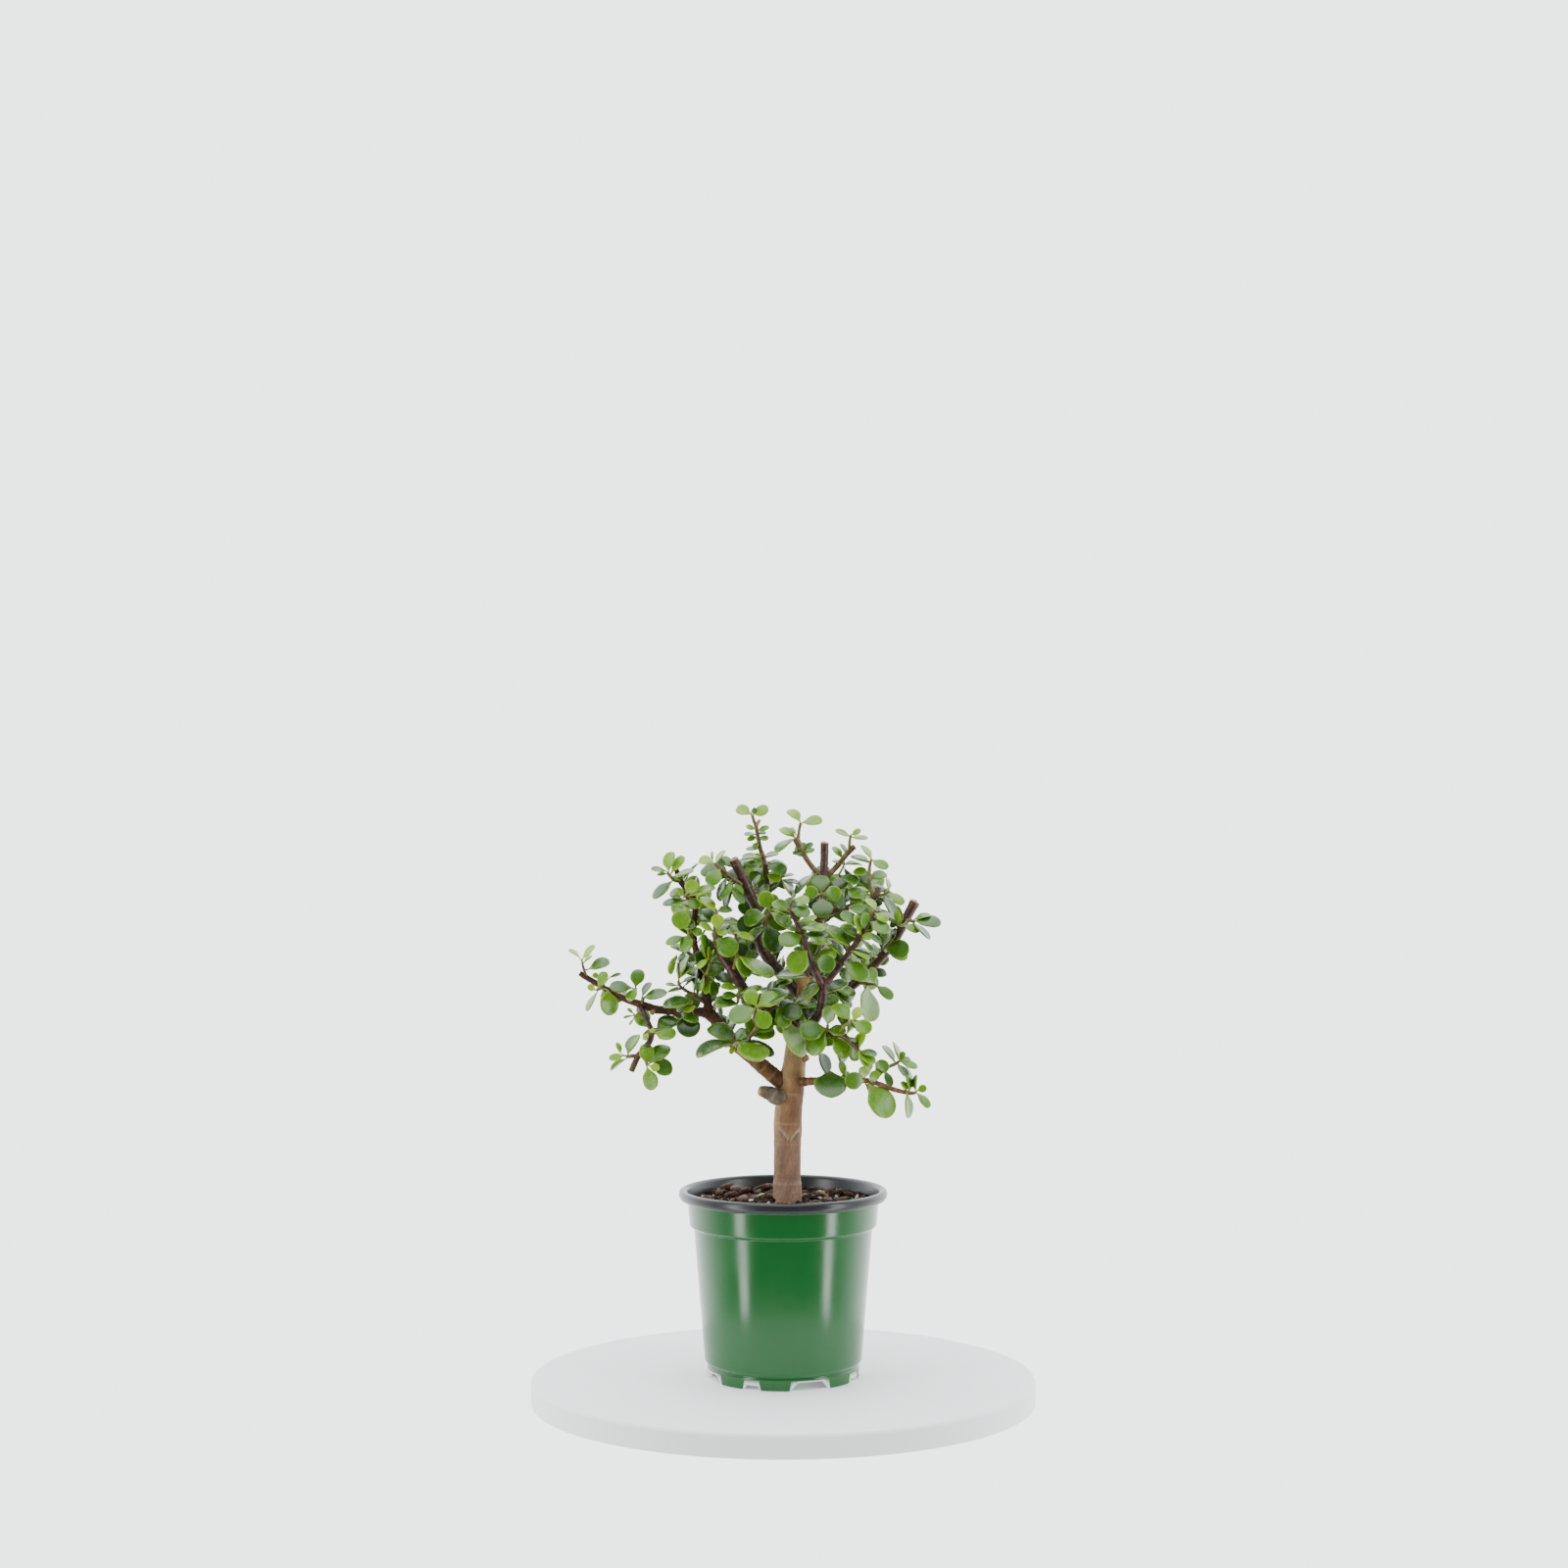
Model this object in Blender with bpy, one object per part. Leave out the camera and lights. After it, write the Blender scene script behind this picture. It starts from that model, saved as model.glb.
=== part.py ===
"""Small-leaved jade (elephant bush) trained as a little tree, in a round
thermoformed nursery pot.

Origin: below the middle of the whole plant's box, on the surface the pot
stands on.  +Z is up, -Y is the front and +X is the right-hand side.  Blender
units are metres; the design numbers below are millimetres, measured from the
pot's own axis.
"""
import math
import random

import bmesh
import bpy
from mathutils import Vector
from mathutils.bvhtree import BVHTree

MM = 0.001
MIDDLE_X = -15.35      # middle of the whole box, from the pot's axis
MIDDLE_Y = 7.72

# ------------------------------------------------------------------ the pot
POT_SIDES = 36
POT_HEIGHT = 96.7
RIM_R = 54.0           # rolled lip, widest
BAND_TOP_R = 49.4      # plain band under the lip
BAND_LOW_R = 48.4
BAND_LOW_Z = 78.0
STEP_R = 46.2          # the body starts this much further in
STEP_Z = 76.8
BODY_LOW_R = 40.6
BODY_LOW_Z = 7.6
GROOVE_Z = 6.5
FOOT_R = 39.3
FOOT_WIDE = 2.5        # flat ring that it stands on
FLOOR_Z = 5.0          # underside of the raised floor
WALL = 1.0
NOTCH_WIDE_AT = 21.0   # degrees from the front towards +X, then every 90
NOTCH_WIDE = (32.0, 21.0, 4.3)      # degrees at the bottom, at the top, mm up
NOTCH_SMALL_AT = -24.0
NOTCH_SMALL = (14.0, 10.0, 2.4)
DRAIN_R = 4.0
DRAIN_AT = 30.5

# ----------------------------------------------------------------- the soil
SOIL_Z = 89.6
SOIL_LUMP = 1.3
SOIL_GAP = 0.3
POCKET_R = 8.0         # the hole the trunk comes out of
POCKET_Z = 60.0

# ---------------------------------------------------------------- the plant
# All plant tables are in millimetres and are drawn as a front elevation in
# one-point perspective: the eye is EYE_D in front of the trunk axis and EYE_H
# above the table.  x is to the right and z is up on the plane through the
# trunk axis; y is depth, negative towards the front.
EYE_D = 1426.0
EYE_H = 305.8
DEPTH = 1.5            # the crown's depth against the depths in the tables
GAP = 0.35             # clear space kept between separate pieces

# stem name: (piece it belongs to, stem it grows from, bark kind, points)
# each point is (x, z, y, radius)
STEMS = {
    "trunk": ("trunk", None, "bark", [
        (2.1, 62, 0, 6.8), (2.1, 80, 0, 7.3), (2.1, 92, 0, 7.4),
        (2.1, 98.6, 0, 7.4), (2.1, 101.5, 0, 7.0), (2.2, 112, 0, 6.9),
        (2.3, 121.5, 0, 7.0), (2.4, 125, 0, 7.3), (2.5, 133, 0, 7.2),
        (3.3, 145, 0, 7.1), (4.6, 153, 0, 6.6), (5.6, 160, 0, 6.0),
        (6.5, 168, .5, 5.9), (8.3, 178, 1, 5.2), (10.2, 188, 1.5, 4.6),
        (11.3, 197, 2, 4.4), (11.3, 206, 2, 3.9)]),
    "dead_stub": ("trunk", "trunk", "dead", [
        (1.5, 145, -2, 3.2), (-3.8, 144.0, -4, 4.3), (-6.5, 145.6, -4.5, 3.9),
        (-9.8, 146.6, -5, 3.2), (-12.3, 147.1, -5, 2.5)]),
    "knob": ("trunk", "trunk", "bark", [
        (9, 163.6, -1, 2.4), (12.9, 164.2, -1.5, 1.7)]),

    "branch_left": ("branch_left", "trunk", "old", [
        (1, 150, 0, 4.4), (-4, 154, -1, 4.2), (-10.5, 159.5, -2, 4.0),
        (-17, 165, -3, 3.6), (-24, 170.5, -3.5, 3.3), (-29, 176.5, -3.5, 3.2),
        (-33.5, 182, -3.5, 3.0), (-38, 186.5, -3.5, 3.2),
        (-42, 187.8, -3.5, 2.6), (-48, 187.8, -3.5, 2.0),
        (-55, 188, -3.5, 1.8), (-62, 188.8, -3.5, 2.2),
        (-66, 189.2, -3.5, 2.2), (-72, 191.2, -3.5, 2.0),
        (-79, 193.5, -3, 1.8), (-86, 196.3, -3, 1.6), (-92, 199.8, -2.5, 1.5),
        (-97, 202.8, -2, 1.5), (-101, 205.2, -2, 1.5),
        (-105.3, 207.9, -2, 1.4)]),
    "scar_left": ("branch_left", "branch_left", "cut", [
        (-66.2, 189, -3.5, 1.6), (-68.2, 187.2, -5, 1.3)]),
    "branch_left_up": ("branch_left_up", "branch_left", "old", [
        (-39, 187, -3.5, 2.6), (-39, 192, -4, 2.3), (-39.8, 196, -4.5, 2.1),
        (-41, 200, -4, 1.6), (-42.3, 208, -4, 1.6), (-44.3, 216, -4, 1.7),
        (-46.2, 225, -4, 1.7), (-46.2, 233, -4, 1.6), (-45.5, 240, -4, 1.6),
        (-46.5, 247, -4, 1.5), (-50.5, 252, -3, 1.5), (-53.5, 256, -3, 1.6),
        (-55.4, 261.8, -3, 1.3)]),
    "branch_left_mid": ("branch_left_mid", "trunk", "maroon", [
        (7, 182, -1, 3), (0, 186, -4, 2.9), (-8, 190.5, -6, 2.8),
        (-15, 195, -8, 2.8), (-19.5, 198.5, -9, 2.8), (-24.5, 206, -9, 2.7),
        (-29, 213, -9, 2.4), (-33.5, 219, -8, 1.8)]),
    "branch_topleft": ("branch_topleft", "trunk", "dark", [
        (9, 196, 3, 3.2), (3, 203, 6, 3.2), (-4, 210.5, 8, 3.1),
        (-9, 217.5, 8, 3.1), (-12.5, 224.5, 6, 3.0), (-14, 233, 2, 2.8),
        (-14, 241, -3, 2.7), (-17, 248, -5, 2.7), (-20.5, 256, -6, 2.7),
        (-23.3, 262, -6.5, 2.6), (-25.8, 267, -7, 2.5)]),
    "leader": ("leader", "trunk", "dark", [
        (11.5, 203, 3, 3.4), (14.5, 211, 6, 3.1), (17, 220, 8, 2.9),
        (18, 230, 8, 2.8), (19, 241, 5, 2.8), (20.3, 251, 2, 2.8),
        (20.7, 257, 1, 3.2), (21, 262, 1, 2.2), (21.3, 268, 1, 2.2),
        (21.4, 275.5, 1, 2.3)]),
    "branch_front": ("branch_front", "trunk", "maroon", [
        (9, 176, -4, 2.8), (15, 182, -9, 2.5), (19, 188, -12, 2.3),
        (20.3, 195, -14, 2.2), (20.8, 201, -15, 2.3), (21.5, 206, -15, 1.2)]),
    "branch_right": ("branch_right", "trunk", "maroon", [
        (11, 187, 3, 3), (18, 192.5, 5, 2.8), (26, 197, 6, 2.6),
        (33, 199.8, 6, 2.6), (38.5, 203.5, 4, 2.5), (44.5, 209.3, 2, 2.4),
        (50.5, 215.8, 0, 2.3), (56, 222.5, -2, 2.2), (60, 228.8, -3, 2.2),
        (63, 235, -3, 2.3), (65.8, 240.3, -3, 2.5), (68.3, 245, -3, 2.8)]),

    "branch_left_down": ("branch_left_down", "branch_left", "maroon", [
        (-74, 190.5, -4, 1.5), (-71.5, 185, -7, 1.4), (-68.5, 179, -8, 1.4),
        (-68.5, 174, -8, 1.5), (-71.5, 169, -8, 1.6), (-75, 165, -8, 1.6),
        (-78.6, 157.2, -8, 1.5)]),
    "left_down_side": ("branch_left_down", "branch_left_down", "olive", [
        (-75.2, 165.3, -8, 1.2), (-81, 164.7, -9, .9)]),
    "left_down_low": ("branch_left_down", "branch_left_down", "green", [
        (-72.5, 168.5, -8.5, .9), (-70.6, 160.3, -11, .7)]),
    "left_down_sprig": ("branch_left_down", "branch_left_down", "green", [
        (-71, 184, -7, .7), (-77.3, 186.3, -9, .5)]),

    "branch_low_right": ("branch_low_right", "trunk", "old", [
        (9, 151.5, -3, 2.3), (15, 152, -9, 2.1), (24, 152, -14, 1.9),
        (34, 152.3, -18, 1.7), (44, 152.2, -20, 1.4), (51, 150, -20, 1.3),
        (58, 147.5, -19, 1.2), (66, 145.8, -18, 1.0), (69, 146.3, -18, .7)]),
    "low_right_up": ("branch_low_right", "branch_low_right", "green", [
        (46, 152, -20, 1.0), (53.5, 158.7, -17, .9), (58, 161, -16, .9),
        (60.3, 162.5, -16, .6)]),
    "branch_front_low": ("branch_front_low", "trunk", "maroon", [
        (8, 169, -4, 2.2), (14, 173, -11, 2.0), (20, 176, -15, 1.9),
        (27, 176.8, -18, 1.7), (32, 175, -20, 1.4), (37, 170.5, -22, 1.2),
        (39, 167, -23, 1)]),
    "front_low_up": ("branch_front_low", "branch_front_low", "green", [
        (29, 177, -18.5, 1.1), (32, 181, -22, .9), (35.5, 183, -24, .8)]),
    "front_low_up2": ("branch_front_low", "branch_front_low", "green", [
        (22.5, 176.5, -16.5, 1.0), (23, 181, -20, .8)]),
    "branch_upper_right": ("branch_upper_right", "leader", "maroon", [
        (18.5, 236, 6, 1.8), (26, 240, 4, 1.6), (35, 242.5, 2, 1.5),
        (42, 244.5, 0, 1.5), (47, 246.7, -1, 1.5), (49.6, 252.3, -1, 1.4)]),
    "upper_right_up": ("branch_upper_right", "branch_upper_right", "green", [
        (46.3, 247, -1, 1.1), (44.7, 255, -1, 1.0), (44.6, 262, -1, .9),
        (45.6, 267, -1, .7)]),
    "upper_right_side": ("branch_upper_right", "branch_upper_right", "green", [
        (47.5, 247.4, -1, .8), (52.5, 249, -1, .6), (55.3, 250.6, -1, .5)]),

    "shoot_left_tip": ("shoot_left_tip", "branch_left", "green", [
        (-101.5, 205.5, -2, .8), (-103.2, 210, -3, .7),
        (-104.2, 214.5, -3.5, .5)]),
    "shoot_left_a": ("shoot_left_a", "branch_left", "green", [
        (-93.5, 200.6, -2.5, .9), (-95, 200, -5, .9),
        (-96.3, 199.3, -6.5, .8)]),
    "shoot_left_b": ("shoot_left_b", "branch_left", "green", [
        (-78, 193.4, -3, 1.0), (-77, 197, -5, .9), (-76.2, 199.8, -6.5, .8)]),
    "shoot_left_c": ("shoot_left_c", "branch_left", "green", [
        (-73, 191.5, -3.5, 1.0), (-72.6, 195, -6, .9)]),
    "shoot_left_spur": ("shoot_left_spur", "branch_left", "olive", [
        (-47, 187.8, -3.5, 1.3), (-47.6, 189, -7, 1.1),
        (-48, 191, -9, .8)]),
    "shoot_lu_twig": ("shoot_lu_twig", "branch_left_up", "olive", [
        (-40, 192.5, -4, 1.2), (-46, 196.3, -6, .95),
        (-52.8, 200.6, -7, .8), (-54.3, 204, -7, .7)]),
    "shoot_lu_low": ("shoot_lu_low", "branch_left_up", "green", [
        (-41.6, 202.5, -4, 1.1), (-40, 206, -8, .9), (-38.5, 211, -9.5, .8),
        (-38.2, 216, -9.5, .6)]),
    "shoot_lu_mid": ("shoot_lu_mid", "branch_left_up", "green", [
        (-46, 224, -4, 1.0), (-48, 227, -8.5, .9), (-49.5, 233, -9.5, .8),
        (-49.5, 240, -9.5, .6)]),
    "shoot_lu_high": ("shoot_lu_high", "branch_left_up", "green", [
        (-46.6, 246, -4, 1.0), (-49.2, 246.5, -7, .9), (-51, 248, -8.5, .7)]),
    "shoot_lu_top": ("shoot_lu_top", "branch_left_up", "green", [
        (-53.3, 255.6, -3, 1.2), (-56.5, 256.2, -5.5, 1.0),
        (-60, 260, -6.5, .8)]),
    "shoot_lm_top": ("shoot_lm_top", "branch_left_mid", "olive", [
        (-33.5, 219, -8, 1.5), (-35.3, 225, -11, 1.2),
        (-35.3, 233, -11.5, 1.0), (-35.2, 239.5, -12, .9)]),
    "shoot_lm_spur": ("shoot_lm_spur", "branch_left_mid", "green", [
        (-21.5, 201, -9, 1.1), (-22.8, 198, -13, .9),
        (-23.5, 192.5, -14.5, .7)]),
    "shoot_lm_twig": ("shoot_lm_twig", "branch_left_mid", "olive", [
        (-26, 208.5, -9, 1.1), (-24.3, 216, -13, .9), (-24.5, 223, -13, .8),
        (-25, 229, -12.5, .6)]),
    "shoot_tl_side": ("shoot_tl_side", "branch_topleft", "olive", [
        (-20.5, 253, -6, 1.4), (-27, 257.5, -9, 1.2),
        (-31.5, 261.3, -10, 1.1), (-35.5, 264.6, -10.5, .9)]),
    "shoot_c4": ("shoot_c4", "branch_topleft", "olive", [
        (-13.6, 232, 1, 1.3), (-9.5, 233.5, -7, 1), (-7, 240, -13, .8)]),
    "shoot_top": ("shoot_top", "branch_topleft", "olive", [
        (-14, 238, -1, 1.6), (-8.5, 246, 2, 1.5), (-8.3, 253, 2, 1.5),
        (-9, 260, 1, 1.5), (-10, 267, 0, 1.3), (-11.8, 272, 0, 1.2),
        (-13, 278, 0, 1.1), (-14, 283.5, 0, 1.0), (-15.3, 287, 0, .9),
        (-16.2, 290, 0, .7)]),
    "top_stub": ("shoot_top", "shoot_top", "cut", [
        (-13.8, 284, 0, 1.0), (-12.3, 287.3, 0, .9)]),
    "top_side": ("shoot_top", "shoot_top", "green", [
        (-8.3, 251.5, 2, 1.0), (-4, 254.5, 1, .9), (-1, 256.6, 0, .8)]),
    "shoot_arm_left": ("shoot_arm_left", "leader", "olive", [
        (20.4, 256.5, 1, 1.6), (14.5, 263.5, -1, 1.4), (10.5, 269.5, -2, 1.4),
        (8.3, 274, -2, 1.8), (6.4, 278, -2, 1.9)]),
    "arm_left_twig": ("shoot_arm_left", "shoot_arm_left", "green", [
        (7.6, 276.3, -2, 1.0), (8.2, 281.7, -2, .8), (9, 285.6, -2, .8)]),
    "shoot_arm_right": ("shoot_arm_right", "leader", "olive", [
        (21.2, 256.5, 1.5, 1.7), (28, 263.5, 3, 1.5), (32, 268.5, 3, 1.4),
        (35.5, 272.3, 3, 1.5), (37, 273.5, 3, 1.4)]),
    "arm_right_twig": ("shoot_arm_right", "shoot_arm_right", "green", [
        (34, 270.8, 3, .8), (34.4, 276, 2, .8), (35, 279.5, 2, .7)]),
    "arm_right_down": ("shoot_arm_right", "shoot_arm_right", "green", [
        (31, 267, 3.5, .6), (31.2, 263.5, 1.5, .6), (28.5, 258.3, 1, .6)]),
    "shoot_front_a": ("shoot_front_a", "branch_front", "maroon", [
        (20.7, 201, -15, 1.9), (17, 208, -17, 1.7), (14.3, 214.5, -18, 1.6),
        (12.2, 221, -19, 1.5), (10, 228, -19.5, 1.4), (7, 234, -20, 1.2),
        (3.3, 241, -20.5, 1.0), (4.8, 246, -19, .6)]),
    "front_a_side": ("shoot_front_a", "shoot_front_a", "maroon", [
        (14, 215, -18, .9), (13, 210, -20, .7), (13, 206, -20.5, .6)]),
    "shoot_front_b": ("shoot_front_b", "branch_front", "maroon", [
        (21, 201, -15, 1.9), (26, 207.5, -15, 1.7), (30.5, 213.5, -15, 1.6),
        (35, 220, -14.5, 1.5), (40, 226.5, -14, 1.4), (43, 232, -13.5, 1.3),
        (46.3, 237.8, -13, 1.0), (48, 240.5, -13, .7)]),
    "shoot_c5": ("shoot_c5", "leader", "olive", [
        (19, 240, 4, 1.2), (19.5, 244, -4, 1), (19.8, 248.7, -9, .8)]),
    "shoot_right_end": ("shoot_right_end", "branch_right", "green", [
        (63.2, 235, -3, 1.1), (65.5, 235.2, -7.5, .9), (68, 234.5, -9, .8)]),
    "right_end_low": ("shoot_right_end", "shoot_right_end", "green", [
        (65, 235.2, -7, .8), (61.5, 232.5, -9.5, .7), (58.5, 234, -10, .6)]),
    "shoot_right_mid": ("shoot_right_mid", "branch_right", "green", [
        (53.3, 219.2, -1, 1.1), (52.6, 220.8, -6, .9), (56.3, 225, -8, .7)]),
    "shoot_right_twig": ("shoot_right_twig", "branch_right", "green", [
        (38, 203, 4, 1.1), (44, 202.3, 0, .9), (48.3, 201.9, -1, .6)]),
    "shoot_right_inner": ("shoot_right_inner", "branch_right", "green", [
        (27, 197.4, 6, 1.1), (26.5, 199, 1, .9), (25.5, 201, -1, .7)]),
    "shoot_center": ("shoot_center", "branch_left", "olive", [
        (-19.5, 167, -3.2, 1.3), (-17.7, 174, -14, 1.0),
        (-13.9, 180.3, -18, .9), (-15.3, 184, -20, .8),
        (-13.8, 190, -23, .7)]),
    "shoot_low_left": ("shoot_low_left", "branch_left", "olive", [
        (-24, 170.5, -3.5, 1.2), (-25, 171, -12, 1.0),
        (-23.8, 172.8, -16, .8)]),
    "shoot_c2": ("shoot_c2", "trunk", "olive", [
        (6.8, 171, .5, 1.3), (2.5, 181, -13, 1.1), (-3, 189, -17, .9)]),
    "shoot_c3": ("shoot_c3", "trunk", "olive", [
        (10.9, 195, 2, 1.2), (8, 193, -8, 1.0), (6, 191.5, -14, .7)]),
    "shoot_c6": ("shoot_c6", "branch_topleft", "olive", [
        (1, 205, 7, 1.2), (-2, 202.3, 0, .8), (-3.5, 201.5, -3, .7)]),
}

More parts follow.
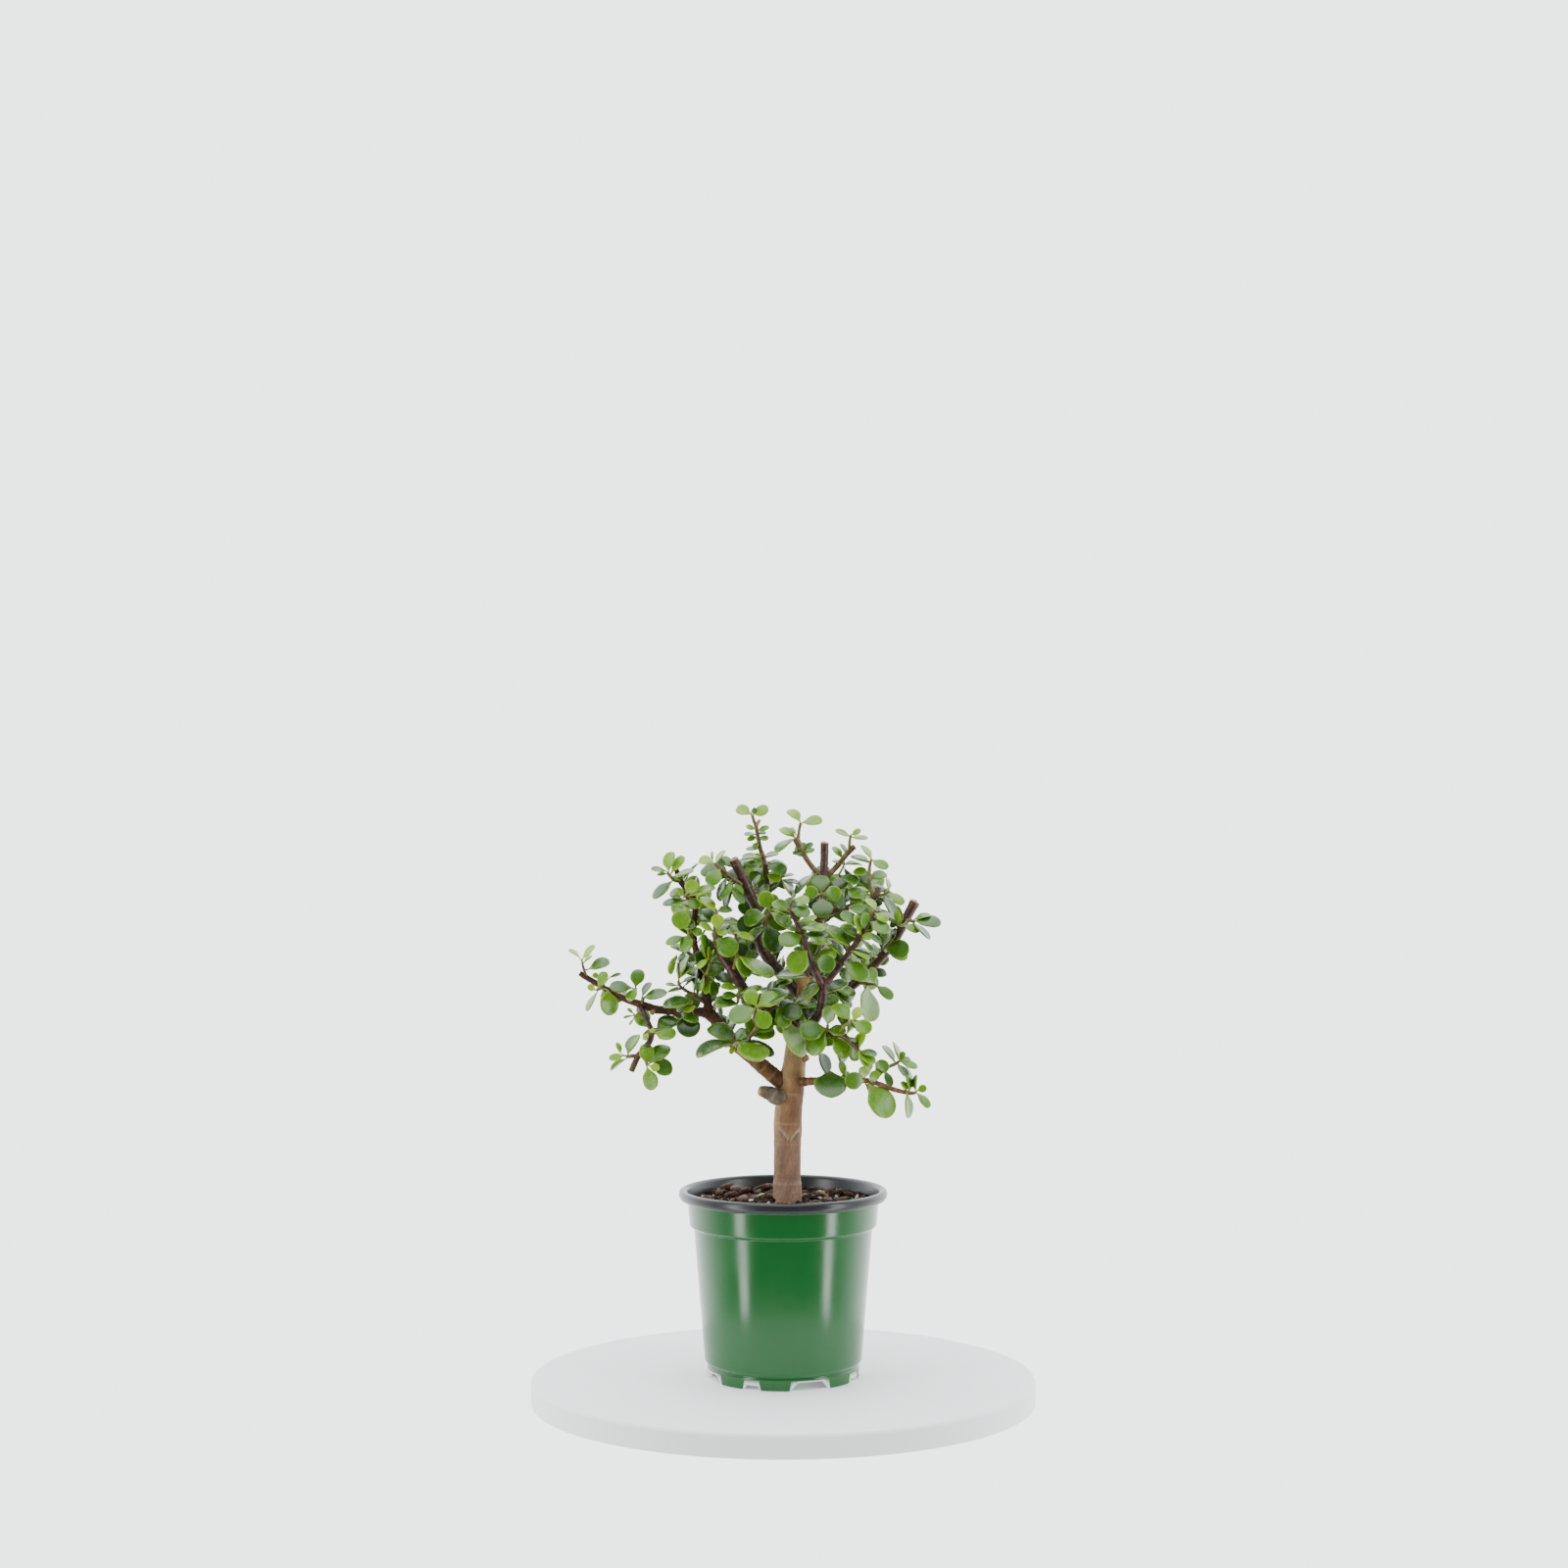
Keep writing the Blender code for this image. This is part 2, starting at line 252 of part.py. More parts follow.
# leaves by piece: (base x, base z, tip x, tip z, width seen, tone, flags)
# tone 0 is the darkest old leaf and 1 the palest young one.  Flags: B shows
# its underside, f reaches forwards, k reaches back, a arches over.
LEAVES = {
    "shoot_left_tip": [
        (-105, 215.5, -111.3, 219.9, 1.6, .8, "a"),
        (-103.8, 215.5, -97.3, 222.1, 3.2, .8, ""),
        (-103, 213.5, -99, 217.3, 1.8, .7, ""),
        (-100.8, 209.8, -89.6, 213.2, 5.2, .25, "a")],
    "shoot_left_a": [
        (-95.5, 205, -98.3, 207.8, 3, .7, ""),
        (-95.8, 200.9, -91.2, 208.2, 5.6, .55, ""),
        (-90, 205.7, -84, 207.1, 1.8, .2, "B"),
        (-97, 199, -101.3, 201.3, 3.4, .8, ""),
        (-96.2, 198.2, -101.7, 188.2, 3, .5, ""),
        (-91.1, 199.4, -90.2, 185.9, 9.3, .6, "")],
    "shoot_left_b": [
        (-78, 200.2, -89.7, 200.8, 5.8, .15, ""),
        (-76.5, 200.5, -74.5, 210, 7.6, .3, ""),
        (-75.4, 200.2, -80.4, 193.6, 5.2, .5, "")],
    "shoot_left_c": [
        (-72.7, 195.2, -60.2, 197.3, 4.8, .2, ""),
        (-73, 195.8, -68.5, 203.2, 3.6, .3, "k")],
    "branch_left_down": [
        (-77.5, 187, -80.8, 189.5, 1.3, .4, ""),
        (-78, 186, -82.7, 184.7, .9, .4, ""),
        (-77.5, 184, -79.5, 181, 1, .5, ""),
        (-69.6, 179.4, -74.8, 188.2, 8.8, .45, ""),
        (-69.5, 179, -66.5, 177.5, 2.5, .95, ""),
        (-70, 177, -72, 173.2, 3, .85, ""),
        (-66, 177.5, -54.5, 184.5, 7.5, .3, "a"),
        (-66.5, 176.8, -55.8, 175.4, 6, .5, ""),
        (-80.5, 165.8, -75, 176.2, 5.5, .45, ""),
        (-84.2, 166.1, -86, 172.1, 2.4, .6, ""),
        (-82.6, 165.1, -90.2, 163.3, 3.5, .6, ""),
        (-81.6, 163.5, -89.4, 157.8, 3, .4, "B"),
        (-70.8, 160.5, -71, 171.3, 8, .5, ""),
        (-69.5, 161, -59.6, 170.4, 8, .3, ""),
        (-69, 160, -57.2, 158.3, 8.5, .3, "k"),
        (-69.5, 160, -64, 158.6, 4.4, .85, "f"),
        (-70.5, 159.5, -68.3, 147.2, 7.6, .55, "")],
    "shoot_left_spur": [
        (-47.5, 187.5, -50.3, 174.8, 12.5, .05, "f"),
        (-53, 187.3, -44.2, 182.5, 4.5, .35, "f"),
        (-46.5, 193.9, -62.2, 190.5, 5.2, .12, ""),
        (-45.2, 190.9, -51, 188, 3.5, .75, "f"),
        (-48, 192, -55, 188, 3, .35, "f")],
    "shoot_lu_twig": [
        (-44.2, 196, -44.6, 202.5, 2, .3, "f"),
        (-52.5, 199.6, -60.2, 198.1, 1.8, .2, "B"),
        (-55, 201.5, -61, 202, 1.5, .5, ""),
        (-52.5, 203, -46.4, 205.8, 1.8, .2, ""),
        (-51, 201.5, -46.5, 205, 2, .3, "B"),
        (-55, 217.5, -58.5, 207.3, 3.4, .5, "B"),
        (-54.3, 204.5, -49, 217, 4.5, .45, ""),
        (-54, 213, -51, 219, 3, .15, "k"),
        (-54.2, 205, -45.5, 213.5, 3.5, .4, "k")],
    "shoot_lu_low": [
                (-41, 205.5, -32.5, 211.5, 6.5, .5, ""),
        (-38, 204.7, -40.2, 197, 4.2, .65, ""),
        (-36.5, 205.5, -36, 196, 5, .3, "f"),
        (-41, 207, -42.5, 198.5, 2.5, .45, ""),
        (-38.5, 215.5, -44.2, 210.5, 3.2, .75, ""),
        (-38.5, 215, -38.8, 221.5, 1.4, .85, ""),
        (-37.8, 215, -35.6, 220, 2, .8, ""),
        (-40.3, 216, -42, 228, 3.6, .4, ""),
        (-37.6, 218, -39, 226, 4, .3, "k")],
    "shoot_lu_mid": [
        (-49.5, 241.5, -55.5, 231.5, 10, .45, "f"),
        (-50.5, 231, -45.5, 232, 2, .4, ""),
        (-47.5, 229.5, -41.8, 229, 4.5, .35, ""),
        (-50.8, 226.8, -60.8, 222.8, 4, .4, ""),
        (-48.8, 228.5, -51, 218.6, 7, .45, "")],
    "shoot_lu_high": [
        (-51, 247.8, -58, 250.5, 5.6, .8, ""),
        (-50.3, 248.8, -45, 255.5, 7.5, .7, ""),
        (-50.5, 245.6, -62.5, 243.2, 3.6, .2, ""),
        (-52.5, 246.6, -59, 248.3, 2, .3, "k"),
        (-50, 246, -43.5, 242, 5.4, .45, ""),
        (-48.8, 248, -35, 252, 4, .55, "f")],
    "shoot_lu_top": [
        (-59.3, 260.5, -58, 270.8, 6.5, .7, ""),
        (-58, 259.5, -51.5, 268.5, 5, .65, "k"),
        (-60, 260.5, -68.5, 261.7, 2.4, .35, ""),
        (-60, 259.5, -65.5, 258.7, 1.8, .45, ""),
        (-57.5, 257.8, -51.8, 257.5, 3, .35, ""),
        (-57, 257.6, -46.5, 260.6, 2.4, .3, "f"),
        (-57.5, 255.6, -67.2, 246.3, 5, .2, "")],
    "shoot_lm_top": [
        (-35.3, 239.8, -42, 247.3, 4.6, .8, ""),
        (-34.5, 239.8, -26.3, 241, 3.6, .5, ""),
        (-34.6, 230.5, -33.6, 238.5, 6.8, .75, "f"),
        (-33.5, 234.5, -26.5, 236, 1.4, .3, "k"),
        (-36, 229.6, -43.5, 233.5, 3, .65, ""),
        (-35, 230, -29, 228, 4, .6, ""),
        (-35.2, 225.5, -24, 218.5, 11, .35, "")],
    "shoot_lm_spur": [
        (-23, 200, -32.3, 200.6, 3, .6, "f"),
        (-23, 196.5, -31.5, 195.6, 3.6, .25, ""),
        (-23.3, 192, -35.5, 193, 5, .15, ""),
        (-23.6, 191.5, -35.3, 190.8, 2.6, .6, "k"),
        (-22.5, 197.5, -10.3, 200.3, 3, .5, "f")],
    "shoot_lm_twig": [
        (-24, 217.8, -18.3, 205.8, 7, .5, "s"),
        (-23.5, 217, -6, 205.5, 6, .45, ""),
        (-23.6, 212, -11, 206.5, 3.5, .3, "k"),
        (-25, 229, -15.5, 225, 3, .65, "")],
    "shoot_tl_side": [
        (-36.3, 264.8, -43.5, 267, 5, .75, ""),
        (-36.5, 265.5, -36.5, 271, 1.2, .5, ""),
        (-35.2, 264.2, -30, 271.5, 2.4, .7, ""),
        (-30.8, 261.5, -33.5, 267.5, 4, .1, "k"),
        (-32.5, 262, -38.5, 253.5, 8, .35, ""),
        (-29, 258, -32.8, 245, 4, .15, ""),
        (-27, 256, -31, 246, 5, .3, "f"),
        (-25, 255.5, -22.5, 246.5, 5, .4, "f"),
        (-27, 253.5, -21.5, 243.8, 4, .2, ""),
        (-26, 254, -30.5, 240.5, 4, .05, "k")],
    "shoot_c4": [
        (-10.5, 234, -24, 232, 10.5, .15, ""),
        (-8.5, 237.3, -20.5, 235.4, 9, .3, "k"),
        (-9.5, 232, -19.3, 222.5, 4.5, .25, "B"),
        (-7, 240.5, -10.5, 250.2, 8.5, .45, ""),
        (-6.5, 239.5, 4.2, 231.2, 6, .45, ""),
        (-6.5, 240.5, 2.5, 240.8, 5, .4, ""),
        (-8.5, 233.5, -3.5, 218.3, 11, .12, "")],
    "shoot_front_a": [
        (10, 227.5, -1.8, 223.5, 8.5, .35, ""),
        (13.5, 216, 5.5, 221, 3.5, .4, "k"),
        (12.3, 220, 3.5, 209, 12, .5, ""),
        (9, 229.5, 1.5, 232, 3, .5, ""),
        (3.8, 241.5, -4, 244.5, 4.6, .3, ""),
        (4, 240.8, 14, 238.5, 5.8, .3, ""),
        (5, 243, 13.4, 242, 1.6, .05, "k"),
        (9.5, 231, 21.5, 230.5, 3.4, .5, ""),
        (9.6, 230.5, 17, 234.5, 3.5, .55, ""),
        (7.5, 234.5, 17.3, 236.8, 2, .6, ""),
        (10.3, 228, 23, 227.5, 4, .03, ""),
        (12.5, 223.5, 24.5, 224, 3, .5, ""),
        (13, 206.5, -4, 206.5, 4, .15, "k"),
        (5.3, 246.5, 13.3, 244.5, 4.5, .6, ""),
        (16, 214.2, 27, 212, 9.5, .3, ""),
        (16, 216, 27.5, 218, 6, .5, "k")],
    "shoot_top": [
        (-.8, 256.3, 8, 254.3, 2, .05, ""),
        (-.8, 255.7, 5.2, 247, 2.8, .3, ""),
        (-.6, 257.5, 5.7, 259, 1.4, .2, ""),
        (-8.8, 264.5, 1.5, 259.5, 6.5, .15, ""),
        (-8.8, 265.5, 2.3, 262.3, 3, .5, "k"),
        (-9.4, 257, -18, 258.5, 6, .45, ""),
        (-8.8, 259, -1.5, 255.8, 5, .6, "f"),
        (-10.5, 264.5, -21, 262.5, 4.5, .35, ""),
        (-11, 268, -22.8, 264.6, 3.6, .25, "k"),
        (-11, 268.3, -21, 267.4, 2.6, .4, ""),
        (-10, 267.5, -2.5, 270, 2.4, .12, ""),
        (-16.5, 290, -24.2, 293.5, 5.8, .75, ""),
        (-16, 290, -7.6, 293.2, 5.8, .7, ""),
        (-16.6, 290.6, -14, 293.4, 2.2, .2, ""),
        (-14.4, 282.3, -19.4, 284, 2.6, .6, ""),
        (-13.3, 281.5, -7.2, 283.3, 2.8, .5, ""),
        (-13.5, 279.8, -20, 279.4, 1.8, .3, ""),
        (-13.3, 278.3, -18.8, 276.8, 2.8, .5, ""),
        (-13, 280, -8.8, 280.8, 2, .35, ""),
        (-12.9, 278, -7.6, 277.4, 3, .4, ""),
        (-12.6, 276, -15.5, 271.6, 3.2, .5, "f"),
        (-12.5, 272.2, -19.3, 271.7, 1.8, .35, ""),
        (-11.5, 270, -15, 267.6, 3, .6, "f")],
    "shoot_arm_left": [
        (8.9, 286, 2.4, 292.2, 5, .65, "a"),
        (9.5, 285.6, 20.4, 286.5, 5, .6, "a"),
        (6.3, 278, -1.7, 282.8, 4.4, .7, ""),
        (6.4, 279.5, 4.2, 283.6, 1.4, .6, ""),
        (6.2, 277.4, -3.4, 270.4, 3.5, .3, "a"),
        (10.5, 270.5, 4.7, 269.8, 2.4, .25, ""),
        (10.3, 271, 15.5, 275.2, 3, .25, "k"),
        (10.6, 270.3, 16.3, 271.8, 2.5, .4, ""),
        (17.5, 259.5, 6.8, 248.8, 3.2, .12, "a")],
    "shoot_arm_right": [
        (34.6, 278.6, 26.8, 281.5, 2.8, .55, ""),
        (35.1, 279.2, 40.2, 282, 3, .65, ""),
        (34.8, 278.2, 43.8, 277.4, 2, .4, ""),
        (30.5, 267.5, 25.3, 273.3, 3.4, .55, ""),
        (32.8, 269.5, 29.6, 275, 2.2, .2, "k"),
        (31.5, 264, 41, 264, 1.8, .4, "a"),
        (30.6, 264.5, 25, 266, 1.4, .1, ""),
        (29, 259.5, 24, 255.5, 3, .4, ""),
        (29, 258.6, 39, 254.5, 4.8, .15, "")],
    "shoot_c5": [
        (19.5, 247.5, 20.8, 236.5, 11, .2, "f"),
        (19, 248.5, 11.2, 250.8, 6.5, .5, ""),
        (20.5, 249.3, 30, 249, 8, .5, ""),
        (19.6, 249.5, 19.2, 258.5, 9, .2, ""),
        (21, 248.3, 32.5, 243.5, 8, .08, "k")],
    "branch_upper_right": [
        (45.8, 267, 40.4, 274.2, 3, .65, ""),
        (45.9, 266.5, 53.8, 261.7, 5, .45, ""),
        (45, 265, 35.3, 268.8, 3, .2, ""),
        (44.6, 258.8, 36.3, 260.8, 4.8, .5, ""),
        (44.9, 256.5, 53.3, 259.5, 5, .35, ""),
        (54.6, 250.6, 53.3, 257.5, 2.2, .6, ""),
        (55, 250.2, 61.8, 243.2, 5, .6, ""),
        (51.5, 248.4, 57.7, 236.5, 5, .25, ""),
        (45, 248.6, 33.5, 248.4, 5.8, .3, ""),
        (45, 250, 36, 251.3, 2.5, .55, "k"),
        (43, 245.2, 35.4, 246.4, 4, .55, "f"),
        (43.6, 244.8, 36.8, 242, 4, .5, "f")],
    "shoot_front_b": [
        (47.8, 240.3, 43, 246.5, 4, .75, ""),
        (47.2, 239, 54.3, 234.8, 4.2, .6, ""),
        (44.6, 234.5, 54.5, 229, 6.8, .35, ""),
        (46, 237.8, 34.5, 242.5, 5.5, .25, ""),
        (42.2, 230.8, 29.5, 238.5, 5.5, .3, ""),
        (40.2, 227.5, 37, 238, 4, .6, "f"),
        (39, 225.5, 30.4, 232.5, 5, .4, ""),
        (42, 230.5, 42, 239, 5, .3, "f"),
        (40.2, 227, 29, 227.3, 9, .4, ""),
        (40.5, 227.3, 46.3, 226.3, 4.2, .55, "f"),
        (40, 226, 46.5, 218.5, 2.4, .3, ""),
        (41.8, 229, 51, 223, 2.8, .3, "k"),
        (31.5, 215.3, 22, 226, 4.5, .35, ""),
        (35, 220.5, 22, 232.5, 6, .45, "k"),
        (31, 213.8, 43.5, 204.5, 9, .4, "s"),
        (34.5, 219.3, 41, 214.8, 2, .15, ""),
        (35.5, 220, 48.3, 217.3, 2, .15, "k"),
        (35, 219.5, 44.5, 215.4, 1.6, .5, ""),
        (29, 211, 34.5, 204.5, 4, .15, "k")],
    "shoot_right_end": [
        (60.8, 232.8, 59, 243, 2.2, .25, "B"),
        (59.3, 233.6, 59.5, 240.5, 3.5, .6, "f"),
        (58.5, 234, 49, 241, 2.5, .05, ""),
        (59.5, 233.2, 52.8, 236.6, 1.8, .3, ""),
        (68.2, 234.8, 81.2, 232.5, 5.5, .2, "a"),
        (67.6, 235.4, 76.4, 237.6, 2, .35, "a"),
        (62, 232.5, 70.5, 229.5, 4.2, .5, "f"),
        (67, 233.9, 75.5, 225.3, 2.6, .1, "")],
    "shoot_right_mid": [
        (53, 221.6, 65.2, 219.2, 9.8, .3, ""),
        (52.8, 220.5, 64.4, 215.8, 6.5, .5, "k"),
        (56.3, 224.7, 50.4, 228, 3, .5, ""),
        (56.6, 225.2, 58.4, 231.4, 1.8, .1, "")],
    "shoot_right_twig": [
        (47.5, 202.5, 45, 211, 5, .45, "f"),
        (48, 201.6, 56.6, 194.6, 5.4, .4, ""),
        (43, 201.8, 43.5, 183, 10.5, .4, "w")],
    "shoot_right_inner": [
        (26, 201.5, 36.8, 195.8, 4.5, .4, ""),
        (25.6, 200.5, 35, 192.6, 4, .3, "f"),
        (26.6, 198, 35, 189.8, 4, .4, "k"),
        (26.2, 197.8, 27, 190, 3, .3, "")],
    "branch_front_low": [
        (36, 183.5, 40.5, 190, 5.5, .8, ""),
        (34.8, 183.6, 26, 191.5, 7, .5, ""),
        (36, 182.6, 45.5, 177.8, 7.5, .45, ""),
        (23, 181, 24.6, 190.5, 7, .35, "p"),
        (22.5, 179.3, 8.5, 177.3, 10, .2, ""),
        (22, 178, 14.2, 165.4, 9.2, .45, ""),
        (22.5, 178.5, 32.5, 177.5, 5.5, .45, "f"),
        (25.5, 175, 33.6, 164.3, 9, .55, "f"),
        (27.5, 175.6, 31.5, 161.5, 7, .2, "k"),
        (33.5, 175, 37.6, 172, 2, .1, ""),
        (38.6, 168, 41.2, 177.5, 5, .65, ""),
        (38.6, 168, 44.6, 157.6, 5, .5, ""),
        (39, 167.3, 47, 160.8, 5, .55, ""),
        (39.2, 167.6, 48.5, 165.2, 3, .3, "")],
    "branch_low_right": [
        (22.5, 154, 20, 166.5, 6, .05, "k"),
        (24.3, 157.5, 24.5, 143.4, 17, .15, "fs"),
        (32.5, 154.5, 29, 162, 4, .6, ""),
        (42.5, 152.2, 31.8, 152.5, 9.2, .3, "f"),
        (42.5, 153.2, 40.2, 159.5, 4.75, .75, ""),
        (44, 152, 50, 156.4, 5, .5, "f"),
        (44, 150.8, 55.4, 133.4, 13, .45, "f"),
        (47.5, 157, 54, 162, 7.5, .45, ""),
        (52.5, 157.8, 55.5, 149, 4.2, .15, ""),
        (58, 161.5, 51.5, 170.5, 2.8, .35, ""),
        (60, 162.8, 57, 172.4, 2.4, .55, ""),
        (60.3, 162.8, 63, 167, 3, .5, "f"),
        (60.3, 162.5, 66, 163.4, 2.4, .15, "k"),
        (60.5, 162.2, 69.6, 159, 3.4, .45, ""),
        (59, 161.2, 63.7, 154, 3.6, .15, ""),
        (65.2, 146.5, 64.4, 159, 4, .45, ""),
        (64, 146.4, 61.4, 152, 3, .7, ""),
        (64, 146, 64.2, 132.7, 4.2, .5, ""),
        (68.6, 146.8, 68.7, 155.4, 2, .55, ""),
        (69.2, 147, 74.2, 149, 4, .5, "f"),
        (69, 146, 75.7, 138.3, 4.2, .4, "")],
    "shoot_center": [
        (-13.8, 190.8, -18.5, 199.4, 8, .55, ""),
        (-13.4, 190.6, -2.5, 196.5, 8, .5, ""),
        (-12.9, 190.3, 1.5, 199, 7, .2, "k"),
        (-13.5, 189.5, -8, 179.5, 8.6, .45, "f"),
        (-14.2, 189.7, -27.5, 183.5, 9.5, .35, ""),
        (-17, 175.5, -4.5, 178.5, 8, .55, ""),
        (-17.2, 175.5, -17.6, 185.2, 6, .45, "k")],
    "shoot_low_left": [
        (-24.8, 171.3, -38, 180.5, 8.5, .3, ""),
        (-25.6, 171.5, -44.9, 164.3, 5, .15, "a"),
        (-24.6, 172, -19.8, 179.4, 5, .2, ""),
        (-25, 170.5, -27.4, 166, 2.8, .8, "f"),
        (-23.8, 172.2, -9.8, 163.2, 9.5, .5, "f"),
        (-23.6, 172.4, -4.6, 165.5, 6, .1, "k")],
    "shoot_c2": [
        (-3.5, 189, 2.4, 179.8, 8, .4, "f"),
        (-3.3, 189.3, 9.5, 186.5, 9, .05, ""),
        (-3, 189.6, 5, 193.4, 4, .15, ""),
        (1.5, 184, 8.6, 164.5, 10, .4, "w")],
    "shoot_c3": [
        (6, 191.8, 18.5, 201, 4.6, .3, "p"),
        (6.6, 191.6, 17.5, 191.3, 3.4, .5, "")],
    "shoot_c6": [
        (-3.8, 201.6, 2.8, 207.2, 2.6, .4, ""),
        (-3.2, 201.5, 4.4, 205, 4.2, .55, "")],
}

# shoots that fill the crown's far side: (piece, stem it grows from, start
# x z y, end x z y, seed).  Their leaves come from the rule in back_leaves().
BACK = [
    ("shoot_back_1", "branch_left", (-58, 188.3, -3.5), (-56, 196, 24), 3),
    ("shoot_back_2", "branch_left", (-86, 196.3, -3), (-84, 199, 18), 5),
    ("shoot_back_3", "branch_left", (-27, 174, -3.5), (-33, 176, 26), 8),
    ("shoot_back_4", "branch_left_up", (-43, 211, -4), (-43, 216, 22), 13),
    ("shoot_back_5", "branch_left_up", (-46, 238, -4), (-50, 246, 17), 21),
    ("shoot_back_6", "branch_topleft", (-12.5, 224.5, 6), (-18, 233, 34), 36),
    ("shoot_back_7", "branch_topleft", (-17, 248, -5), (-15, 260, 16), 55),
    ("shoot_back_8", "leader", (17, 220, 8), (26, 230, 36), 89),
    ("shoot_back_9", "leader", (19.8, 247, 3.5), (26, 254, 26), 144),
    ("shoot_back_10", "trunk", (9.2, 183, 1.2), (-2, 190, 40), 233),
    ("shoot_back_11", "branch_right", (38.5, 203.5, 4), (33, 224, 26), 377),
    ("shoot_back_12", "trunk", (6, 164, .3), (22, 172, 36), 610),
    ("shoot_back_13", "branch_upper_right", (38, 243.4, 1.2), (42, 250, 22), 987),
    ("shoot_back_14", "trunk", (10.2, 188, 1.5), (4, 204, 36), 1597),
]


def true_point(x, y, z):
    """A point of the perspective elevation at its real place, in mm."""
    k = (EYE_D + y) / EYE_D
    return Vector((x * k, y, EYE_H + (z - EYE_H) * k))


def drawn_point(p):
    """The reverse: where a real point falls on the elevation."""
    k = EYE_D / (EYE_D + p.y)
    return p.x * k, EYE_H + (p.z - EYE_H) * k


def stem_points(name):
    return [(true_point(x, y * DEPTH, z), r)
            for x, z, y, r in STEM_ROWS[name]]


def closest_on_stem(name, x, z):
    """Nearest centre-line place to (x, z) on the elevation: how far off it
    is there, the real point and the radius."""
    best = None
    pts = clear_start(name)
    for (a, ra), (b, rb) in zip(pts, pts[1:]):
        ax, az = drawn_point(a)
        bx, bz = drawn_point(b)
        dx, dz = bx - ax, bz - az
        t = ((x - ax) * dx + (z - az) * dz) / max(dx * dx + dz * dz, 1e-9)
        # a leaf never joins right at a stem's very end
        far = 1 - (0.8 / (b - a).length if b is pts[-1][0] else 0.0)
        near = 0.6 / (b - a).length if a is pts[0][0] else 0.0
        t = min(max(far, near), max(near, t))
        d = math.hypot(ax + dx * t - x, az + dz * t - z)
        if best is None or d < best[0]:
            best = (d, a.lerp(b, t), ra + (rb - ra) * t)
    return best


def gap_to_stem(p, pts):
    """Distance from a real point to a stem's surface, and its direction."""
    best = None
    for (a, ra), (b, rb) in zip(pts, pts[1:]):
        ab = b - a
        t = min(1.0, max(0.0, (p - a).dot(ab) / max(ab.length_squared, 1e-9)))
        d = (p - (a + ab * t)).length - (ra + (rb - ra) * t)
        if best is None or d < best[0]:
            best = (d, ab.normalized())
    return best


class Leaf:
    """One leaf: where it joins, where its blade starts and ends, its width
    and its upper side's direction."""

    def __init__(self, piece, stem, root, base, tip, width, tone, flags):
        self.piece, self.stem = piece, stem
        self.root, self.base, self.tip = root, base, tip
        self.width, self.tone, self.flags = width, tone, flags
        self.normal = Vector((0, 0, 1))
        self.row = None
        self.made = False

    @property
    def length(self):
        return (self.tip - self.base).length


LEAF_RATIO = 0.80      # a leaf's width against its length


def place(leaf):
    """Stands a drawn leaf up in space from its row, depth and lean."""
    bx, bz, tx, tz, w, tone, flags = leaf.row
    leaf.base = true_point(bx, leaf.y, bz)
    leaf.tip = true_point(tx, leaf.y + leaf.lean, tz)
    e = (leaf.tip - leaf.base)
    ln = e.length
    e.normalize()
    full = max(w, min(LEAF_RATIO, 0.74 + 0.004 * ln) * ln * leaf.slim)
    leaf.width = full
    view = Vector((0, -1, 0))
    side = (view - e * view.dot(e)).normalized()
    up = e.cross(side)
    if up.z < 0 or (abs(up.z) < 0.05 and up.x < 0):
        up = -up
    roll = math.acos(min(1.0, w / full))
    if "B" in flags:
        leaf.normal = side * -math.cos(roll) + up * math.sin(roll)
    else:
        leaf.normal = side * math.cos(roll) + up * math.sin(roll)


def drawn_leaves():
    out = []
    for piece, rows in LEAVES.items():
        stems = [n for n in STEMS if STEMS[n][0] == piece]
        for i, row in enumerate(rows):
            bx, bz, tx, tz, w, tone, flags = row
            near = min((closest_on_stem(n, bx, bz) + (n,) for n in stems),
                       key=lambda q: q[0])
            d, at, at_r, stem = near
            leaf = Leaf(piece, stem, at, None, None, w, tone, flags)
            leaf.row = row
            leaf.stem_r = at_r
            flat = math.hypot(tx - bx, tz - bz)
            want = w / LEAF_RATIO
            # a leaf seen shorter than it is leans; one seen in full keeps a
            # small lean of its own
            h = math.sin(i * 12.9898 + len(piece) * 4.1 + bx * .37) * 43758.5453
            h -= math.floor(h)
            lean = math.sqrt(max(0.0, want * want - flat * flat))
            lean = max(lean, flat * (0.12 + 0.38 * h))
            if "k" in flags:
                sign = 1
            elif "f" in flags or tz < bz:
                sign = -1
            else:
                sign = 1 if h > 0.45 else -1
            leaf.lean = sign * lean
            leaf.slim = 0.86 + 0.2 * h if w < 0.6 * flat else 1.0
            front = -0.6 if sign < 0 else 0.6
            leaf.y = at.y + front * at_r
            place(leaf)
            leaf.root = at + (leaf.base - at).normalized() * (0.3 * at_r)
            out.append(leaf)
    return out


def outline(v):
    """Half-width of a leaf along its length, 0 to 1: round at the tip and
    wedge-shaped at the base, widest past the middle."""
    if v <= 0 or v >= 1:
        return 0.0
    f = 2 * math.sqrt(v * (1 - v)) * (1 + 0.42 * (v - 0.5))
    s = min(1.0, v / 0.42)
    s = s * s * (3 - 2 * s)
    return f * (0.30 + 0.70 * s) / 1.035


def thickness(leaf):
    return min(2.1, max(0.9, 0.17 * leaf.width))


RINGS = (0.10, 0.50, 0.82)
RINGS_SMALL = (0.14, 0.62)
RINGS_TINY = (0.55,)
SMALL_LEAF = 13.0
TINY_LEAF = 8.5


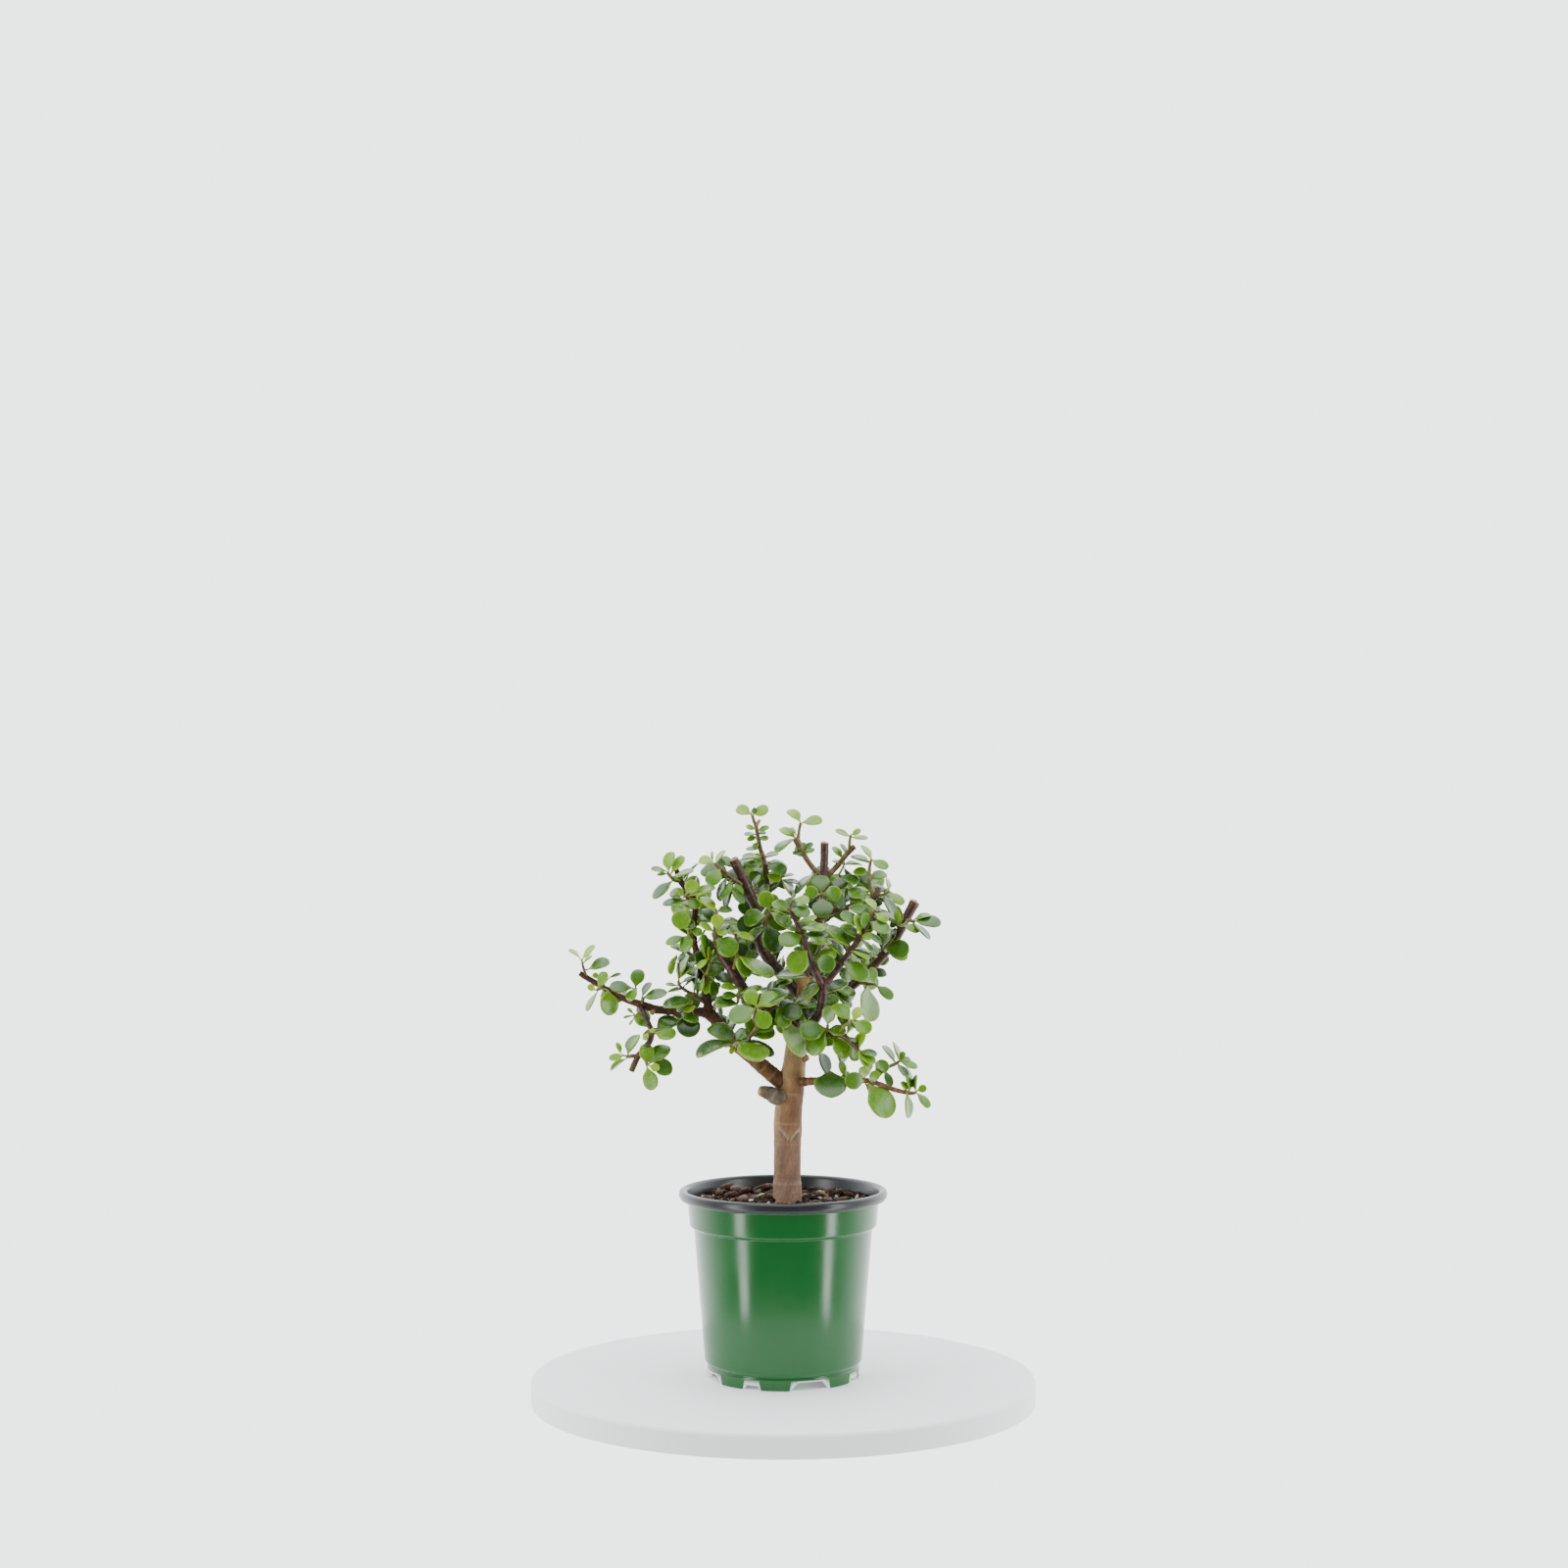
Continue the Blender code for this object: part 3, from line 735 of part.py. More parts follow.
def leaf_solid(leaf, grow=0.0):
    """The plain closed leaf: a point inside the stem, one to three
    four-cornered rings and a point at the tip."""
    rings = (RINGS if leaf.length > SMALL_LEAF else
             RINGS_SMALL if leaf.length > TINY_LEAF else RINGS_TINY)
    e = (leaf.tip - leaf.base).normalized()
    n = leaf.normal
    s = e.cross(n).normalized()
    ln = leaf.length
    th = thickness(leaf) / 2
    verts = [leaf.root.copy()]
    arch = 0.10 * ln if "a" in leaf.flags else 0.03 * ln
    stalk = leaf.base - leaf.root
    bent = (stalk.length > 1.0 and stalk.normalized().dot(e) < 0.5
            or stalk.length > 3.0)
    if bent:
        # a stalk that turns before the blade starts
        d = stalk.normalized()
        for at, m, r in ((leaf.root + d * 0.12, d, 0.30 + grow),
                         (leaf.base, (d + e * 1.2).normalized(),
                          0.38 + grow)):
            s1 = (s - m * s.dot(m))
            s1 = s1.normalized() if s1.length > 0.1 else n.cross(m)
            n1 = s1.cross(m)
            verts += [at + q * r for q in (s1, n1, -s1, -n1)]
    for v in rings:
        hw = max(0.42, outline(v) * leaf.width / 2) + grow
        ht = max(0.34, th * math.sqrt(max(0.0, 4 * v * (1 - v)))) + grow
        c = leaf.base + e * (v * ln) + n * (arch * 4 * v * (1 - v))
        verts += [c + s * hw, c + n * ht, c - s * hw, c - n * ht]
    verts.append(leaf.tip + e * grow)
    faces = []
    for k in range(4):
        faces.append((0, 1 + (k + 1) % 4, 1 + k))
    for r in range(len(rings) - 1 + 2 * bent):
        for k in range(4):
            a, b = 1 + r * 4 + k, 1 + r * 4 + (k + 1) % 4
            faces.append((a, b, b + 4, a + 4))
    t = len(verts) - 1
    for k in range(4):
        faces.append((t, t - 4 + k, t - 4 + (k + 1) % 4))
    return verts, faces


def tris(faces):
    for f in faces:
        yield (f[0], f[1], f[2])
        if len(f) == 4:
            yield (f[0], f[2], f[3])


def ring_frames(pts):
    """Centre, side, up and radius at each point of a tube, with no twist."""
    out = []
    side = None
    for i, (p, r) in enumerate(pts):
        a = pts[max(0, i - 1)][0]
        b = pts[min(len(pts) - 1, i + 1)][0]
        t = (b - a).normalized()
        if side is None:
            ref = Vector((0, 1, 0)) if abs(t.y) < 0.8 else Vector((1, 0, 0))
            side = ref.cross(t).normalized()
        side = (side - t * side.dot(t)).normalized()
        out.append((p, side, t.cross(side).normalized(), r, t))
    return out


def tube_solid(pts, sides, grow=0.0, phase=0.0):
    """A closed tube through the points, with a slightly domed cap each end."""
    verts, faces = [], []
    fr = ring_frames(pts)
    for p, s, u, r, t in fr:
        for k in range(sides):
            a = 2 * math.pi * k / sides + phase
            verts.append(p + (s * math.cos(a) + u * math.sin(a)) * (r + grow))
    for i in range(len(fr) - 1):
        for k in range(sides):
            a, b = i * sides + k, i * sides + (k + 1) % sides
            faces.append((a, b, b + sides, a + sides))
    n = len(verts)
    verts.append(fr[0][0] - fr[0][4] * (0.12 * fr[0][3] + grow))
    verts.append(fr[-1][0] + fr[-1][4] * (0.12 * fr[-1][3] + grow))
    last = (len(fr) - 1) * sides
    for k in range(sides):
        faces.append((n, (k + 1) % sides, k))
        faces.append((n + 1, last + k, last + (k + 1) % sides))
    return verts, faces


def clear_start(name):
    """A side stem's points, from where it is clear of the piece it leaves."""
    if name not in _CLEAR:
        _CLEAR[name] = find_clear_start(name)
    return _CLEAR[name]


_CLEAR = {}
# thick branches keep their whole length and are cut to fit what they leave
FITTED = ("branch_left", "branch_left_up", "branch_left_mid",
          "branch_topleft", "leader", "branch_front", "branch_right",
          "branch_low_right", "branch_front_low", "branch_left_down")


def find_clear_start(name):
    piece, parent, kind, rows = STEMS[name]
    pts = stem_points(name)
    if parent is None or STEMS[parent][0] == piece or name in FITTED:
        return pts
    host = stem_points(parent)
    steps = []
    for (a, ra), (b, rb) in zip(pts, pts[1:]):
        for k in range(24):
            t = k / 24
            steps.append((a.lerp(b, t), ra + (rb - ra) * t,
                          (b - a).normalized(), pts.index((b, rb))))
    for p, r, d, nxt in steps:
        g, along = gap_to_stem(p, host)
        if g >= GAP + 0.15 + 0.12 * r + r * abs(d.dot(along)):
            keep = [(p, r)] + [q for q in pts[nxt:]
                               if (q[0] - p).length > 0.8]
            return keep if len(keep) > 1 else [(p, r), pts[-1]]
    raise ValueError(name + " never leaves " + parent)


def seen(x, z, boxes):
    """True where (x, z) on the elevation lies behind a leaf or a stem."""
    for bx, bz, ex, ez, flat, w in boxes:
        dx, dz = x - bx, z - bz
        v = (dx * ex + dz * ez) / flat
        if 0.02 < v < 0.97:
            if abs(dx * ez - dz * ex) < 0.5 * w * outline(v) * 0.97:
                return True
    return False


def cover_boxes(leaves):
    out = []
    for lf in leaves:
        bx, bz, tx, tz, w, tone, flags = lf.row
        flat = math.hypot(tx - bx, tz - bz)
        if flat > 2.5 and w > 2.0:
            out.append((bx, bz, (tx - bx) / flat, (tz - bz) / flat, flat, w))
    for name, (piece, parent, kind, rows) in STEMS.items():
        for a, b in zip(rows, rows[1:]):
            flat = math.hypot(b[0] - a[0], b[1] - a[1])
            if flat > 1 and name in STEM_ROWS_DRAWN:
                out.append((a[0] - (b[0] - a[0]) * .3, a[1] - (b[1] - a[1]) * .3,
                            (b[0] - a[0]) / flat, (b[1] - a[1]) / flat,
                            flat * 1.6, a[3] * 2))
    return out


def back_leaves(leaves):
    """Leaves for the shoots of the far side: opposite pairs set crosswise
    along each shoot, kept only where the front of the crown hides them."""
    boxes = cover_boxes(leaves)
    out = []
    for piece, parent, start, end, seed in BACK:
        rnd = random.Random(seed)
        pts = stem_points(piece)
        lens = [0.0]
        for (a, _), (b, _) in zip(pts, pts[1:]):
            lens.append(lens[-1] + (b - a).length)
        total = lens[-1]
        s = 9.0
        turn = rnd.uniform(0, 60)
        while s < total + 1.0:
            i = max(k for k in range(len(lens) - 1)
                    if lens[k] <= min(s, total - .01))
            t = min(1.0, (s - lens[i]) / (lens[i + 1] - lens[i]))
            p = pts[i][0].lerp(pts[i + 1][0], t)
            r = pts[i][1] + (pts[i + 1][1] - pts[i][1]) * t
            d = (pts[i + 1][0] - pts[i][0]).normalized()
            ref = Vector((0, 0, 1)).cross(d).normalized()
            ref2 = d.cross(ref)
            got = 0
            for k in range(12):
                ang = math.radians(turn + 30 * k + rnd.uniform(-8, 8))
                rad = ref * math.cos(ang) + ref2 * math.sin(ang)
                lift = rnd.uniform(0.45, 0.95)
                e = (rad + d * lift).normalized()
                ln = rnd.uniform(8.5, 14.0)
                ratio = rnd.uniform(0.74, 0.84)
                tone = rnd.choice((.1, .2, .3, .35, .45, .5, .6))
                if got >= 2:
                    continue
                base = p + rad * (r + 0.4) + e * 0.3
                leaf = Leaf(piece, piece, p + rad * (0.3 * r), base,
                            base + e * ln,
                            ln * ratio, tone, "")
                leaf.normal = (d - e * d.dot(e)).normalized()
                leaf.stem_r = r
                leaf.made = True
                side = e.cross(leaf.normal)
                test = [base.lerp(leaf.tip, .96), base.lerp(leaf.tip, .5),
                        base.lerp(leaf.tip, .7) + side * leaf.width * .46,
                        base.lerp(leaf.tip, .7) - side * leaf.width * .46,
                        base.lerp(leaf.tip, .4) + side * leaf.width * .38,
                        base.lerp(leaf.tip, .4) - side * leaf.width * .38]
                miss = sum(not seen(*drawn_point(q), boxes) for q in test)
                if miss == 0:
                    out.append(leaf)
                    got += 1
            turn += 47
            s += 5.5
    return out


def tree_of(solid):
    verts, faces = solid
    return BVHTree.FromPolygons(verts, list(tris(faces)))


def box_of(verts):
    return ([min(v[i] for v in verts) for i in range(3)],
            [max(v[i] for v in verts) for i in range(3)])


def boxes_meet(a, b):
    return all(a[0][i] <= b[1][i] and b[0][i] <= a[1][i] for i in range(3))


def blade(leaf):
    """The outer part of a leaf, for testing it against its own piece."""
    cut = Leaf(leaf.piece, leaf.stem, leaf.base.lerp(leaf.tip, 0.32),
               leaf.base.lerp(leaf.tip, 0.32), leaf.tip, leaf.width * .95,
               leaf.tone, leaf.flags)
    cut.normal = leaf.normal
    return cut


def settle(leaves, rounds=60):
    """Moves leaves in depth, and never on the elevation, until none of them
    runs through another piece's leaf or stem; a far-side leaf that cannot
    clear is dropped."""
    stems = []
    for name, (piece, parent, kind, rows) in STEMS.items():
        solid = tube_solid(clear_start(name), 8, GAP * 0.8)
        stems.append((piece, solid[0], tree_of(solid), box_of(solid[0])))
    grow = GAP / 2 + 0.02
    shape = {}

    def shapes(lf):
        full = leaf_solid(lf, grow)
        part = leaf_solid(blade(lf), 0.05)
        return (tree_of(full), box_of(full[0]), tree_of(part),
                box_of(part[0]), lf.base.lerp(lf.tip, 0.55))

    for lf in leaves:
        shape[id(lf)] = shapes(lf)
    report = []
    for step in range(rounds):
        hits = []
        moved = set()
        for i, a in enumerate(leaves):
            sa = shape[id(a)]
            for piece, verts, tree, box in stems:
                if piece == a.piece or not boxes_meet(sa[1], box):
                    continue
                pairs = sa[0].overlap(tree)
                if pairs:
                    mid = sum((v.y for v in verts), 0.0) / len(verts)
                    near = min(verts, key=lambda v: (v - sa[4]).length)
                    hits.append((a, None, sa[4].y - near.y))
            for b in leaves[i + 1:]:
                sb = shape[id(b)]
                if not boxes_meet(sa[1], sb[1]):
                    continue
                if a.piece == b.piece:
                    if sa[2].overlap(sb[2]):
                        hits.append((a, b, sa[4].y - sb[4].y))
                elif sa[0].overlap(sb[0]):
                    hits.append((a, b, sa[4].y - sb[4].y))
        if not hits:
            break
        push = {}
        for a, b, dy in hits:
            s = 1 if dy > 0 else -1
            if b is None:
                push[id(a)] = push.get(id(a), 0) + 2 * s
            else:
                push[id(a)] = push.get(id(a), 0) + s
                push[id(b)] = push.get(id(b), 0) - s
        drop = set()
        for lf in leaves:
            k = push.get(id(lf), 0)
            if id(lf) not in push:
                continue
            if lf.made:
                if step >= 8 or any(a is lf or b is lf for a, b, _ in hits
                                    if b is None or not (a.made and b.made)):
                    drop.add(id(lf))
                else:
                    other = [b if a is lf else a for a, b, _ in hits
                             if a is lf or b is lf]
                    if leaves.index(lf) > max(leaves.index(o) for o in other):
                        drop.add(id(lf))
                continue
            amt = 0.9 if step < 25 else 1.3
            k = max(-2, min(2, k))
            lf.lean += amt * k
            lim = 1.25 * max(4.0, math.hypot(lf.row[2] - lf.row[0],
                                             lf.row[3] - lf.row[1]), lf.row[4])
            lf.lean = max(-lim, min(lim, lf.lean))
            shift = 0.30 * k
            if abs(lf.y + shift - lf.root.y) < 2.6:
                lf.y += shift
            place(lf)
            shape[id(lf)] = shapes(lf)
        leaves = [lf for lf in leaves if id(lf) not in drop]
        report = hits
    return leaves, (hits if step == rounds - 1 else [])


STEM_ROWS_DRAWN = {n: v[3] for n, v in STEMS.items()}
STEM_ROWS = dict(STEM_ROWS_DRAWN)
for _piece, _parent, _start, _end, _seed in BACK:
    _rows = []
    for _k in range(5):
        _t = _k / 4
        # a far-side shoot leaves sideways and then turns up
        _sway = 3.5 * math.sin(math.pi * _t) * (1 if _seed % 2 else -1)
        _x = _start[0] + (_end[0] - _start[0]) * _t + _sway
        _z = _start[1] + (_end[1] - _start[1]) * _t ** 1.6
        _y = _start[2] + (_end[2] - _start[2]) * _t ** 0.85
        _rows.append((_x, _z, _y, 1.15 - 0.45 * _t))
    STEM_ROWS[_piece] = _rows
    STEMS[_piece] = (_piece, _parent, "olive", _rows)

# ------------------------------------------------------------ mesh building
def clear_scene():
    for ob in list(bpy.data.objects):
        bpy.data.objects.remove(ob, do_unlink=True)
    for me in list(bpy.data.meshes):
        bpy.data.meshes.remove(me)


def material(name, colour, rough, metal=0.0):
    mat = bpy.data.materials.get(name)
    if mat is None:
        mat = bpy.data.materials.new(name)
        mat.use_nodes = True
        b = mat.node_tree.nodes["Principled BSDF"]
        b.inputs["Base Color"].default_value = (*colour, 1.0)
        b.inputs["Roughness"].default_value = rough
        b.inputs["Metallic"].default_value = metal
    return mat


def mesh_object(name, verts, faces, mat=None, smooth=True):
    me = bpy.data.meshes.new(name)
    me.from_pydata([((v[0] - MIDDLE_X) * MM, (v[1] - MIDDLE_Y) * MM,
                     v[2] * MM) for v in verts], [],
                   [tuple(f) for f in faces])
    bm = bmesh.new()
    bm.from_mesh(me)
    bmesh.ops.recalc_face_normals(bm, faces=bm.faces)
    bm.to_mesh(me)
    bm.free()
    if smooth:
        me.shade_smooth()
        me.set_sharp_from_angle(angle=math.radians(40))
    ob = bpy.data.objects.new(name, me)
    bpy.context.scene.collection.objects.link(ob)
    if mat:
        me.materials.append(mat)
    return ob


def as_cutter(ob):
    ob.hide_render = True
    ob.display_type = "WIRE"
    return ob


def joined(solids):
    verts, faces = [], []
    for v, f in solids:
        n = len(verts)
        verts += v
        faces += [tuple(i + n for i in q) for q in f]
    return verts, faces


def boolean(ob, other, kind, solver="EXACT"):
    mod = ob.modifiers.new(kind.lower(), "BOOLEAN")
    mod.operation = kind
    mod.solver = solver
    mod.object = other
    return mod


def apart(solids):
    """Sorts solids into groups whose members don't touch each other."""
    groups = []
    for solid in solids:
        tree, box = tree_of(solid), box_of(solid[0])
        for group in groups:
            if not any(boxes_meet(box, b) and tree.overlap(t)
                       for _, t, b in group):
                group.append((solid, tree, box))
                break
        else:
            groups.append([(solid, tree, box)])
    return [[g[0] for g in group] for group in groups]


def lathe(profile, sides):
    """A closed solid turned round Z from a closed profile of (r, z)."""
    verts, faces = [], []
    n = len(profile)
    for k in range(sides):
        a = 2 * math.pi * (k + 0.5) / sides
        for r, z in profile:
            verts.append((r * math.sin(a), -r * math.cos(a), z))
    for k in range(sides):
        for i in range(n):
            a, b = k * n + i, k * n + (i + 1) % n
            c, d = (k + 1) % sides * n + (i + 1) % n, (k + 1) % sides * n + i
            faces.append((a, b, c, d))
    return verts, faces


def inner_r(z):
    """The wall's inner radius at a height."""
    if z >= BAND_LOW_Z:
        return (BAND_LOW_R - WALL + (BAND_TOP_R - BAND_LOW_R)
                * (z - BAND_LOW_Z) / (91.0 - BAND_LOW_Z))
    t = (z - BODY_LOW_Z) / (STEP_Z - BODY_LOW_Z)
    return BODY_LOW_R - WALL + (STEP_R - BODY_LOW_R) * t


def build_pot():
    floor_in = FLOOR_Z + WALL
    side = [(FOOT_R, 0), (FOOT_R, 5.9), (FOOT_R - 0.45, GROOVE_Z),
            (BODY_LOW_R, BODY_LOW_Z + 1.6), (STEP_R, STEP_Z),
            (BAND_LOW_R, BAND_LOW_Z), (BAND_TOP_R, 90.9),
            (RIM_R - 1.3, 91.3), (RIM_R, 93.6), (RIM_R - .3, 95.5),
            (RIM_R - 2.2, POT_HEIGHT), (RIM_R - 4.2, 95.4),
            (inner_r(90.0), 90.0), (inner_r(BAND_LOW_Z), BAND_LOW_Z),
            (inner_r(STEP_Z - 1.2), STEP_Z - 1.2),
            (inner_r(14.0), 14.0), (inner_r(9.0) - 1.2, floor_in),
            (4.0, floor_in), (4.0, FLOOR_Z), (FOOT_R - FOOT_WIDE - .3, FLOOR_Z),
            (FOOT_R - FOOT_WIDE, 0)]
    # the floor is closed by a thin disc where the turned profile stops
    verts, faces = lathe(side, POT_SIDES)
    n = len(side)
    top = [k * n + 17 for k in range(POT_SIDES)]
    low = [k * n + 18 for k in range(POT_SIDES)]
    faces = [f for f in faces
             if not (set(f) <= set(top) | set(low))]
    faces.append(tuple(top))
    faces.append(tuple(reversed(low)))
    pot = mesh_object("pot", verts, faces,
                      material("pot_green", (0.016, 0.112, 0.022), 0.22))
    cuts = []
    for quarter in range(4):
        for at, (low_deg, top_deg, up) in ((NOTCH_WIDE_AT, NOTCH_WIDE),
                                           (NOTCH_SMALL_AT, NOTCH_SMALL)):
            cuts.append(notch_solid(at + 90 * quarter, low_deg, top_deg, up))
        a = math.radians(NOTCH_WIDE_AT + 90 * quarter)
        cuts.append(drill(DRAIN_AT * math.sin(a), -DRAIN_AT * math.cos(a),
                          FLOOR_Z - 1, floor_in + 1, DRAIN_R))
    cut = as_cutter(mesh_object("cut_pot", *joined(cuts)))
    boolean(pot, cut, "DIFFERENCE")


def notch_solid(at, low_deg, top_deg, up):
    """A wedge through the foot ring, wider at the bottom."""
    verts = []
    for z, half in ((-1.0, low_deg / 2 + (low_deg - top_deg) / 2 / up),
                    (up, top_deg / 2)):
        for r in (FOOT_R - FOOT_WIDE - 1.5, FOOT_R + 1.0):
            for s in (-1, 0, 1):
                a = math.radians(at + s * half)
                verts.append((r * math.sin(a), -r * math.cos(a), z))
    faces = []
    for s in (0, 1):
        faces += [(s, s + 1, s + 4, s + 3), (6 + s, 9 + s, 10 + s, 7 + s),
                  (s, 6 + s, 7 + s, s + 1), (3 + s, 4 + s, 10 + s, 9 + s)]
    faces += [(0, 3, 9, 6), (2, 8, 11, 5)]
    return verts, faces


def drill(x, y, z0, z1, r, sides=10):
    verts = [(x + r * math.cos(2 * math.pi * k / sides),
              y + r * math.sin(2 * math.pi * k / sides), z)
             for z in (z0, z1) for k in range(sides)]
    faces = [(k, (k + 1) % sides, sides + (k + 1) % sides, sides + k)
             for k in range(sides)]
    faces += [tuple(reversed(range(sides))), tuple(range(sides, 2 * sides))]
    return verts, faces


def soil_height(x, y):
    """The potting mix's gentle lumps, higher at the far left."""
    z = SOIL_Z
    z += 0.55 * math.sin(0.21 * x + 1.3) * math.cos(0.17 * y + 0.4)
    z += 0.45 * math.sin(0.37 * x - 0.6 + 0.29 * y)
    z += SOIL_LUMP * math.exp(-((x + 27) ** 2 + (y - 20) ** 2) / 260.0)
    return z


def build_soil():
    sides = 24
    cx = 2.1
    wall_z = (SOIL_Z - 0.3, BAND_LOW_Z + .4, STEP_Z - 1.4, 14.2, 9.6)
    verts, faces = [], []
    rows = []

    def ring(r, mid, z=None):
        row = []
        for k in range(sides):
            a = 2 * math.pi * k / sides
            x, y = mid + r * math.cos(a), r * math.sin(a)
            row.append(len(verts))
            verts.append((x, y, soil_height(x, y) if z is None else z))
        rows.append(row)

    ring(POCKET_R, cx, POCKET_Z)
    ring(POCKET_R, cx)
    for r, mid in ((13.0, 1.7), (21.0, 1.2), (31.0, .6), (40.0, .2)):
        ring(r, mid)
    ring(inner_r(SOIL_Z) - SOIL_GAP - 0.25, 0)
    for z in wall_z[1:4]:
        ring(inner_r(z) - SOIL_GAP - 0.25, 0, z)
    ring(inner_r(9.0) - 1.9, 0, FLOOR_Z + WALL + SOIL_GAP)
    for a, b in zip(rows, rows[1:]):
        for k in range(sides):
            m = (k + 1) % sides
            faces.append((a[k], b[k], b[m], a[m]))
    for row, rev in ((rows[0], False), (rows[-1], True)):
        n = len(verts)
        verts.append((sum(verts[i][0] for i in row) / sides, 0,
                      verts[row[0]][2]))
        for k in range(sides):
            m = (k + 1) % sides
            faces.append((row[k], row[m], n) if not rev
                         else (row[m], row[k], n))
    mesh_object("soil", verts, faces,
                material("soil_brown", (0.045, 0.026, 0.016), 0.95))


BARK = {
    "bark": ((0.27, 0.15, 0.085), 0.75), "old": ((0.19, 0.11, 0.055), 0.7),
    "dark": ((0.055, 0.022, 0.014), 0.6),
    "maroon": ((0.085, 0.024, 0.02), 0.5),
    "olive": ((0.13, 0.12, 0.03), 0.45), "green": ((0.16, 0.22, 0.03), 0.4),
}
LEAFY = ((0.07, 0.19, 0.015), 0.35)
TURN = {"shoot_left_b": 0.3}
BUD = 4.8              # leaves shorter than this are left off the solids


def sides_for(r):
    return 12 if r > 5 else 8 if r > 2.4 else 6 if r > 1.5 else 5


def thin_out(pts):
    """Drops points that a side stem's bend doesn't need."""
    keep = [pts[0]]
    for a, b, c in zip(pts, pts[1:], pts[2:]):
        bend = (b[0] - keep[-1][0]).angle(c[0] - b[0])
        if bend > 0.16 or abs(b[1] - keep[-1][1]) > 0.45:
            keep.append(b)
    return keep + [pts[-1]]


def build_piece(piece, leaves, turn):
    """One piece of the plant: its stem, the stems on it and its leaves, all
    made into a single body.  turn sets how the stems' facets face."""
    names = [n for n in STEMS if STEMS[n][0] == piece]
    main = names[0]
    kind = STEMS[main][2]
    mine = [lf for lf in leaves if lf.piece == piece]
    if piece.startswith("shoot"):
        mat = material(piece + "_leaf", *LEAFY)
    else:
        mat = material(piece + "_bark", *BARK[kind])
    pts = clear_start(main)
    if not mine:
        pts = thin_out(pts)
    ob = mesh_object(piece, *tube_solid(pts, sides_for(pts[0][1]),
                                        phase=turn), mat=mat)
    solids = [tube_solid(clear_start(n), sides_for(clear_start(n)[0][1]),
                         phase=turn * 1.3)
              for n in names[1:]]
    solids += [leaf_solid(lf) for lf in mine if lf.length > BUD]
    # many leaves meet at one node of a thin stem: the exact solver leaves
    # open edges there, so these unions use the manifold one
    for k, group in enumerate(apart(solids)):
        add = as_cutter(mesh_object("add%d_%s" % (k, piece),
                                    *joined(group)))
        boolean(ob, add, "UNION", "MANIFOLD")
    if main in FITTED:
        host = STEMS[main][1]
        hp = thin_out(clear_start(host))
        cut = as_cutter(mesh_object(
            "cut_" + piece, *tube_solid(hp, sides_for(hp[0][1]), GAP)))
        boolean(ob, cut, "DIFFERENCE", "MANIFOLD" if solids else "EXACT")


def build_plant():
    leaves = drawn_leaves()
    leaves, left = settle(leaves + back_leaves(leaves))
    for piece in dict.fromkeys(v[0] for v in STEMS.values()):
        build_piece(piece, leaves, TURN.get(piece, 0.0))


def main():
    clear_scene()
    build_pot()
    build_soil()
    build_plant()


main()
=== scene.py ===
"""How the potted jade plant looks: fine leaves, bark, potting mix and pot,
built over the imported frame."""
import math
import random

import bmesh
import bpy
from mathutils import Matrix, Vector, noise
from mathutils.bvhtree import BVHTree


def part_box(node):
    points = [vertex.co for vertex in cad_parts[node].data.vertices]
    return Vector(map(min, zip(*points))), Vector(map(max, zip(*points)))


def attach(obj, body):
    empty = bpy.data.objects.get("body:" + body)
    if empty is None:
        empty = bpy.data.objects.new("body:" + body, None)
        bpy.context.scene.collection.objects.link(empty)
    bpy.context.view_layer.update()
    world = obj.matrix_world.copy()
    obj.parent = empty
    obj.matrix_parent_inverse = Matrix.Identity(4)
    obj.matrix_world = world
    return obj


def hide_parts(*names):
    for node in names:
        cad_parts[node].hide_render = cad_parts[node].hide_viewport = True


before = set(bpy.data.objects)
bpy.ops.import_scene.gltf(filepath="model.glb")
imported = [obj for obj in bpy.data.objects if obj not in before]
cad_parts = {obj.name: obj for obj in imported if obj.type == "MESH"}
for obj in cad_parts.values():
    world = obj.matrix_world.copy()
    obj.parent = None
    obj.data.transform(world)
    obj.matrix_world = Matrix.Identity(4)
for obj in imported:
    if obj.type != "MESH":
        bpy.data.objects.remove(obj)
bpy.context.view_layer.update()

MM = 0.001
_low, _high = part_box("pot")
AXIS = ((_low.x + _high.x) / 2, (_low.y + _high.y) / 2)   # the pot's axis, m

POT_HEIGHT = 96.7
RIM_R = 54.0
BAND_TOP_R = 49.4
BAND_LOW_R = 48.4
BAND_LOW_Z = 78.0
STEP_R = 46.2
STEP_Z = 76.8
BODY_LOW_R = 40.6
BODY_LOW_Z = 7.6
GROOVE_Z = 6.5
FOOT_R = 39.3
FOOT_WIDE = 2.5
FLOOR_Z = 5.0
WALL = 1.0
NOTCH_WIDE_AT = 21.0
NOTCH_WIDE = (32.0, 21.0, 4.3)
NOTCH_SMALL_AT = -24.0
NOTCH_SMALL = (14.0, 10.0, 2.4)
DRAIN_R = 4.0
DRAIN_AT = 30.5
SOIL_Z = 89.6
SOIL_LUMP = 1.3

# ---------------------------------------------------------------- the plant
# All plant tables are in millimetres and are drawn as a front elevation in
# one-point perspective: the eye is EYE_D in front of the trunk axis and EYE_H
# above the table.  x is to the right and z is up on the plane through the
# trunk axis; y is depth, negative towards the front.
EYE_D = 1426.0
EYE_H = 305.8
DEPTH = 1.5            # the crown's depth against the depths in the tables
GAP = 0.35             # clear space kept between separate pieces

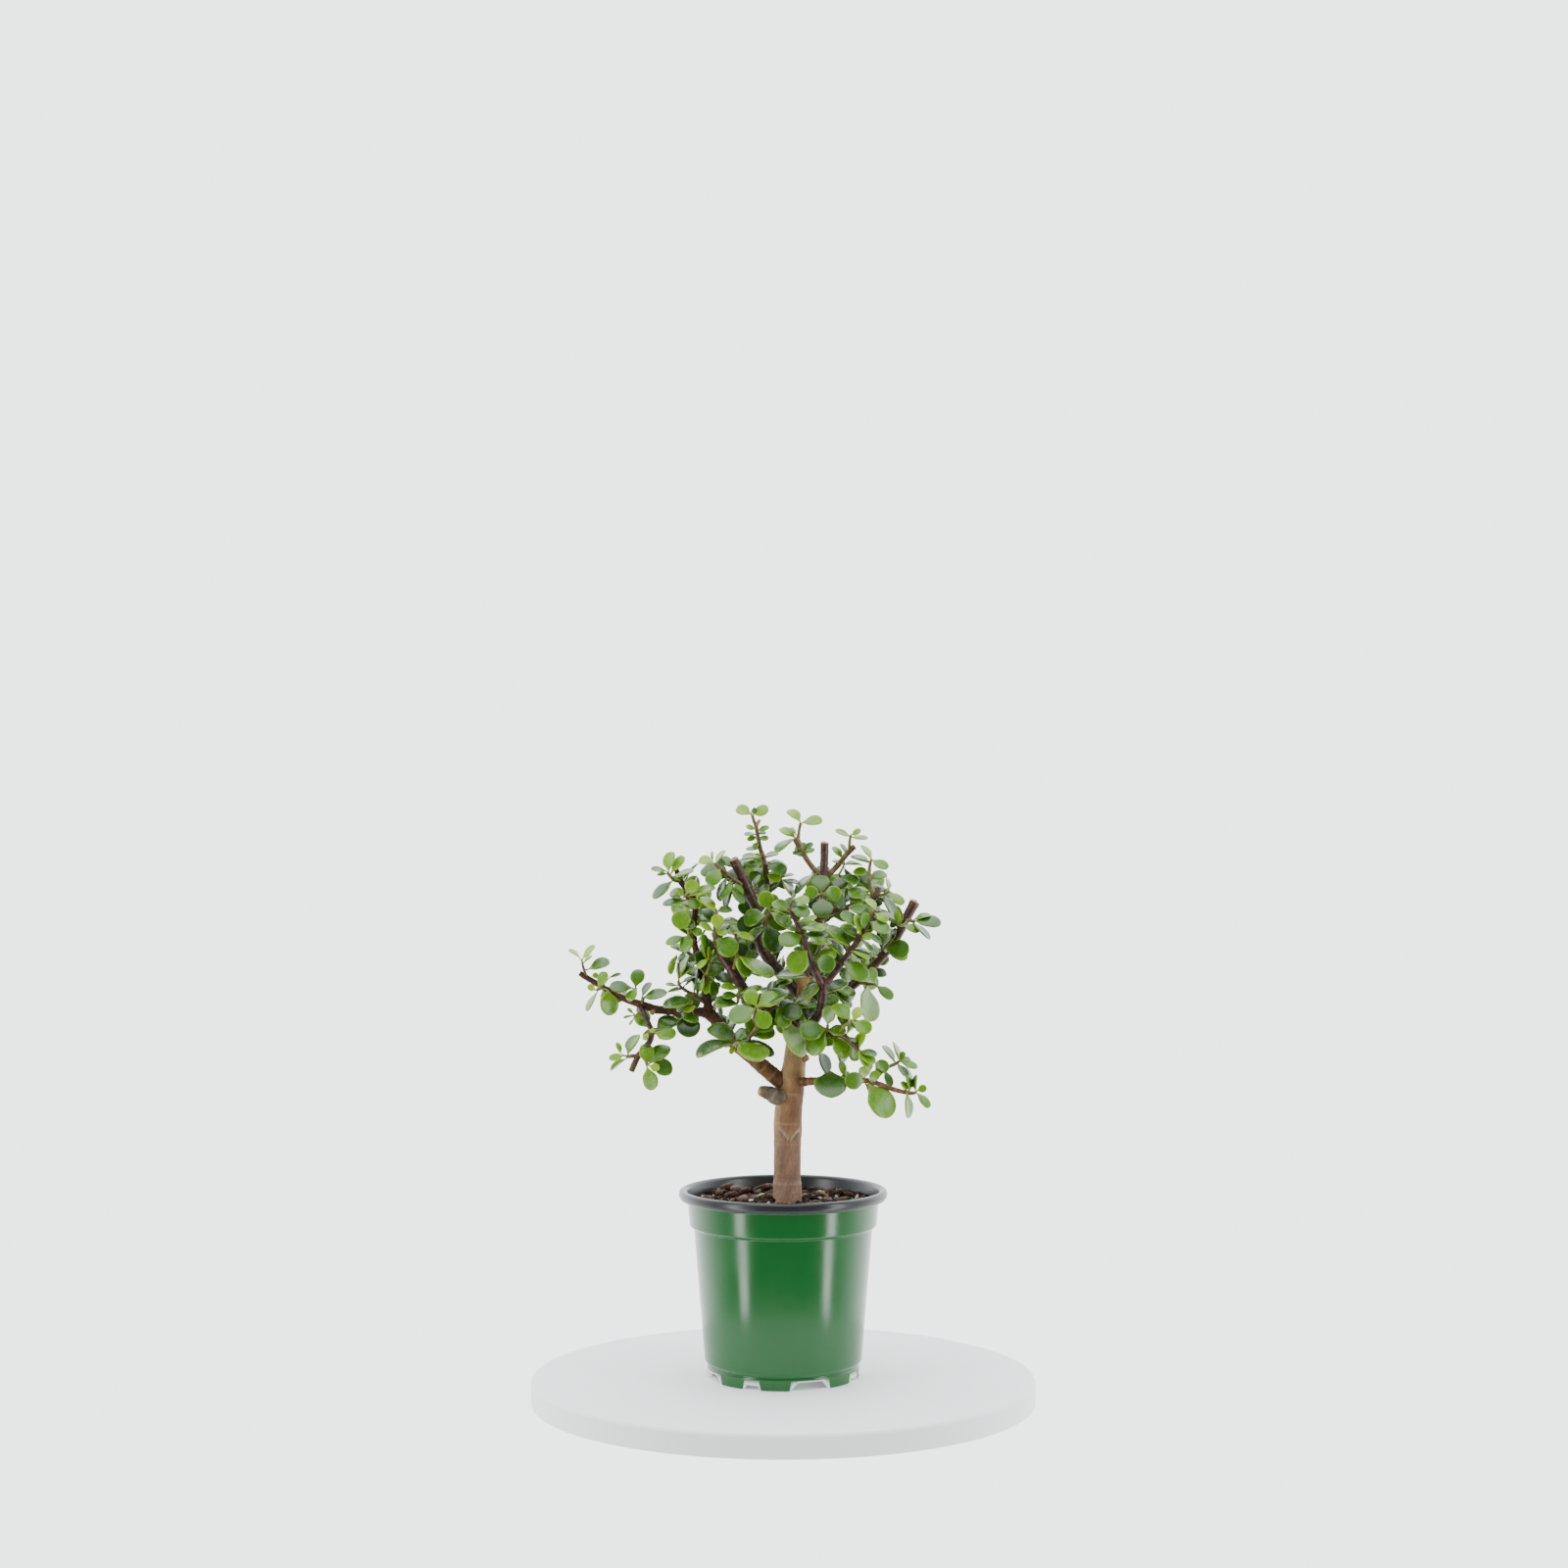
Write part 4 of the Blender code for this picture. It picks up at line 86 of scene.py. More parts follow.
# stem name: (piece it belongs to, stem it grows from, bark kind, points)
# each point is (x, z, y, radius)
STEMS = {
    "trunk": ("trunk", None, "bark", [
        (2.1, 62, 0, 6.8), (2.1, 80, 0, 7.3), (2.1, 92, 0, 7.4),
        (2.1, 98.6, 0, 7.4), (2.1, 101.5, 0, 7.0), (2.2, 112, 0, 6.9),
        (2.3, 121.5, 0, 7.0), (2.4, 125, 0, 7.3), (2.5, 133, 0, 7.2),
        (3.3, 145, 0, 7.1), (4.6, 153, 0, 6.6), (5.6, 160, 0, 6.0),
        (6.5, 168, .5, 5.9), (8.3, 178, 1, 5.2), (10.2, 188, 1.5, 4.6),
        (11.3, 197, 2, 4.4), (11.3, 206, 2, 3.9)]),
    "dead_stub": ("trunk", "trunk", "dead", [
        (1.5, 145, -2, 3.2), (-3.8, 144.0, -4, 4.3), (-6.5, 145.6, -4.5, 3.9),
        (-9.8, 146.6, -5, 3.2), (-12.3, 147.1, -5, 2.5)]),
    "knob": ("trunk", "trunk", "bark", [
        (9, 163.6, -1, 2.4), (12.9, 164.2, -1.5, 1.7)]),

    "branch_left": ("branch_left", "trunk", "old", [
        (1, 150, 0, 4.4), (-4, 154, -1, 4.2), (-10.5, 159.5, -2, 4.0),
        (-17, 165, -3, 3.6), (-24, 170.5, -3.5, 3.3), (-29, 176.5, -3.5, 3.2),
        (-33.5, 182, -3.5, 3.0), (-38, 186.5, -3.5, 3.2),
        (-42, 187.8, -3.5, 2.6), (-48, 187.8, -3.5, 2.0),
        (-55, 188, -3.5, 1.8), (-62, 188.8, -3.5, 2.2),
        (-66, 189.2, -3.5, 2.2), (-72, 191.2, -3.5, 2.0),
        (-79, 193.5, -3, 1.8), (-86, 196.3, -3, 1.6), (-92, 199.8, -2.5, 1.5),
        (-97, 202.8, -2, 1.5), (-101, 205.2, -2, 1.5),
        (-105.3, 207.9, -2, 1.4)]),
    "scar_left": ("branch_left", "branch_left", "cut", [
        (-66.2, 189, -3.5, 1.6), (-68.2, 187.2, -5, 1.3)]),
    "branch_left_up": ("branch_left_up", "branch_left", "old", [
        (-39, 187, -3.5, 2.6), (-39, 192, -4, 2.3), (-39.8, 196, -4.5, 2.1),
        (-41, 200, -4, 1.6), (-42.3, 208, -4, 1.6), (-44.3, 216, -4, 1.7),
        (-46.2, 225, -4, 1.7), (-46.2, 233, -4, 1.6), (-45.5, 240, -4, 1.6),
        (-46.5, 247, -4, 1.5), (-50.5, 252, -3, 1.5), (-53.5, 256, -3, 1.6),
        (-55.4, 261.8, -3, 1.3)]),
    "branch_left_mid": ("branch_left_mid", "trunk", "maroon", [
        (7, 182, -1, 3), (0, 186, -4, 2.9), (-8, 190.5, -6, 2.8),
        (-15, 195, -8, 2.8), (-19.5, 198.5, -9, 2.8), (-24.5, 206, -9, 2.7),
        (-29, 213, -9, 2.4), (-33.5, 219, -8, 1.8)]),
    "branch_topleft": ("branch_topleft", "trunk", "dark", [
        (9, 196, 3, 3.2), (3, 203, 6, 3.2), (-4, 210.5, 8, 3.1),
        (-9, 217.5, 8, 3.1), (-12.5, 224.5, 6, 3.0), (-14, 233, 2, 2.8),
        (-14, 241, -3, 2.7), (-17, 248, -5, 2.7), (-20.5, 256, -6, 2.7),
        (-23.3, 262, -6.5, 2.6), (-25.8, 267, -7, 2.5)]),
    "leader": ("leader", "trunk", "dark", [
        (11.5, 203, 3, 3.4), (14.5, 211, 6, 3.1), (17, 220, 8, 2.9),
        (18, 230, 8, 2.8), (19, 241, 5, 2.8), (20.3, 251, 2, 2.8),
        (20.7, 257, 1, 3.2), (21, 262, 1, 2.2), (21.3, 268, 1, 2.2),
        (21.4, 275.5, 1, 2.3)]),
    "branch_front": ("branch_front", "trunk", "maroon", [
        (9, 176, -4, 2.8), (15, 182, -9, 2.5), (19, 188, -12, 2.3),
        (20.3, 195, -14, 2.2), (20.8, 201, -15, 2.3), (21.5, 206, -15, 1.2)]),
    "branch_right": ("branch_right", "trunk", "maroon", [
        (11, 187, 3, 3), (18, 192.5, 5, 2.8), (26, 197, 6, 2.6),
        (33, 199.8, 6, 2.6), (38.5, 203.5, 4, 2.5), (44.5, 209.3, 2, 2.4),
        (50.5, 215.8, 0, 2.3), (56, 222.5, -2, 2.2), (60, 228.8, -3, 2.2),
        (63, 235, -3, 2.3), (65.8, 240.3, -3, 2.5), (68.3, 245, -3, 2.8)]),

    "branch_left_down": ("branch_left_down", "branch_left", "maroon", [
        (-74, 190.5, -4, 1.5), (-71.5, 185, -7, 1.4), (-68.5, 179, -8, 1.4),
        (-68.5, 174, -8, 1.5), (-71.5, 169, -8, 1.6), (-75, 165, -8, 1.6),
        (-78.6, 157.2, -8, 1.5)]),
    "left_down_side": ("branch_left_down", "branch_left_down", "olive", [
        (-75.2, 165.3, -8, 1.2), (-81, 164.7, -9, .9)]),
    "left_down_low": ("branch_left_down", "branch_left_down", "green", [
        (-72.5, 168.5, -8.5, .9), (-70.6, 160.3, -11, .7)]),
    "left_down_sprig": ("branch_left_down", "branch_left_down", "green", [
        (-71, 184, -7, .7), (-77.3, 186.3, -9, .5)]),

    "branch_low_right": ("branch_low_right", "trunk", "old", [
        (9, 151.5, -3, 2.3), (15, 152, -9, 2.1), (24, 152, -14, 1.9),
        (34, 152.3, -18, 1.7), (44, 152.2, -20, 1.4), (51, 150, -20, 1.3),
        (58, 147.5, -19, 1.2), (66, 145.8, -18, 1.0), (69, 146.3, -18, .7)]),
    "low_right_up": ("branch_low_right", "branch_low_right", "green", [
        (46, 152, -20, 1.0), (53.5, 158.7, -17, .9), (58, 161, -16, .9),
        (60.3, 162.5, -16, .6)]),
    "branch_front_low": ("branch_front_low", "trunk", "maroon", [
        (8, 169, -4, 2.2), (14, 173, -11, 2.0), (20, 176, -15, 1.9),
        (27, 176.8, -18, 1.7), (32, 175, -20, 1.4), (37, 170.5, -22, 1.2),
        (39, 167, -23, 1)]),
    "front_low_up": ("branch_front_low", "branch_front_low", "green", [
        (29, 177, -18.5, 1.1), (32, 181, -22, .9), (35.5, 183, -24, .8)]),
    "front_low_up2": ("branch_front_low", "branch_front_low", "green", [
        (22.5, 176.5, -16.5, 1.0), (23, 181, -20, .8)]),
    "branch_upper_right": ("branch_upper_right", "leader", "maroon", [
        (18.5, 236, 6, 1.8), (26, 240, 4, 1.6), (35, 242.5, 2, 1.5),
        (42, 244.5, 0, 1.5), (47, 246.7, -1, 1.5), (49.6, 252.3, -1, 1.4)]),
    "upper_right_up": ("branch_upper_right", "branch_upper_right", "green", [
        (46.3, 247, -1, 1.1), (44.7, 255, -1, 1.0), (44.6, 262, -1, .9),
        (45.6, 267, -1, .7)]),
    "upper_right_side": ("branch_upper_right", "branch_upper_right", "green", [
        (47.5, 247.4, -1, .8), (52.5, 249, -1, .6), (55.3, 250.6, -1, .5)]),

    "shoot_left_tip": ("shoot_left_tip", "branch_left", "green", [
        (-101.5, 205.5, -2, .8), (-103.2, 210, -3, .7),
        (-104.2, 214.5, -3.5, .5)]),
    "shoot_left_a": ("shoot_left_a", "branch_left", "green", [
        (-93.5, 200.6, -2.5, .9), (-95, 200, -5, .9),
        (-96.3, 199.3, -6.5, .8)]),
    "shoot_left_b": ("shoot_left_b", "branch_left", "green", [
        (-78, 193.4, -3, 1.0), (-77, 197, -5, .9), (-76.2, 199.8, -6.5, .8)]),
    "shoot_left_c": ("shoot_left_c", "branch_left", "green", [
        (-73, 191.5, -3.5, 1.0), (-72.6, 195, -6, .9)]),
    "shoot_left_spur": ("shoot_left_spur", "branch_left", "olive", [
        (-47, 187.8, -3.5, 1.3), (-47.6, 189, -7, 1.1),
        (-48, 191, -9, .8)]),
    "shoot_lu_twig": ("shoot_lu_twig", "branch_left_up", "olive", [
        (-40, 192.5, -4, 1.2), (-46, 196.3, -6, .95),
        (-52.8, 200.6, -7, .8), (-54.3, 204, -7, .7)]),
    "shoot_lu_low": ("shoot_lu_low", "branch_left_up", "green", [
        (-41.6, 202.5, -4, 1.1), (-40, 206, -8, .9), (-38.5, 211, -9.5, .8),
        (-38.2, 216, -9.5, .6)]),
    "shoot_lu_mid": ("shoot_lu_mid", "branch_left_up", "green", [
        (-46, 224, -4, 1.0), (-48, 227, -8.5, .9), (-49.5, 233, -9.5, .8),
        (-49.5, 240, -9.5, .6)]),
    "shoot_lu_high": ("shoot_lu_high", "branch_left_up", "green", [
        (-46.6, 246, -4, 1.0), (-49.2, 246.5, -7, .9), (-51, 248, -8.5, .7)]),
    "shoot_lu_top": ("shoot_lu_top", "branch_left_up", "green", [
        (-53.3, 255.6, -3, 1.2), (-56.5, 256.2, -5.5, 1.0),
        (-60, 260, -6.5, .8)]),
    "shoot_lm_top": ("shoot_lm_top", "branch_left_mid", "olive", [
        (-33.5, 219, -8, 1.5), (-35.3, 225, -11, 1.2),
        (-35.3, 233, -11.5, 1.0), (-35.2, 239.5, -12, .9)]),
    "shoot_lm_spur": ("shoot_lm_spur", "branch_left_mid", "green", [
        (-21.5, 201, -9, 1.1), (-22.8, 198, -13, .9),
        (-23.5, 192.5, -14.5, .7)]),
    "shoot_lm_twig": ("shoot_lm_twig", "branch_left_mid", "olive", [
        (-26, 208.5, -9, 1.1), (-24.3, 216, -13, .9), (-24.5, 223, -13, .8),
        (-25, 229, -12.5, .6)]),
    "shoot_tl_side": ("shoot_tl_side", "branch_topleft", "olive", [
        (-20.5, 253, -6, 1.4), (-27, 257.5, -9, 1.2),
        (-31.5, 261.3, -10, 1.1), (-35.5, 264.6, -10.5, .9)]),
    "shoot_c4": ("shoot_c4", "branch_topleft", "olive", [
        (-13.6, 232, 1, 1.3), (-9.5, 233.5, -7, 1), (-7, 240, -13, .8)]),
    "shoot_top": ("shoot_top", "branch_topleft", "olive", [
        (-14, 238, -1, 1.6), (-8.5, 246, 2, 1.5), (-8.3, 253, 2, 1.5),
        (-9, 260, 1, 1.5), (-10, 267, 0, 1.3), (-11.8, 272, 0, 1.2),
        (-13, 278, 0, 1.1), (-14, 283.5, 0, 1.0), (-15.3, 287, 0, .9),
        (-16.2, 290, 0, .7)]),
    "top_stub": ("shoot_top", "shoot_top", "cut", [
        (-13.8, 284, 0, 1.0), (-12.3, 287.3, 0, .9)]),
    "top_side": ("shoot_top", "shoot_top", "green", [
        (-8.3, 251.5, 2, 1.0), (-4, 254.5, 1, .9), (-1, 256.6, 0, .8)]),
    "shoot_arm_left": ("shoot_arm_left", "leader", "olive", [
        (20.4, 256.5, 1, 1.6), (14.5, 263.5, -1, 1.4), (10.5, 269.5, -2, 1.4),
        (8.3, 274, -2, 1.8), (6.4, 278, -2, 1.9)]),
    "arm_left_twig": ("shoot_arm_left", "shoot_arm_left", "green", [
        (7.6, 276.3, -2, 1.0), (8.2, 281.7, -2, .8), (9, 285.6, -2, .8)]),
    "shoot_arm_right": ("shoot_arm_right", "leader", "olive", [
        (21.2, 256.5, 1.5, 1.7), (28, 263.5, 3, 1.5), (32, 268.5, 3, 1.4),
        (35.5, 272.3, 3, 1.5), (37, 273.5, 3, 1.4)]),
    "arm_right_twig": ("shoot_arm_right", "shoot_arm_right", "green", [
        (34, 270.8, 3, .8), (34.4, 276, 2, .8), (35, 279.5, 2, .7)]),
    "arm_right_down": ("shoot_arm_right", "shoot_arm_right", "green", [
        (31, 267, 3.5, .6), (31.2, 263.5, 1.5, .6), (28.5, 258.3, 1, .6)]),
    "shoot_front_a": ("shoot_front_a", "branch_front", "maroon", [
        (20.7, 201, -15, 1.9), (17, 208, -17, 1.7), (14.3, 214.5, -18, 1.6),
        (12.2, 221, -19, 1.5), (10, 228, -19.5, 1.4), (7, 234, -20, 1.2),
        (3.3, 241, -20.5, 1.0), (4.8, 246, -19, .6)]),
    "front_a_side": ("shoot_front_a", "shoot_front_a", "maroon", [
        (14, 215, -18, .9), (13, 210, -20, .7), (13, 206, -20.5, .6)]),
    "shoot_front_b": ("shoot_front_b", "branch_front", "maroon", [
        (21, 201, -15, 1.9), (26, 207.5, -15, 1.7), (30.5, 213.5, -15, 1.6),
        (35, 220, -14.5, 1.5), (40, 226.5, -14, 1.4), (43, 232, -13.5, 1.3),
        (46.3, 237.8, -13, 1.0), (48, 240.5, -13, .7)]),
    "shoot_c5": ("shoot_c5", "leader", "olive", [
        (19, 240, 4, 1.2), (19.5, 244, -4, 1), (19.8, 248.7, -9, .8)]),
    "shoot_right_end": ("shoot_right_end", "branch_right", "green", [
        (63.2, 235, -3, 1.1), (65.5, 235.2, -7.5, .9), (68, 234.5, -9, .8)]),
    "right_end_low": ("shoot_right_end", "shoot_right_end", "green", [
        (65, 235.2, -7, .8), (61.5, 232.5, -9.5, .7), (58.5, 234, -10, .6)]),
    "shoot_right_mid": ("shoot_right_mid", "branch_right", "green", [
        (53.3, 219.2, -1, 1.1), (52.6, 220.8, -6, .9), (56.3, 225, -8, .7)]),
    "shoot_right_twig": ("shoot_right_twig", "branch_right", "green", [
        (38, 203, 4, 1.1), (44, 202.3, 0, .9), (48.3, 201.9, -1, .6)]),
    "shoot_right_inner": ("shoot_right_inner", "branch_right", "green", [
        (27, 197.4, 6, 1.1), (26.5, 199, 1, .9), (25.5, 201, -1, .7)]),
    "shoot_center": ("shoot_center", "branch_left", "olive", [
        (-19.5, 167, -3.2, 1.3), (-17.7, 174, -14, 1.0),
        (-13.9, 180.3, -18, .9), (-15.3, 184, -20, .8),
        (-13.8, 190, -23, .7)]),
    "shoot_low_left": ("shoot_low_left", "branch_left", "olive", [
        (-24, 170.5, -3.5, 1.2), (-25, 171, -12, 1.0),
        (-23.8, 172.8, -16, .8)]),
    "shoot_c2": ("shoot_c2", "trunk", "olive", [
        (6.8, 171, .5, 1.3), (2.5, 181, -13, 1.1), (-3, 189, -17, .9)]),
    "shoot_c3": ("shoot_c3", "trunk", "olive", [
        (10.9, 195, 2, 1.2), (8, 193, -8, 1.0), (6, 191.5, -14, .7)]),
    "shoot_c6": ("shoot_c6", "branch_topleft", "olive", [
        (1, 205, 7, 1.2), (-2, 202.3, 0, .8), (-3.5, 201.5, -3, .7)]),
}

# leaves by piece: (base x, base z, tip x, tip z, width seen, tone, flags)
# tone 0 is the darkest old leaf and 1 the palest young one.  Flags: B shows
# its underside, f reaches forwards, k reaches back, a arches over.
LEAVES = {
    "shoot_left_tip": [
        (-105, 215.5, -111.3, 219.9, 1.6, .8, "a"),
        (-103.8, 215.5, -97.3, 222.1, 3.2, .8, ""),
        (-103, 213.5, -99, 217.3, 1.8, .7, ""),
        (-100.8, 209.8, -89.6, 213.2, 5.2, .25, "a")],
    "shoot_left_a": [
        (-95.5, 205, -98.3, 207.8, 3, .7, ""),
        (-95.8, 200.9, -91.2, 208.2, 5.6, .55, ""),
        (-90, 205.7, -84, 207.1, 1.8, .2, "B"),
        (-97, 199, -101.3, 201.3, 3.4, .8, ""),
        (-96.2, 198.2, -101.7, 188.2, 3, .5, ""),
        (-91.1, 199.4, -90.2, 185.9, 9.3, .6, "")],
    "shoot_left_b": [
        (-78, 200.2, -89.7, 200.8, 5.8, .15, ""),
        (-76.5, 200.5, -74.5, 210, 7.6, .3, ""),
        (-75.4, 200.2, -80.4, 193.6, 5.2, .5, "")],
    "shoot_left_c": [
        (-72.7, 195.2, -60.2, 197.3, 4.8, .2, ""),
        (-73, 195.8, -68.5, 203.2, 3.6, .3, "k")],
    "branch_left_down": [
        (-77.5, 187, -80.8, 189.5, 1.3, .4, ""),
        (-78, 186, -82.7, 184.7, .9, .4, ""),
        (-77.5, 184, -79.5, 181, 1, .5, ""),
        (-69.6, 179.4, -74.8, 188.2, 8.8, .45, ""),
        (-69.5, 179, -66.5, 177.5, 2.5, .95, ""),
        (-70, 177, -72, 173.2, 3, .85, ""),
        (-66, 177.5, -54.5, 184.5, 7.5, .3, "a"),
        (-66.5, 176.8, -55.8, 175.4, 6, .5, ""),
        (-80.5, 165.8, -75, 176.2, 5.5, .45, ""),
        (-84.2, 166.1, -86, 172.1, 2.4, .6, ""),
        (-82.6, 165.1, -90.2, 163.3, 3.5, .6, ""),
        (-81.6, 163.5, -89.4, 157.8, 3, .4, "B"),
        (-70.8, 160.5, -71, 171.3, 8, .5, ""),
        (-69.5, 161, -59.6, 170.4, 8, .3, ""),
        (-69, 160, -57.2, 158.3, 8.5, .3, "k"),
        (-69.5, 160, -64, 158.6, 4.4, .85, "f"),
        (-70.5, 159.5, -68.3, 147.2, 7.6, .55, "")],
    "shoot_left_spur": [
        (-47.5, 187.5, -50.3, 174.8, 12.5, .05, "f"),
        (-53, 187.3, -44.2, 182.5, 4.5, .35, "f"),
        (-46.5, 193.9, -62.2, 190.5, 5.2, .12, ""),
        (-45.2, 190.9, -51, 188, 3.5, .75, "f"),
        (-48, 192, -55, 188, 3, .35, "f")],
    "shoot_lu_twig": [
        (-44.2, 196, -44.6, 202.5, 2, .3, "f"),
        (-52.5, 199.6, -60.2, 198.1, 1.8, .2, "B"),
        (-55, 201.5, -61, 202, 1.5, .5, ""),
        (-52.5, 203, -46.4, 205.8, 1.8, .2, ""),
        (-51, 201.5, -46.5, 205, 2, .3, "B"),
        (-55, 217.5, -58.5, 207.3, 3.4, .5, "B"),
        (-54.3, 204.5, -49, 217, 4.5, .45, ""),
        (-54, 213, -51, 219, 3, .15, "k"),
        (-54.2, 205, -45.5, 213.5, 3.5, .4, "k")],
    "shoot_lu_low": [
                (-41, 205.5, -32.5, 211.5, 6.5, .5, ""),
        (-38, 204.7, -40.2, 197, 4.2, .65, ""),
        (-36.5, 205.5, -36, 196, 5, .3, "f"),
        (-41, 207, -42.5, 198.5, 2.5, .45, ""),
        (-38.5, 215.5, -44.2, 210.5, 3.2, .75, ""),
        (-38.5, 215, -38.8, 221.5, 1.4, .85, ""),
        (-37.8, 215, -35.6, 220, 2, .8, ""),
        (-40.3, 216, -42, 228, 3.6, .4, ""),
        (-37.6, 218, -39, 226, 4, .3, "k")],
    "shoot_lu_mid": [
        (-49.5, 241.5, -55.5, 231.5, 10, .45, "f"),
        (-50.5, 231, -45.5, 232, 2, .4, ""),
        (-47.5, 229.5, -41.8, 229, 4.5, .35, ""),
        (-50.8, 226.8, -60.8, 222.8, 4, .4, ""),
        (-48.8, 228.5, -51, 218.6, 7, .45, "")],
    "shoot_lu_high": [
        (-51, 247.8, -58, 250.5, 5.6, .8, ""),
        (-50.3, 248.8, -45, 255.5, 7.5, .7, ""),
        (-50.5, 245.6, -62.5, 243.2, 3.6, .2, ""),
        (-52.5, 246.6, -59, 248.3, 2, .3, "k"),
        (-50, 246, -43.5, 242, 5.4, .45, ""),
        (-48.8, 248, -35, 252, 4, .55, "f")],
    "shoot_lu_top": [
        (-59.3, 260.5, -58, 270.8, 6.5, .7, ""),
        (-58, 259.5, -51.5, 268.5, 5, .65, "k"),
        (-60, 260.5, -68.5, 261.7, 2.4, .35, ""),
        (-60, 259.5, -65.5, 258.7, 1.8, .45, ""),
        (-57.5, 257.8, -51.8, 257.5, 3, .35, ""),
        (-57, 257.6, -46.5, 260.6, 2.4, .3, "f"),
        (-57.5, 255.6, -67.2, 246.3, 5, .2, "")],
    "shoot_lm_top": [
        (-35.3, 239.8, -42, 247.3, 4.6, .8, ""),
        (-34.5, 239.8, -26.3, 241, 3.6, .5, ""),
        (-34.6, 230.5, -33.6, 238.5, 6.8, .75, "f"),
        (-33.5, 234.5, -26.5, 236, 1.4, .3, "k"),
        (-36, 229.6, -43.5, 233.5, 3, .65, ""),
        (-35, 230, -29, 228, 4, .6, ""),
        (-35.2, 225.5, -24, 218.5, 11, .35, "")],
    "shoot_lm_spur": [
        (-23, 200, -32.3, 200.6, 3, .6, "f"),
        (-23, 196.5, -31.5, 195.6, 3.6, .25, ""),
        (-23.3, 192, -35.5, 193, 5, .15, ""),
        (-23.6, 191.5, -35.3, 190.8, 2.6, .6, "k"),
        (-22.5, 197.5, -10.3, 200.3, 3, .5, "f")],
    "shoot_lm_twig": [
        (-24, 217.8, -18.3, 205.8, 7, .5, "s"),
        (-23.5, 217, -6, 205.5, 6, .45, ""),
        (-23.6, 212, -11, 206.5, 3.5, .3, "k"),
        (-25, 229, -15.5, 225, 3, .65, "")],
    "shoot_tl_side": [
        (-36.3, 264.8, -43.5, 267, 5, .75, ""),
        (-36.5, 265.5, -36.5, 271, 1.2, .5, ""),
        (-35.2, 264.2, -30, 271.5, 2.4, .7, ""),
        (-30.8, 261.5, -33.5, 267.5, 4, .1, "k"),
        (-32.5, 262, -38.5, 253.5, 8, .35, ""),
        (-29, 258, -32.8, 245, 4, .15, ""),
        (-27, 256, -31, 246, 5, .3, "f"),
        (-25, 255.5, -22.5, 246.5, 5, .4, "f"),
        (-27, 253.5, -21.5, 243.8, 4, .2, ""),
        (-26, 254, -30.5, 240.5, 4, .05, "k")],
    "shoot_c4": [
        (-10.5, 234, -24, 232, 10.5, .15, ""),
        (-8.5, 237.3, -20.5, 235.4, 9, .3, "k"),
        (-9.5, 232, -19.3, 222.5, 4.5, .25, "B"),
        (-7, 240.5, -10.5, 250.2, 8.5, .45, ""),
        (-6.5, 239.5, 4.2, 231.2, 6, .45, ""),
        (-6.5, 240.5, 2.5, 240.8, 5, .4, ""),
        (-8.5, 233.5, -3.5, 218.3, 11, .12, "")],
    "shoot_front_a": [
        (10, 227.5, -1.8, 223.5, 8.5, .35, ""),
        (13.5, 216, 5.5, 221, 3.5, .4, "k"),
        (12.3, 220, 3.5, 209, 12, .5, ""),
        (9, 229.5, 1.5, 232, 3, .5, ""),
        (3.8, 241.5, -4, 244.5, 4.6, .3, ""),
        (4, 240.8, 14, 238.5, 5.8, .3, ""),
        (5, 243, 13.4, 242, 1.6, .05, "k"),
        (9.5, 231, 21.5, 230.5, 3.4, .5, ""),
        (9.6, 230.5, 17, 234.5, 3.5, .55, ""),
        (7.5, 234.5, 17.3, 236.8, 2, .6, ""),
        (10.3, 228, 23, 227.5, 4, .03, ""),
        (12.5, 223.5, 24.5, 224, 3, .5, ""),
        (13, 206.5, -4, 206.5, 4, .15, "k"),
        (5.3, 246.5, 13.3, 244.5, 4.5, .6, ""),
        (16, 214.2, 27, 212, 9.5, .3, ""),
        (16, 216, 27.5, 218, 6, .5, "k")],
    "shoot_top": [
        (-.8, 256.3, 8, 254.3, 2, .05, ""),
        (-.8, 255.7, 5.2, 247, 2.8, .3, ""),
        (-.6, 257.5, 5.7, 259, 1.4, .2, ""),
        (-8.8, 264.5, 1.5, 259.5, 6.5, .15, ""),
        (-8.8, 265.5, 2.3, 262.3, 3, .5, "k"),
        (-9.4, 257, -18, 258.5, 6, .45, ""),
        (-8.8, 259, -1.5, 255.8, 5, .6, "f"),
        (-10.5, 264.5, -21, 262.5, 4.5, .35, ""),
        (-11, 268, -22.8, 264.6, 3.6, .25, "k"),
        (-11, 268.3, -21, 267.4, 2.6, .4, ""),
        (-10, 267.5, -2.5, 270, 2.4, .12, ""),
        (-16.5, 290, -24.2, 293.5, 5.8, .75, ""),
        (-16, 290, -7.6, 293.2, 5.8, .7, ""),
        (-16.6, 290.6, -14, 293.4, 2.2, .2, ""),
        (-14.4, 282.3, -19.4, 284, 2.6, .6, ""),
        (-13.3, 281.5, -7.2, 283.3, 2.8, .5, ""),
        (-13.5, 279.8, -20, 279.4, 1.8, .3, ""),
        (-13.3, 278.3, -18.8, 276.8, 2.8, .5, ""),
        (-13, 280, -8.8, 280.8, 2, .35, ""),
        (-12.9, 278, -7.6, 277.4, 3, .4, ""),
        (-12.6, 276, -15.5, 271.6, 3.2, .5, "f"),
        (-12.5, 272.2, -19.3, 271.7, 1.8, .35, ""),
        (-11.5, 270, -15, 267.6, 3, .6, "f")],
    "shoot_arm_left": [
        (8.9, 286, 2.4, 292.2, 5, .65, "a"),
        (9.5, 285.6, 20.4, 286.5, 5, .6, "a"),
        (6.3, 278, -1.7, 282.8, 4.4, .7, ""),
        (6.4, 279.5, 4.2, 283.6, 1.4, .6, ""),
        (6.2, 277.4, -3.4, 270.4, 3.5, .3, "a"),
        (10.5, 270.5, 4.7, 269.8, 2.4, .25, ""),
